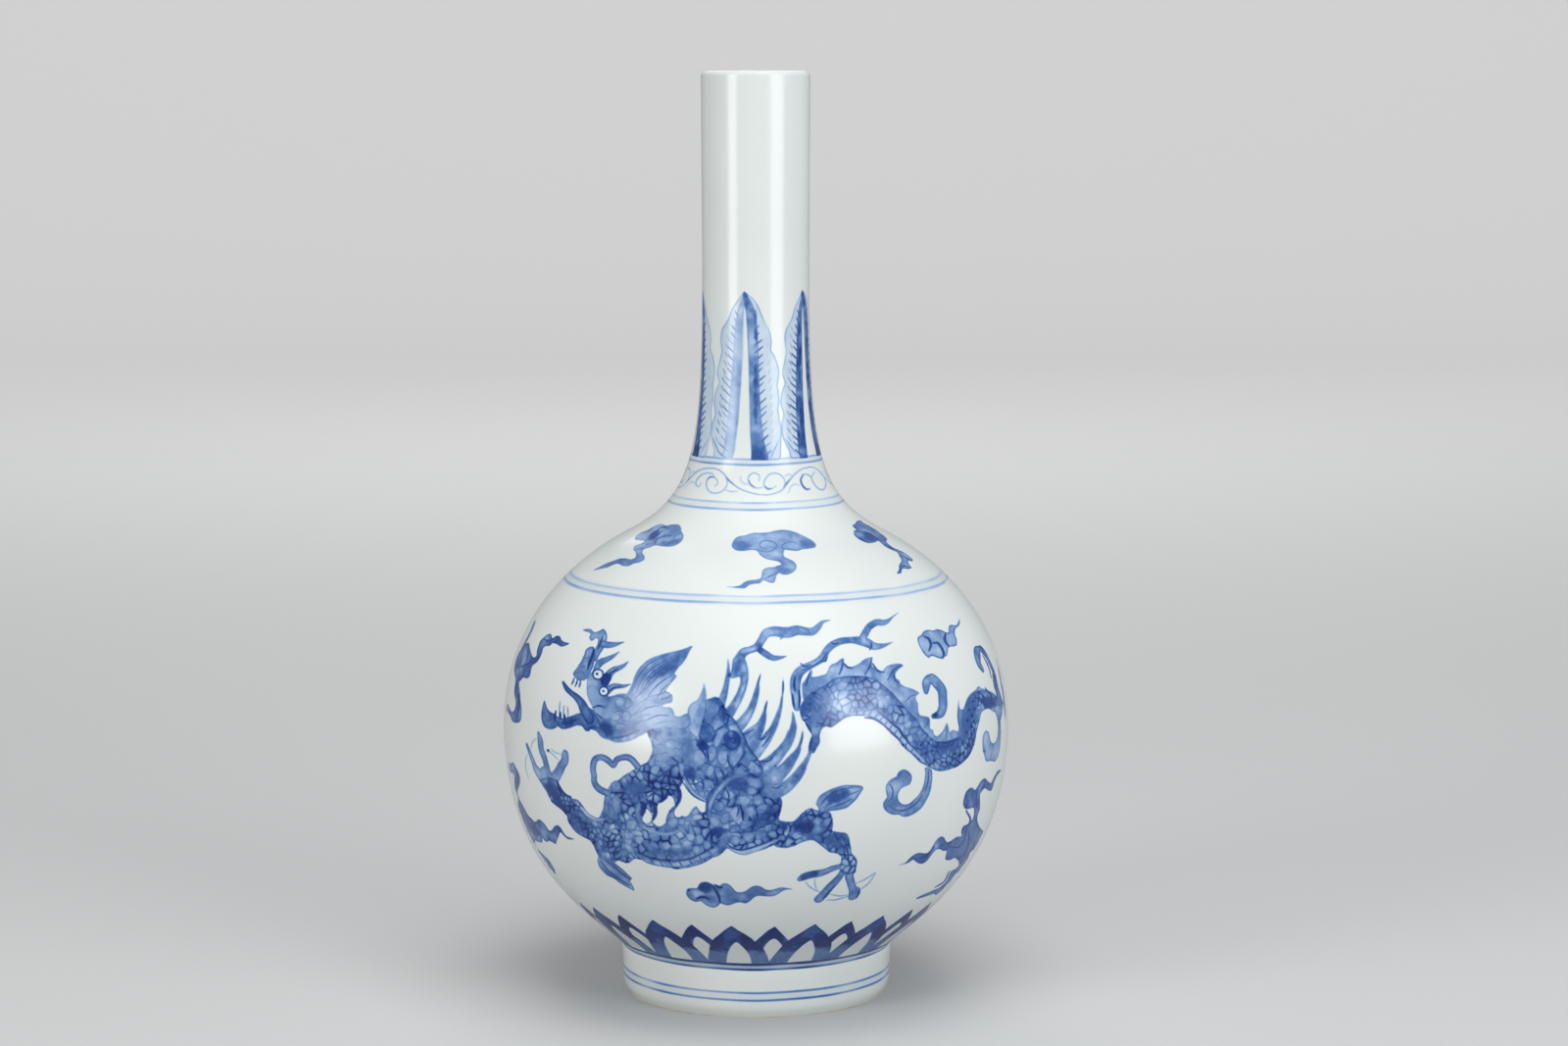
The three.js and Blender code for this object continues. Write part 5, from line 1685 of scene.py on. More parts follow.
    def streaks(self, left_tone: float, right_tone: float, shake: np.random.Generator) -> None:
        """The streaks that rise outwards from both sides of the midrib."""
        sides = ((self.right_roots, 1, 1, right_tone * 1.15 + 0.04),
        (self.left_roots, -1, 0.9, left_tone * 1.15 + 0.06))
        for row in np.arange(*self.streak_rows):
            rise = self.at_row(row, self.streak_rise)
            start = row + self.streak_drop + shake.uniform(-1, 1)
            reach = self.at_row(row, self.streak_reach) * shake.uniform(0.8, 1.15)
            for roots, way, length, tone in sides:
                x = self.at_row(row, roots)
                width = self.streak_width + shake.uniform(-0.2, 0.4)
                strength = min(tone, self.streak_most) * shake.uniform(0.75, 1.05)
                self.painter.lines((((x, start), (x + way * reach / 2, start - rise * 0.5),
                                     (x + way * reach * length, start - rise)),), width, strength)

    def flecks(self, shake: np.random.Generator) -> None:
        """The short flecks along the leaf's outer bands."""
        p = self.painter
        for y in np.arange(*self.fleck_rows):
            strength = self.at_row(y, self.fleck_strength) * shake.uniform(0.7, 1.1)
            x = self.at_row(y, self.left_flecks)
            p.lines((((x - 1, y - 2.4), (x + 1.1, y + 2.4)),), 2.0, strength)
            x = self.at_row(y, self.right_flecks)
            p.lines((((x + 1, y - 2.2), (x - 0.8, y + 2.2)),), 1.7, strength * 0.6)

    def at_row(self, row: float, table: tuple) -> float:
        """What a table says for a row of the photograph."""
        return float(np.interp(row, *table))


class LotusBand(PaintedBand):
    """Sixteen pairs of lotus petals round the foot of the belly, set by eye and so not quite even."""

    count = 16
    wash = Wash(body=0.98, pool=0.12, line=1.15, line_width=0.4, soft=0.16, mottle=0.3, mottle_size=3.5)
    wetness = (0.9, 1.08)
    drift = (-0.02, 0.02)  # how far petals may stand off an even spacing, as an azimuth in radians
    front_drift = (0, 0.02, 0.011)  # those in the photograph, from the middle to the right
    rear_drift = (0.006, 0.01, 0.025)
    left_front_drift = (0, -0.019, -0.041)  # from the middle to the left
    left_rear_drift = (-0.014, -0.047)

    def paint(self) -> None:
        """Paints the rear petals first, then those in front of them."""
        step = TURN / self.count
        shake = np.random.default_rng(8)
        fronts = [shake.uniform(*self.drift) for _ in range(self.count)]
        rears = [shake.uniform(*self.drift) for _ in range(self.count)]
        for place, drift in enumerate(self.front_drift):
            fronts[place] = drift
        for place, drift in enumerate(self.left_front_drift):
            fronts[-place] = drift
        for place, drift in enumerate(self.rear_drift):
            rears[place] = drift
        for place, drift in enumerate(self.left_rear_drift):
            rears[-1 - place] = drift
        for place, drift in enumerate(rears):
            self.painter.stamp(place * step + drift)
            self.rear_petal(shake.uniform(*self.wetness))
        for place, drift in enumerate(fronts):
            self.painter.stamp(place * step + drift)
            self.front_petal(shake.uniform(*self.wetness))

    def rear_petal(self, wet: float) -> None:
        """A petal that shows between two others; wet says how much cobalt its strokes carry."""
        p = self.painter
        p.fill(((789.5, 945.3, True), (783, 949), (777, 954), (770, 960), (765, 966), (761, 975),
                (758, 985.5, True), (819, 985.5, True), (815, 975), (811, 968), (806, 963), (801, 957.5),
                (795, 951)), self.wash)
        p.patch(((776, 955), (784, 950), (795, 952), (803, 960), (798, 961), (789, 957), (780, 960),
                 (771, 968)),
                1.14 * wet, 0.9)
        p.patch(((799, 957), (804, 961), (808, 967), (803, 969), (799, 964)), 0.82 * wet, 1.0)
        # The petal's lower part is drawn paler, partly as a lighter wash in its legs and partly as a painted
        # reflection of the floor in the glaze.
        p.patch(((756, 971.5), (781, 970.5), (784, 986), (756, 986)), 0.66, 1.7)
        p.patch(((796, 970.5), (822, 971.5), (822, 986), (792, 986)), 0.62, 1.7)
        p.fill(((788, 957.6), (783, 960.3), (777.5, 967), (773, 976), (771, 987, True), (806, 987, True),
                (803, 976), (798, 967), (795, 962.3), (791.5, 958.8)), WHITE)

    def front_petal(self, wet: float) -> None:
        """A petal in front, darkest at its shoulders; wet says how much cobalt its strokes carry."""
        p = self.painter
        p.fill(((746.5, 944.5, True), (740, 948.5), (733, 954), (728, 958), (724.5, 964), (723, 971),
                (722, 979), (721.6, 986, True), (786.5, 986, True), (784, 981), (782, 975), (779, 969),
                (775, 964), (770, 960.5), (766, 957), (760, 953), (753, 949)), self.wash)
        p.patch(((740, 950), (747, 946), (755, 951), (757, 955), (749, 958), (741, 958),
                 (737, 956)), 0.84 * wet, 1.3)
        p.patch(((754, 955), (763, 957), (774, 964), (779, 970), (770, 970), (761, 966),
                 (756, 960)), 1.16 * wet, 1.2)
        p.patch(((733, 957), (738, 959), (733, 965), (729, 971), (725, 970), (726, 963)), 1.12 * wet, 1.2)
        # The petal's lower part is drawn paler, partly as a lighter wash in its legs and partly as a painted
        # reflection of the floor in the glaze.
        p.patch(((720, 970), (744, 973), (744, 987), (719, 987)), 0.66, 1.8)
        p.patch(((758, 971), (784, 972.5), (789, 987), (760, 987)), 0.6, 1.8)
        p.lines((((727, 972), (728, 980), (728, 986)), ((735, 971), (734, 979), (733, 986)),
                 ((769, 971), (773, 978), (776, 986))), 1.3, 0.72)
        p.fill(((750, 961.3), (745.5, 965.5), (742.3, 971.5), (741, 978), (740.3, 987, True),
                (767, 987, True), (764.8, 976), (761.2, 970), (756.5, 965), (753, 962)), WHITE)


class PaintedVase:
    """All the cobalt painting of the vase, which can be asked for at any place on its outside."""

    dragon_heights = (22, 149.5)
    cloud_heights = (151, 178)
    scroll_heights = (179, 193.5)
    leaf_heights = (194.2, 256)
    lotus_heights = (20, 44)
    fine_share = 0.8  # dabs of the bands above and below the belly, against the belly's own
    middle_cloud = math.radians(8.5)
    middle_leaf = math.radians(-12)
    # Height of a ring line, its width in millimetres and its strength. The darkest ring, at 20.1, is a
    # painted shadow line in the crease where the belly meets the foot.
    rings = ((194.6, 0.6, 0.32), (192.7, 0.75, 0.36), (179.9, 0.6, 0.24), (177.7, 0.7, 0.32),
             (152.1, 0.6, 0.21), (150.1, 0.7, 0.3), (20.1, 0.9, 1.5), (17.8, 0.75, 0.85), (9.3, 0.65, 0.46),
             (6.6, 0.7, 0.52))
    # Lower and upper height of the faint tint between two ring lines, and its strength. The band from 17.8 to
    # 20.1 is partly glaze pooled in the fillet over the foot and partly painted shade under the belly's
    # overhang.
    tints_and_fillet_shade = ((192.7, 194.6, 0.07), (177.7, 179.9, 0.04), (150.1, 152.1, 0.05), (17.8, 20.1, 0.18),
             (6.6, 9.3, 0.05))
    wet_share, wet_patch, wet_seed = 0.5, 9.0, 71
    wobble, wobble_patch, wobble_seed = 0.22, 14.0, 72
    tint_soft, ring_soft = 0.6, 0.4

    def __init__(self, form: VaseForm, eye: Eye, fineness: float) -> None:
        """Paints every band.

        Args:
            form: The vase's turned outline.
            eye: The photograph's viewpoint.
            fineness: Size of one dab in millimetres.
        """
        self.chart = Chart(form)
        fine = fineness * self.fine_share
        belly = Sheet(self.chart, 2, self.dragon_heights, fineness, -TURN / 4)
        shoulder = Sheet(self.chart, 1, self.cloud_heights, fineness)
        root = Sheet(self.chart, 1, self.scroll_heights, fine)
        neck = Sheet(self.chart, 1, self.leaf_heights, fine)
        lotus = Sheet(self.chart, 1, self.lotus_heights, fine)
        self.sheets = (belly, shoulder, root, neck, lotus)
        DragonBand(Painter(belly, eye)).paint()
        ShoulderClouds(Painter(shoulder, eye, self.middle_cloud)).paint()
        ScrollBand(Painter(root, eye)).paint()
        LeafBand(Painter(neck, eye, self.middle_leaf)).paint()
        LotusBand(Painter(lotus, eye)).paint()

    def cobalt(self, azimuth: np.ndarray, height: np.ndarray) -> np.ndarray:
        """How much cobalt lies at places on the outside, with the painted shade in the crease over the foot
        laid in as cobalt too.

        Args:
            azimuth: Azimuths in radians, 0 at the front and growing to the right.
            height: Heights in millimetres.

        Returns:
            The cobalt, from 0 for bare glaze to a little over 1.
        """
        climb = self.chart.climb_at(height)
        ink = np.zeros(azimuth.shape)
        for sheet in self.sheets:
            ink = np.maximum(ink, sheet.look_up(azimuth, climb))
        along = azimuth * self.chart.radius_at(height)
        wet = 1 + self.wet_share * (noise(along, height, self.wet_patch, self.wet_seed) - 0.5)
        level = height + self.wobble * (noise(along, height * 0, self.wobble_patch, self.wobble_seed) - 0.5)
        for low, high, strength in self.tints_and_fillet_shade:
            above = np.clip(0.5 + (height - low) / self.tint_soft, 0, 1)
            below = np.clip(0.5 + (high - height) / self.tint_soft, 0, 1)
            ink = np.maximum(ink, strength * (above * below) * wet)
        for middle, width, strength in self.rings:
            away = np.abs(level - middle) - width / 2 * wet
            ink = np.maximum(ink, strength * wet * np.clip(0.5 - away / self.ring_soft, 0, 1))
        return ink


def linear(red: int, green: int, blue: int) -> tuple:
    """A colour as Blender's shaders take it.

    Args:
        red, green, blue: The colour as a screen shows it, from 0 to 255.

    Returns:
        The linear colour with full alpha.
    """
    shares = [value / 255 for value in (red, green, blue)]
    return tuple(s / 12.92 if s <= 0.04045 else ((s + 0.055) / 1.055) ** 2.4 for s in shares) + (1.0,)


class Nodes:
    """Lays out shader nodes and their links."""

    def __init__(self, tree: bpy.types.NodeTree) -> None:
        """Takes up an empty node tree."""
        self.tree = tree

    def add(self, kind: str, inputs: dict | None = None, **settings: object) -> bpy.types.Node:
        """Adds a node.

        Args:
            kind: The node's type name.
            inputs: Values or links for its inputs, by name or number.
            settings: Its own settings.

        Returns:
            The node.
        """
        node = self.tree.nodes.new(kind)
        for name, value in settings.items():
            setattr(node, name, value)
        for key, value in (inputs or {}).items():
            if isinstance(value, bpy.types.NodeSocket):
                self.tree.links.new(value, node.inputs[key])
            else:
                node.inputs[key].default_value = value
        return node

    def place(self) -> bpy.types.NodeSocket:
        """Places on the object, in its own frame."""
        return self.add("ShaderNodeTexCoord").outputs["Object"]

    def math(self, operation: str, a: object, b: object = 0.0, clamp: bool = False) -> bpy.types.NodeSocket:
        """The result of a Math node on two values or sockets."""
        return self.add("ShaderNodeMath", {0: a, 1: b}, operation=operation, use_clamp=clamp).outputs[0]

    def mix(self, first: object, second: object, share: object, blend: str = "MIX") -> bpy.types.NodeSocket:
        """Two colours mixed, with as much of the second as the share says."""
        return self.add("ShaderNodeMix", {6: first, 7: second, 0: share}, data_type="RGBA",
                        blend_type=blend).outputs[2]

    def noise(self, place: bpy.types.NodeSocket, scale: float, detail: float) -> bpy.types.NodeSocket:
        """Soft random values from 0 to 1 over the surface."""
        inputs = {"Vector": place, "Scale": scale, "Detail": detail}
        return self.add("ShaderNodeTexNoise", inputs).outputs["Fac"]

    def bump(self, height: bpy.types.NodeSocket, strength: float, distance: float) -> bpy.types.NodeSocket:
        """Normals of a surface with fine relief."""
        return self.add("ShaderNodeBump", {"Height": height, "Strength": strength,
                                           "Distance": distance}).outputs["Normal"]

    def ramp(self, value: bpy.types.NodeSocket, stops: tuple) -> bpy.types.NodeSocket:
        """Colours for a value.

        Args:
            value: The socket to read.
            stops: Pairs of a place from 0 to 1 and a linear colour.

        Returns:
            The colour socket.
        """
        node = self.add("ShaderNodeValToRGB", {"Fac": value})
        band = node.color_ramp
        for place, colour in stops[1:-1]:
            band.elements.new(place).color = colour
        band.elements[0].position, band.elements[0].color = stops[0]
        band.elements[-1].position, band.elements[-1].color = stops[-1]
        return node.outputs["Color"]

    def finish(self, inputs: dict) -> None:
        """Ends a material in a Principled shader with these inputs."""
        shader = self.add("ShaderNodeBsdfPrincipled", inputs)
        self.add("ShaderNodeOutputMaterial", {"Surface": shader.outputs[0]})


def start_material(name: str) -> tuple:
    """Starts a material without nodes, and gives it with its nodes' layout."""
    material = bpy.data.materials.new(name)
    material.use_nodes = True
    material.node_tree.nodes.clear()
    return material, Nodes(material.node_tree)


def start_group(name: str, inputs: dict, outputs: dict) -> tuple:
    """Starts a shader node group.

    Args:
        name: The group's name.
        inputs: Its input sockets: name to default value.
        outputs: Its output sockets: name to socket type.

    Returns:
        The group, its nodes' layout, its input node and its output node.
    """
    group = bpy.data.node_groups.new(name, "ShaderNodeTree")
    for label, value in inputs.items():
        kind = "NodeSocketColor" if isinstance(value, tuple) else "NodeSocketFloat"
        group.interface.new_socket(label, in_out="INPUT", socket_type=kind).default_value = value
    for label, kind in outputs.items():
        group.interface.new_socket(label, in_out="OUTPUT", socket_type=kind)
    nodes = Nodes(group)
    return group, nodes, nodes.add("NodeGroupInput"), nodes.add("NodeGroupOutput")


@dataclass(frozen=True)
class GlazeSkin:
    """What a fired glaze has all over: faint waviness, tiny pits and a drifting tint."""

    name: str = "glaze_skin"
    wave_scale: float = 75
    wave_detail: float = 1.5
    pit_scale: float = 420
    pit_size: float = 0.16
    pit_cluster: float = 0.45  # scale of the patches that have pits, against the pits' own
    pit_rarity: float = 0.64
    tint_scale: float = 17
    tint_detail: float = 2
    tint_from: float = 0.35
    roughness_swing: float = 0.08

    def group(self) -> bpy.types.NodeTree:
        """Builds the shared node group."""
        group, nodes, given, out = start_group(
            self.name, {"Tint strength": 0.3, "Pits": 0.2, "Waves": 0.5},
            dict.fromkeys(("Tint mask", "Height", "Roughness shift"), "NodeSocketFloat"))
        place = nodes.place()
        waves = nodes.noise(place, self.wave_scale, self.wave_detail)
        cells = nodes.add("ShaderNodeTexVoronoi", {"Vector": place, "Scale": self.pit_scale})
        pit = nodes.math("DIVIDE", cells.outputs["Distance"], self.pit_size)
        pit = nodes.math("SUBTRACT", 1.0, pit, clamp=True)
        cluster = nodes.noise(place, self.pit_scale * self.pit_cluster, 0)
        pit = nodes.math("MULTIPLY", pit, nodes.math("GREATER_THAN", cluster, self.pit_rarity))
        pit = nodes.math("MULTIPLY", pit, given.outputs["Pits"])
        height = nodes.math("SUBTRACT", nodes.math("MULTIPLY", waves, given.outputs["Waves"]), pit)
        drift = nodes.noise(place, self.tint_scale, self.tint_detail)
        mask = nodes.math("SUBTRACT", drift, self.tint_from, clamp=True)
        mask = nodes.math("MULTIPLY", mask, given.outputs["Tint strength"])
        rough = nodes.math("MULTIPLY", nodes.math("SUBTRACT", drift, 0.5), self.roughness_swing)
        for socket, name in ((mask, "Tint mask"), (height, "Height"), (rough, "Roughness shift")):
            nodes.tree.links.new(socket, out.inputs[name])
        return group


@dataclass(frozen=True)
class CobaltWash:
    """Cobalt under the glaze: the painted amount, granulated and turned into blue."""

    name: str = "cobalt_wash"
    grain_scale: float = 950
    cloud_scale: float = 150
    detail: float = 3
    stops: tuple = (
        (0.0, linear(233, 237, 232)), (0.1, linear(205, 219, 232)), (0.25, linear(158, 184, 219)),
        (0.42, linear(102, 137, 188)), (0.58, linear(60, 98, 160)), (0.72, linear(30, 67, 138)),
        (0.86, linear(8, 44, 120)), (1.0, linear(0, 24, 94)))
    fullest: float = 1.2
    sunk: float = -0.3

    def group(self) -> bpy.types.NodeTree:
        """Builds the shared node group."""
        group, nodes, given, out = start_group(
            self.name, {"Cobalt": 0.0, "Grain": 0.3},
            {"Colour": "NodeSocketColor", "Sunk": "NodeSocketFloat"})
        place = nodes.place()
        grain = nodes.math("SUBTRACT", nodes.noise(place, self.grain_scale, self.detail), 0.5)
        cloud = nodes.math("SUBTRACT", nodes.noise(place, self.cloud_scale, self.detail), 0.5)
        uneven = nodes.math("MULTIPLY", nodes.math("ADD", grain, cloud), given.outputs["Grain"])
        amount = nodes.math("MULTIPLY", given.outputs["Cobalt"], nodes.math("ADD", 1.0, uneven))
        share = nodes.math("DIVIDE", amount, self.fullest, clamp=True)
        nodes.tree.links.new(nodes.ramp(share, self.stops), out.inputs["Colour"])
        nodes.tree.links.new(nodes.math("MULTIPLY", share, self.sunk), out.inputs["Sunk"])
        return group


@dataclass(frozen=True)
class PaintedGlaze:
    """Clear glossy glaze over white porcelain painted in cobalt."""

    name: str = "painted_glaze"
    grain: float = 0.32
    tint: tuple = linear(206, 222, 226)
    tint_strength: float = 0.5
    pits: float = 0.5
    roughness: float = 0.2
    refraction: float = 1.45
    coat: float = 0.1
    coat_roughness: float = 0.06
    bump: float = 0.1
    bump_distance: float = 0.0001

    def material(self, skin: bpy.types.NodeTree, wash: bpy.types.NodeTree) -> bpy.types.Material:
        """Builds the material from the shared groups.

        Args:
            skin: The group of the glaze's skin.
            wash: The group that turns cobalt into blue.

        Returns:
            The material.
        """
        material, nodes = start_material(self.name)
        cobalt = nodes.add("ShaderNodeAttribute", attribute_name="cobalt").outputs["Fac"]
        washed = nodes.add("ShaderNodeGroup", node_tree=wash)
        nodes.tree.links.new(cobalt, washed.inputs["Cobalt"])
        washed.inputs["Grain"].default_value = self.grain
        skinned = nodes.add("ShaderNodeGroup", node_tree=skin)
        skinned.inputs["Tint strength"].default_value = self.tint_strength
        skinned.inputs["Pits"].default_value = self.pits
        colour = nodes.mix(washed.outputs["Colour"], self.tint, skinned.outputs["Tint mask"], "MULTIPLY")
        height = nodes.math("ADD", skinned.outputs["Height"], washed.outputs["Sunk"])
        rough = nodes.math("ADD", self.roughness, skinned.outputs["Roughness shift"])
        nodes.finish({"Base Color": colour, "Roughness": rough, "IOR": self.refraction,
                      "Normal": nodes.bump(height, self.bump, self.bump_distance),
                      "Coat Weight": self.coat, "Coat Roughness": self.coat_roughness})
        return material


@dataclass(frozen=True)
class BarePorcelain:
    """Unglazed, fired clay: the foot's rim, with a faint rusty edge, turning lines and grit."""

    name: str = "bare_porcelain"
    clay: tuple = linear(224, 216, 200)
    rust: tuple = linear(198, 172, 138)
    rust_scale: float = 160
    rust_detail: float = 4
    rust_from: float = 0.4
    rust_slope: float = 2.2
    grit: tuple = linear(150, 130, 104)
    grit_scale: float = 1500
    grit_rarity: float = 0.7
    grit_share: float = 0.6
    line_scale: float = 1600
    line_share: float = 0.25
    clay_scale: float = 900
    clay_detail: float = 5
    roughness: float = 0.82
    shine: float = 0.3
    bump: float = 0.35
    bump_distance: float = 0.00025

    def material(self) -> bpy.types.Material:
        """Builds the material."""
        material, nodes = start_material(self.name)
        place = nodes.place()
        rusty = nodes.noise(place, self.rust_scale, self.rust_detail)
        rusty = nodes.math("SUBTRACT", rusty, self.rust_from, clamp=True)
        rusty = nodes.math("MULTIPLY", rusty, self.rust_slope, clamp=True)
        speck = nodes.math("GREATER_THAN", nodes.noise(place, self.grit_scale, 1), self.grit_rarity)
        gritty = nodes.math("MULTIPLY", speck, self.grit_share)
        axes = nodes.add("ShaderNodeSeparateXYZ", {0: place})
        squares = [nodes.math("POWER", axes.outputs[axis], 2.0) for axis in ("X", "Y")]
        out = nodes.math("SQRT", nodes.math("ADD", *squares))
        lines = nodes.math("SINE", nodes.math("MULTIPLY", out, self.line_scale * math.pi))
        clay = nodes.noise(place, self.clay_scale, self.clay_detail)
        relief = nodes.math("ADD", nodes.math("MULTIPLY", lines, self.line_share), clay)
        nodes.finish({"Base Color": nodes.mix(nodes.mix(self.clay, self.rust, rusty), self.grit, gritty),
                      "Roughness": self.roughness, "Specular IOR Level": self.shine,
                      "Normal": nodes.bump(relief, self.bump, self.bump_distance)})
        return material


@dataclass(frozen=True)
class LutingSlip:
    """Slip squeezed out of a joint inside, wiped by hand and glazed over thinly."""

    name: str = "luting_slip"
    colour: tuple = linear(222, 218, 204)
    dark: tuple = linear(190, 184, 166)
    lump_scale: float = 260
    lump_detail: float = 4
    roughness: float = 0.42
    coat: float = 0.2
    bump: float = 0.4
    bump_distance: float = 0.0003

    def material(self) -> bpy.types.Material:
        """Builds the material."""
        material, nodes = start_material(self.name)
        lumps = nodes.noise(nodes.place(), self.lump_scale, self.lump_detail)
        nodes.finish({"Base Color": nodes.mix(self.colour, self.dark, lumps), "Roughness": self.roughness,
                      "Normal": nodes.bump(lumps, self.bump, self.bump_distance), "Coat Weight": self.coat})
        return material


def pick(piece: bpy.types.Object) -> None:
    """Selects one object and nothing else."""
    bpy.ops.object.select_all(action="DESELECT")
    piece.select_set(True)
    bpy.context.view_layer.objects.active = piece


def turn(name: str, outline: list, columns: int, closed: bool = True,
         weld: float = 0.01) -> bpy.types.Object:
    """Turns an outline, drawn up ring by ring from a circle as on a wheel.

    Args:
        name: The new object's name.
        outline: Points (radius, height) in millimetres.
        columns: How many faces go round.
        closed: Whether the outline runs once round a wall; otherwise both its ends are filled.
        weld: Within how many millimetres points are joined.

    Returns:
        The object, at the origin.
    """
    bpy.ops.object.select_all(action="DESELECT")
    radius, height = outline[0]
    bpy.ops.mesh.primitive_circle_add(vertices=columns, radius=radius * MM, fill_type="NOTHING")
    piece = bpy.context.object
    piece.name = name
    piece.data.name = name
    bpy.ops.object.mode_set(mode="EDIT")
    bpy.ops.mesh.select_mode(type="VERT")
    bpy.ops.mesh.select_all(action="SELECT")
    bpy.ops.transform.translate(value=(0, 0, height * MM))
    for next_radius, next_height in outline[1:] + (outline[:1] if closed else []):
        rise = (next_height - height) * MM
        bpy.ops.mesh.extrude_region_move(TRANSFORM_OT_translate={"value": (0, 0, rise)})
        grow = next_radius / radius
        bpy.ops.transform.resize(value=(grow, grow, 1), center_override=(0, 0, next_height * MM))
        radius, height = next_radius, next_height
    bpy.ops.mesh.select_all(action="SELECT")
    bpy.ops.mesh.remove_doubles(threshold=weld * MM)
    if not closed:
        bpy.ops.mesh.fill_holes(sides=0)
        bpy.ops.mesh.select_all(action="SELECT")
    bpy.ops.mesh.normals_make_consistent(inside=False)
    bpy.ops.object.mode_set(mode="OBJECT")
    bpy.ops.object.shade_smooth()
    return piece


def places(mesh: bpy.types.Mesh) -> np.ndarray:
    """Places of a mesh's vertices in millimetres, one row each."""
    flat = np.empty(len(mesh.vertices) * 3)
    mesh.vertices.foreach_get("co", flat)
    return flat.reshape(-1, 3) / MM


def azimuths(points: np.ndarray) -> np.ndarray:
    """Azimuths of places in radians, 0 at the front and growing to the right."""
    return np.arctan2(points[:, 0], -points[:, 1])


def beside(azimuth: np.ndarray, other: np.ndarray) -> np.ndarray:
    """Azimuths moved by whole turns, to lie within half a turn of others."""
    return other + (azimuth - other + math.pi) % TURN - math.pi


def face_corners(mesh: bpy.types.Mesh) -> tuple:
    """Each face's first corner and number of corners, and the vertex at each corner of the mesh."""
    starts = np.empty(len(mesh.polygons), int)
    totals = np.empty(len(mesh.polygons), int)
    order = np.empty(len(mesh.loops), int)
    mesh.polygons.foreach_get("loop_start", starts)
    mesh.polygons.foreach_get("loop_total", totals)
    mesh.loops.foreach_get("vertex_index", order)
    return starts, totals, order


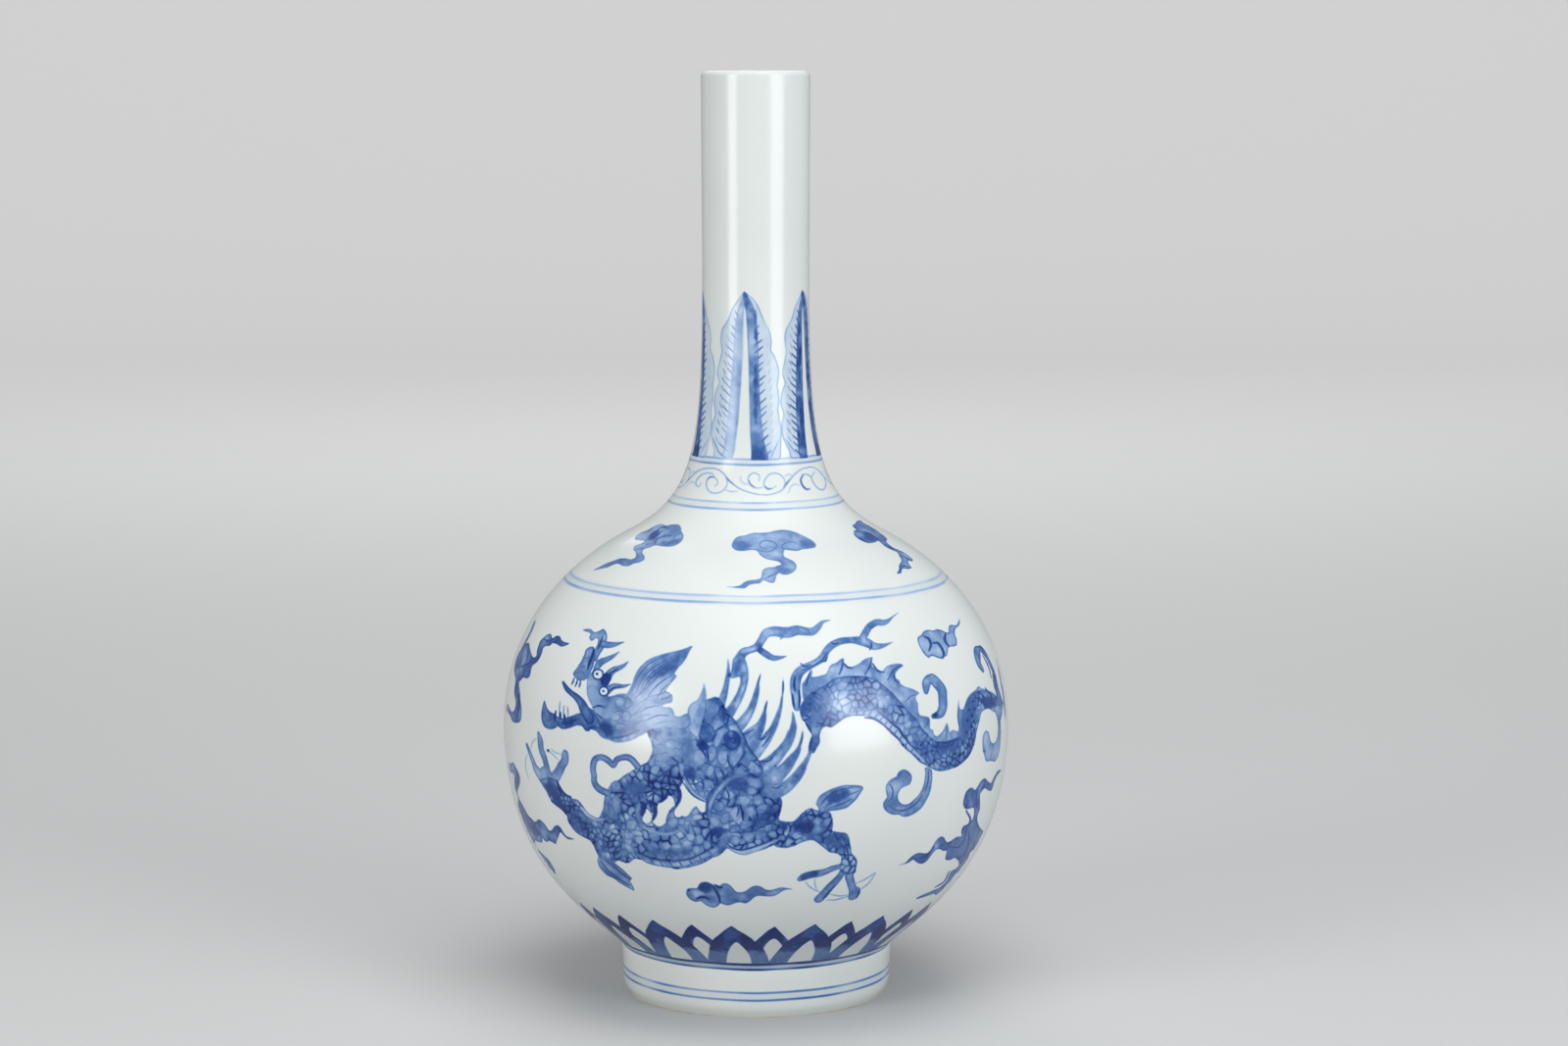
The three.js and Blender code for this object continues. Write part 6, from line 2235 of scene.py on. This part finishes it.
@dataclass
class GlazedWall:
    """A stretch of the vase's wall: a closed ring whose outside is refined where it is painted.

    Args:
        name: The piece's name.
        low, high: Heights of its lower and upper seam in millimetres.
        columns: Faces round the coarse ring.
        strips: How many strips its outside is cut into on its own map.
        painting: The painting that it carries.
        inside: Points (radius, height) down the inside, from the upper to the lower seam.
        underside: Points along the underside, from the middle to the lower seam, if it carries the floor.
    """

    name: str
    low: float
    high: float
    columns: int
    strips: int
    painting: PaintedVase
    inside: list
    underside: tuple = ()
    samples: tuple = (8, 6, 4)  # places looked at along a face's side, pass by pass
    limits: tuple = (0.06, 0.1, 0.15)  # change in cobalt over a face above which it is halved
    touch: float = 0.05  # how near to a seam's height a vertex lies on it
    skin: float = 1.2  # how far inside the outline a vertex still counts as outside
    always: float = 9.0  # a change above any limit
    most_triangles: int = 181000
    triangles_per_halving: float = 6.5
    map_gap: float = 0.006
    map_shelf: float = 0.93  # share of the map's height that the outside fills
    map_rim: float = 0.01

    @property
    def chart(self) -> Chart:
        """The chart of the vase's outside."""
        return self.painting.chart

    def outside(self) -> list:
        """Points up the outside, about as far apart as the faces are wide."""
        fine = np.linspace(self.low, self.high, 400)
        radius = self.chart.radius_at(fine)
        run = run_along(np.column_stack([fine, radius]))
        wide = TURN * radius.mean() / self.columns
        count = max(2, round(run[-1] / wide))
        heights = np.interp(np.linspace(0, run[-1], count + 1), run, fine)
        return [(float(self.chart.radius_at(h)), float(h)) for h in heights]

    def build(self, passes: int) -> bpy.types.Object:
        """Turns the ring, refines it and lays on its painting.

        Args:
            passes: How many times faces under a stroke's edge are halved.

        Returns:
            The finished mesh object, without material.
        """
        outline = [*self.underside, *self.outside(), *self.inside]
        piece = turn(self.name, outline, self.columns, closed=not self.underside)
        for level in range(passes):
            self.halve(piece, level)
        self.paint(piece)
        self.unwrap(piece)
        return piece

    def is_outside(self, points: np.ndarray) -> np.ndarray:
        """Which vertices lie on the outside of the wall."""
        away = np.hypot(points[:, 0], points[:, 1]) - self.chart.radius_at(points[:, 2])
        high_enough = points[:, 2] > self.low - self.touch
        return (away > -self.skin) & high_enough & (points[:, 2] < self.high + self.touch)

    def outside_faces(self, mesh: bpy.types.Mesh) -> tuple:
        """The four-sided faces outside.

        Args:
            mesh: The wall's mesh.

        Returns:
            Their numbers, and four rows with the vertices at their corners.
        """
        starts, totals, order = face_corners(mesh)
        out = self.is_outside(places(mesh))
        last = order[starts + np.minimum(totals - 1, 3)]
        sides = np.stack([order[starts], order[starts + 1], order[starts + 2], last])
        faces = np.nonzero(out[sides].all(axis=0) & (totals == 4))[0]
        return faces, sides[:, faces]

    def change(self, points: np.ndarray, sides: np.ndarray, samples: int) -> np.ndarray:
        """How much the painting changes over faces.

        Args:
            points: Places of the mesh's vertices.
            sides: Four rows with the vertices at the faces' corners.
            samples: How many places are looked at along a face's side.

        Returns:
            The change for each face, above any limit where it touches a seam.
        """
        azimuth = azimuths(points)[sides]
        turned = [beside(corner, azimuth[0]) for corner in azimuth]
        heights = points[sides, 2]
        lowest = np.full(sides.shape[1], self.always)
        highest = -lowest
        for s in np.linspace(0, 1, samples):
            for t in np.linspace(0, 1, samples):
                mix = ((1 - s) * (1 - t), s * (1 - t), s * t, (1 - s) * t)
                ink = self.painting.cobalt(sum(m * u for m, u in zip(mix, turned)),
                                           sum(m * h for m, h in zip(mix, heights)))
                lowest, highest = np.minimum(lowest, ink), np.maximum(highest, ink)
        at_low = heights.min(axis=0) < self.low + self.touch
        at_high = heights.max(axis=0) > self.high - self.touch
        return np.where(at_low | at_high, self.always, highest - lowest)

    def halve(self, piece: bpy.types.Object, level: int) -> None:
        """Halves the faces over which the painting changes, and those beside a seam."""
        mesh = piece.data
        faces, sides = self.outside_faces(mesh)
        change = self.change(places(mesh), sides, self.samples[level])
        triangles = len(mesh.loops) - 2 * len(mesh.polygons)
        room = int((self.most_triangles - triangles) / self.triangles_per_halving)
        if room < len(change):
            change[np.argsort(-change)[room:]] = 0
        mask = np.zeros(len(mesh.polygons), bool)
        mask[faces[change > self.limits[level]]] = True
        pick(piece)
        bpy.ops.object.mode_set(mode="EDIT")
        bpy.ops.mesh.select_mode(type="FACE")
        bpy.ops.mesh.select_all(action="DESELECT")
        bpy.ops.object.mode_set(mode="OBJECT")
        mesh.polygons.foreach_set("select", mask)
        bpy.ops.object.mode_set(mode="EDIT")
        bpy.ops.mesh.subdivide(number_cuts=1, smoothness=0)
        bpy.ops.object.mode_set(mode="OBJECT")
        self.seat(mesh)

    def seat(self, mesh: bpy.types.Mesh) -> None:
        """Puts the outside's vertices exactly on the turned form."""
        points = places(mesh)
        out = self.is_outside(points)
        radius = np.hypot(points[:, 0], points[:, 1])
        grow = np.where(out, self.chart.radius_at(points[:, 2]) / radius, 1)
        points[:, :2] *= grow[:, None]
        mesh.vertices.foreach_set("co", (points * MM).ravel())
        mesh.update()

    def paint(self, piece: bpy.types.Object) -> None:
        """Writes the cobalt at every vertex, and gives the outside its exact normals."""
        mesh = piece.data
        points = places(mesh)
        out = self.is_outside(points)
        azimuth = azimuths(points)
        ink = np.where(out, self.painting.cobalt(azimuth, points[:, 2]), 0)
        mesh.attributes.new("cobalt", "FLOAT", "POINT").data.foreach_set("value", ink.astype(np.float32))
        normals = np.empty(len(points) * 3)
        mesh.vertices.foreach_get("normal", normals)
        normals = normals.reshape(-1, 3)
        slope = self.chart.slope_at(points[:, 2])
        exact = np.stack([np.sin(azimuth), -np.cos(azimuth), -slope], 1) / np.hypot(1, slope)[:, None]
        normals = np.where(out[:, None], exact, normals)
        mesh.normals_split_custom_set_from_vertices(normals)

    def unwrap(self, piece: bpy.types.Object) -> None:
        """Lays the outside out in stacked strips of the circumference, with the inside above them."""
        mesh = piece.data
        points = places(mesh)
        azimuth = azimuths(points)
        starts, totals, order = face_corners(mesh)
        face = np.repeat(np.arange(len(starts)), totals)
        out = np.minimum.reduceat(self.is_outside(points)[order].astype(int), starts).astype(bool)[face]
        turned = beside(azimuth[order], azimuth[order[starts]][face])
        middle = np.add.reduceat(turned, starts) / totals
        wrap = np.floor((middle + math.pi) / TURN) * TURN
        share = (turned - wrap[face] + math.pi) / TURN
        strip = ((middle - wrap + math.pi) / TURN * self.strips).astype(int)
        strip = np.clip(strip, 0, self.strips - 1)[face]
        heights = np.linspace(self.low, self.high, 200)
        run = run_along(np.column_stack([heights, self.chart.radius_at(heights)]))
        up = np.interp(points[order, 2], heights, run / run[-1])
        room = 1 - 2 * self.map_gap
        outer = (self.map_gap + (share * self.strips - strip) * room,
                 (strip + self.map_gap + up * room) / self.strips * self.map_shelf)
        inner_room = 1 - self.map_shelf - 2 * self.map_rim
        inner = (self.map_gap + share * room,
                 self.map_shelf + self.map_rim + self.depth(points[order]) * inner_room)
        flat = np.stack([np.where(out, *pair) for pair in zip(outer, inner)], 1)
        layer = mesh.uv_layers.new(name="OFBake")
        layer.data.foreach_set("uv", flat.astype(np.float32).ravel())

    def depth(self, points: np.ndarray) -> np.ndarray:
        """How far each point lies along the inside, from 0 at the upper seam to 1 at the lower."""
        outside = self.outside()
        loop = np.array([outside[-1], *self.inside, *self.underside, outside[0]])
        run = run_along(loop)
        flat = np.column_stack([np.hypot(points[:, 0], points[:, 1]), points[:, 2]])
        best = np.full(len(points), np.inf)
        where = np.zeros(len(points))
        for a, b, start, end in zip(loop, loop[1:], run, run[1:]):
            way = b - a
            off = flat - a
            t = np.clip((off[:, 0] * way[0] + off[:, 1] * way[1]) / max((way**2).sum(), TINY), 0, 1)
            away = np.hypot(off[:, 0] - t * way[0], off[:, 1] - t * way[1])
            closer = away < best
            best = np.where(closer, away, best)
            where = np.where(closer, start + t * (end - start), where)
        return where / run[-1]


@dataclass(frozen=True)
class Bore:
    """The inside of the vase, from the edge of its floor to the top of the neck, in millimetres."""

    form: VaseForm
    floor_height: float = 24
    floor_radius: float = 37
    floor_angle: float = 24
    floor_handle: float = 20
    belly_wall: float = 5
    shoulder_wall: float = 4.6
    neck_wall: float = 3.9
    finger_ring: float = 0.3
    finger_pitch: float = 9
    finger_fade: tuple = (40, 12)  # over how much height they fade under the shoulder and over the floor

    def line(self) -> np.ndarray:
        """Points (radius, height) up the inside, with the rings that the potter's fingers leave."""
        form = self.form
        tilt = math.radians(form.shoulder_angle)
        edge = (self.floor_radius, self.floor_height)
        side = form.side(edge, handle(edge, math.radians(self.floor_angle), self.floor_handle),
                         (form.belly_radius - self.belly_wall, form.belly_height),
                         (form.shoulder_radius - self.shoulder_wall * math.sin(tilt),
                          form.shoulder_height - self.shoulder_wall * math.cos(tilt)),
                         (form.waist_radius - self.neck_wall, form.waist_height))
        top = np.array([(form.lip_radius - self.neck_wall, form.total_height - form.lip_round)])
        points = np.concatenate([side, top])
        height = points[:, 1]
        fade = np.clip((form.shoulder_height - height) / self.finger_fade[0], 0, 1)
        fade *= np.clip((height - self.floor_height) / self.finger_fade[1], 0, 1)
        points[:, 0] -= self.finger_ring * fade * (1 + np.cos(height * TURN / self.finger_pitch))
        return points

    def radius_at(self, height: np.ndarray) -> np.ndarray:
        """Radius of the inside at a height."""
        radius, heights = self.line().T
        return np.interp(height, heights, radius)

    def down(self, high: float, low: float, step: float = 2.2) -> list:
        """Points down the inside between two heights, ends included.

        Args:
            high, low: The heights.
            step: About how far apart the points lie.

        Returns:
            Points (radius, height).
        """
        heights = np.linspace(high, low, max(2, round((high - low) / step)) + 1)
        return [(float(self.radius_at(h)), float(h)) for h in heights]


@dataclass
class Foot:
    """The turned foot ring: bare where it stands, glazed and lined in blue on its side."""

    glaze_edge: float = 0.4
    glaze_fall: tuple = (0.15, 0.12)  # how far the clay steps in and down under the glaze's edge
    rim_outer: float = 46.7
    rim_inner: float = 43.7
    rim_round: float = 0.35
    bore: float = 42.7
    bore_middle: float = 8.0
    bevel: float = 0.9
    bevel_toe: float = 0.1
    columns: int = 256

    def build(self, kiln: Kiln) -> list:
        """Builds the rim and the side.

        Args:
            kiln: Finishes and mesh fineness.

        Returns:
            The two pieces.
        """
        radius = float(kiln.painting.chart.radius_at(self.glaze_edge))
        inward, down = self.glaze_fall
        soft = self.rim_round
        rim = turn("foot_rim", [
            (radius, self.glaze_edge), (radius - inward, self.glaze_edge - down),
            (self.rim_outer + soft * 0.5, soft * 0.6), (self.rim_outer, 0),
            ((self.rim_outer + self.rim_inner) / 2, 0), (self.rim_inner, 0),
            (self.rim_inner - soft * 0.5, soft * 0.3), (self.bore + self.bevel_toe, self.bevel),
            (self.bore, self.glaze_edge)], self.columns)
        kiln.shade_edges(rim)
        kiln.fire(rim, "bare_porcelain", "foot_ring")
        seam = kiln.form.foot_seam
        wall = GlazedWall("foot_side", self.glaze_edge, seam, self.columns, 1, kiln.painting,
                          [(self.bore, height) for height in (seam, self.bore_middle, self.glaze_edge)])
        side = wall.build(kiln.passes(2))
        kiln.fire(side, "painted_glaze", "foot_ring")
        return [rim, side]


@dataclass
class Belly:
    """The two bowls thrown for the belly, each painted in bands: petals, dragon and shoulder clouds."""

    lotus_top: float = 45
    claw_top: float = 71.5
    crest_root: float = 123
    dragon_top: float = 151
    floor_shares: tuple = (0.8, 0.6, 0.4, 0.2)
    floor_bottom: float = 17.5
    under_radii: tuple = (14, 28, 42.4)
    seam_radius: float = 47.0
    middle: float = 1.5
    columns: int = 256
    strips: int = 4

    def build(self, kiln: Kiln) -> list:
        """Builds the bands of the belly's wall.

        Args:
            kiln: Finishes and mesh fineness.

        Returns:
            The pieces, from the foot up.
        """
        form, bore = kiln.form, kiln.bore
        floor = [(bore.floor_radius * share, bore.floor_height) for share in self.floor_shares]
        floor.append((self.middle, bore.floor_height))
        under = [(radius, self.floor_bottom) for radius in (self.middle, *self.under_radii)]
        under.append((self.seam_radius, form.foot_seam))
        lotus = GlazedWall("lotus_band", form.foot_seam, self.lotus_top, self.columns, 2, kiln.painting,
                           bore.down(self.lotus_top, bore.floor_height) + floor, tuple(under))
        bands = [(lotus, "lower_belly")]
        for name, low, high, node in (
                ("claw_band", self.lotus_top, self.claw_top, "lower_belly"),
                ("lower_dragon_band", self.claw_top, form.belly_height, "lower_belly"),
                ("upper_dragon_band", form.belly_height, self.crest_root, "upper_belly"),
                ("crest_band", self.crest_root, self.dragon_top, "upper_belly"),
                ("shoulder_band", self.dragon_top, form.neck_root_height, "upper_belly")):
            inside = bore.down(high, low)
            wall = GlazedWall(name, low, high, self.columns, self.strips, kiln.painting, inside)
            bands.append((wall, node))
        pieces = []
        for wall, node in bands:
            piece = wall.build(kiln.passes(3))
            kiln.fire(piece, "painted_glaze", node)
            pieces.append(piece)
        return pieces


@dataclass
class Neck:
    """The two lengths thrown for the neck, the upper one with the rounded lip."""

    lip_steps: int = 6
    step: float = 5
    columns: int = 128

    def lip(self, kiln: Kiln) -> list:
        """Points over the rounded lip, from the outside to the bore."""
        form = kiln.form
        high, soft = form.total_height - form.lip_round, form.lip_round
        outer, inner = form.lip_radius - soft, float(kiln.bore.radius_at(high)) + soft
        turns = np.linspace(0, math.pi / 2, self.lip_steps + 1)
        points = [(outer + soft * math.cos(a), high + soft * math.sin(a)) for a in turns[1:]]
        return points + [(inner - soft * math.sin(a), high + soft * math.cos(a)) for a in turns]

    def build(self, kiln: Kiln) -> list:
        """Builds both lengths.

        Args:
            kiln: Finishes and mesh fineness.

        Returns:
            The two pieces, from the shoulder up.
        """
        form, bore = kiln.form, kiln.bore
        root, seam, high = form.neck_root_height, form.neck_seam_height, form.total_height - form.lip_round
        lower = GlazedWall("lower_neck_length", root, seam, self.columns, 2, kiln.painting,
                           bore.down(seam, root, self.step)).build(kiln.passes(3))
        upper = GlazedWall("upper_neck_length", seam, high, self.columns, 1, kiln.painting,
                           self.lip(kiln) + bore.down(high, seam, self.step)[1:]).build(kiln.passes(1))
        for piece, node in ((lower, "lower_neck"), (upper, "upper_neck")):
            kiln.fire(piece, "painted_glaze", node)
        return [lower, upper]


@dataclass
class SlipRidges:
    """The beads of slip squeezed out of the seams inside, and in the corner under the floor."""

    proud: float = 1.2
    half_height: float = 2.0
    bedded: float = 0.25
    back_depth: float = 0.3
    back_share: float = 0.8
    corner: tuple = ((43.0, 15.4), (42.55, 16.0), (42.2, 16.7), (41.6, 17.2), (41.0, 17.45), (41.0, 17.7),
                     (43.0, 17.7))
    front_points: int = 9
    columns: int = 96

    def ridge(self, name: str, seam: float, kiln: Kiln) -> bpy.types.Object:
        """One bead round the inside of a seam."""
        outline = []
        for share in np.linspace(-1, 1, self.front_points):
            height = float(seam + share * self.half_height)
            bed = float(kiln.bore.radius_at(height)) + self.bedded
            outline.append((bed - (self.proud + self.bedded) * (1 - share * share), height))
        for share in (1, 0, -1):
            height = float(seam + share * self.half_height * self.back_share)
            outline.append((float(kiln.bore.radius_at(height)) + self.bedded + self.back_depth, height))
        return turn(name, outline, self.columns)

    def build(self, kiln: Kiln) -> list:
        """Builds all four beads.

        Args:
            kiln: Finishes and mesh fineness.

        Returns:
            The beads, from the foot up.
        """
        beads = [(turn("foot_slip", list(self.corner), self.columns), "foot_luting")]
        for name, seam, node in (("belly_slip", kiln.form.belly_height, "belly_luting"),
                                 ("neck_root_slip", kiln.form.neck_root_height, "neck_root_luting"),
                                 ("neck_slip", kiln.form.neck_seam_height, "neck_luting")):
            beads.append((self.ridge(name, seam, kiln), node))
        for seed, (bead, node) in enumerate(beads):
            kiln.wipe(bead, seed)
            kiln.fire(bead, "luting_slip", node)
        return [bead for bead, _ in beads]


class Kiln:
    """Keeps the form, the painting and the finishes, and gives each piece its finish and its place."""

    dab = 0.2  # size of one dab of the belly's painting in millimetres
    crease = math.radians(50)
    unevenness = 0.16
    wiping = 0.5

    def __init__(self, quick: bool) -> None:
        """Mixes the finishes and paints the vase."""
        self.quick = quick
        self.form = VaseForm()
        self.bore = Bore(self.form)
        self.painting = PaintedVase(self.form, Eye(), self.dab)
        self.finishes = {
            "painted_glaze": PaintedGlaze().material(GlazeSkin().group(), CobaltWash().group()),
            "bare_porcelain": BarePorcelain().material(),
            "luting_slip": LutingSlip().material(),
        }

    def passes(self, wanted: int) -> int:
        """How often faces are halved: less often while the scene is only tried out."""
        return min(wanted, 1) if self.quick else wanted

    def shade_edges(self, piece: bpy.types.Object) -> None:
        """Shades a turned piece smooth up to its sharper edges."""
        pick(piece)
        bpy.ops.object.shade_smooth_by_angle(angle=self.crease)

    def wipe(self, piece: bpy.types.Object, seed: int) -> None:
        """Makes a bead a little uneven, as a wet finger leaves it."""
        pick(piece)
        bpy.ops.object.mode_set(mode="EDIT")
        bpy.ops.mesh.select_all(action="SELECT")
        bpy.ops.transform.vertex_random(offset=self.unevenness * MM, seed=seed)
        bpy.ops.mesh.vertices_smooth(factor=self.wiping, repeat=1)
        bpy.ops.object.mode_set(mode="OBJECT")

    def fire(self, piece: bpy.types.Object, finish: str, node: str) -> None:
        """Gives a piece its finish, and sets it in place of a solid.

        Args:
            piece: The piece.
            finish: Which of the kiln's finishes it gets.
            node: The solid that it replaces.
        """
        piece.data.materials.clear()
        piece.data.materials.append(self.finishes[finish])
        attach(piece, "root")
        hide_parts(node)


@dataclass(frozen=True)
class SoftBox:
    """A rectangular lamp with a cloth front, in metres and watts."""

    name: str
    place: tuple
    size: tuple
    power: float
    colour: tuple
    mirrored: bool = True  # whether the glaze shows its reflection

    def hang(self, target: tuple) -> None:
        """Hangs the lamp, facing a point."""
        bpy.ops.object.light_add(type="AREA", location=self.place)
        lamp = bpy.context.object
        lamp.name = self.name
        lamp.data.shape = "RECTANGLE"
        lamp.data.size, lamp.data.size_y = self.size
        lamp.data.energy = self.power
        lamp.data.color = self.colour
        lamp.visible_glossy = self.mirrored
        way = Vector(target) - Vector(self.place)
        lamp.rotation_euler = way.to_track_quat("-Z", "Y").to_euler()


@dataclass
class Studio:
    """Pale floor that sweeps up behind, soft lamps, and the camera where the photograph was taken."""

    floor_colour: tuple = linear(214, 214, 212)
    floor_roughness: float = 0.9
    floor_shine: float = 0.1
    half_width: float = 6.0
    near: float = -4.0
    far: float = 3.2
    sweep: float = 1.6
    sweep_steps: int = 16
    wall_top: float = 6.0
    world_colour: tuple = (0.93, 0.96, 1, 1)
    world_strength: float = 0.3
    bounce_colour: tuple = linear(176, 177, 180)
    glow: float = 0.62
    glow_from: float = 0.1
    glow_to: float = 3.0
    mirrored_share: float = 0.25
    sensor: float = 36
    lens: float = 81.55
    camera_place: tuple = (0.01005, -1.26436, 0.3202)
    camera_pitch: float = 6.806
    lamp_target: tuple = (0, 0, 0.16)
    lamps: tuple = (
        SoftBox("left_strip", (-1.3, -1.1, 0.5), (0.6, 0.95), 10.8, (1.0, 0.99, 0.97)),
        SoftBox("right_strip", (1.22, -1.15, 0.46), (0.89, 0.95), 12.8, (0.97, 0.985, 1.0)),
        SoftBox("overhead", (0.2, -0.5, 1.9), (1.4, 1.4), 18, (0.97, 0.99, 1.03), False),
        SoftBox("rear", (-0.1, 1.8, 1.5), (1.3, 1.3), 9, (1, 1, 1)))

    def floor(self) -> None:
        """The floor and the wall behind it, as one bent sheet."""
        bpy.ops.object.select_all(action="DESELECT")
        bpy.ops.mesh.primitive_plane_add(size=1)
        floor = bpy.context.object
        floor.name = "floor"
        bpy.ops.object.mode_set(mode="EDIT")
        bpy.ops.mesh.select_all(action="SELECT")
        bpy.ops.transform.resize(value=(2 * self.half_width, self.far - self.near, 1))
        bpy.ops.transform.translate(value=(0, (self.far + self.near) / 2, 0))
        bpy.ops.object.mode_set(mode="OBJECT")
        vertices = floor.data.vertices
        for vertex in vertices:
            vertex.select = vertex.co.y > 0
        for edge in floor.data.edges:
            edge.select = all(vertices[index].select for index in edge.vertices)
        for face in floor.data.polygons:
            face.select = False
        bpy.ops.object.mode_set(mode="EDIT")
        bpy.ops.mesh.select_mode(type="EDGE")
        angles = [math.pi / 2 * step / self.sweep_steps for step in range(self.sweep_steps + 1)]
        for a, b in zip(angles, angles[1:]):
            move = (0, self.sweep * (math.sin(b) - math.sin(a)), self.sweep * (math.cos(a) - math.cos(b)))
            bpy.ops.mesh.extrude_region_move(TRANSFORM_OT_translate={"value": move})
        bpy.ops.mesh.extrude_region_move(TRANSFORM_OT_translate={"value": (0, 0, self.wall_top)})
        bpy.ops.object.mode_set(mode="OBJECT")
        bpy.ops.object.shade_smooth()
        floor.data.materials.append(self.paper())

    def paper(self) -> bpy.types.Material:
        """Pale paper that throws little light back up, and stays pale where it rises behind."""
        material, nodes = start_material("pale_paper")
        path = nodes.add("ShaderNodeLightPath")
        dimmed = nodes.math("MULTIPLY", path.outputs["Is Glossy Ray"], self.mirrored_share)
        seen = nodes.math("MAXIMUM", path.outputs["Is Camera Ray"], dimmed)
        seen = nodes.math("MAXIMUM", seen, path.outputs["Is Transmission Ray"])
        place = nodes.add("ShaderNodeSeparateXYZ", {0: nodes.place()})
        back = nodes.add("ShaderNodeMapRange", {
            "Value": place.outputs["Y"], "From Min": self.glow_from, "From Max": self.glow_to,
            "To Min": 0.0, "To Max": self.glow}, interpolation_type="SMOOTHSTEP").outputs[0]
        nodes.finish({"Base Color": nodes.mix(self.bounce_colour, self.floor_colour, seen),
                      "Roughness": self.floor_roughness, "Specular IOR Level": self.floor_shine,
                      "Emission Color": self.floor_colour,
                      "Emission Strength": nodes.math("MULTIPLY", back, seen)})
        return material

    def camera(self) -> None:
        """Sets the camera up."""
        bpy.ops.object.camera_add(location=self.camera_place,
                                  rotation=(math.radians(90 - self.camera_pitch), 0, 0))
        camera = bpy.context.object
        camera.data.sensor_width = self.sensor
        camera.data.lens = self.lens
        bpy.context.scene.camera = camera

    def build(self) -> None:
        """Builds floor, lamps, world and camera."""
        self.floor()
        for lamp in self.lamps:
            lamp.hang(self.lamp_target)
        world = bpy.data.worlds.new("studio")
        world.use_nodes = True
        back = world.node_tree.nodes["Background"]
        back.inputs["Color"].default_value = self.world_colour
        back.inputs["Strength"].default_value = self.world_strength
        bpy.context.scene.world = world
        self.camera()


def main() -> None:
    """Builds the vase and the studio, and reports each piece."""
    logging.basicConfig(level=logging.INFO, format="%(name)s: %(message)s")
    Studio().build()
    kiln = Kiln(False)
    for assembly in (Foot(), Belly(), Neck(), SlipRidges()):
        for piece in assembly.build(kiln):
            log.info("%s: %d faces", piece.name, len(piece.data.polygons))
    bpy.context.scene.view_settings.view_transform = "Standard"


if __name__ == "__main__":
    main()
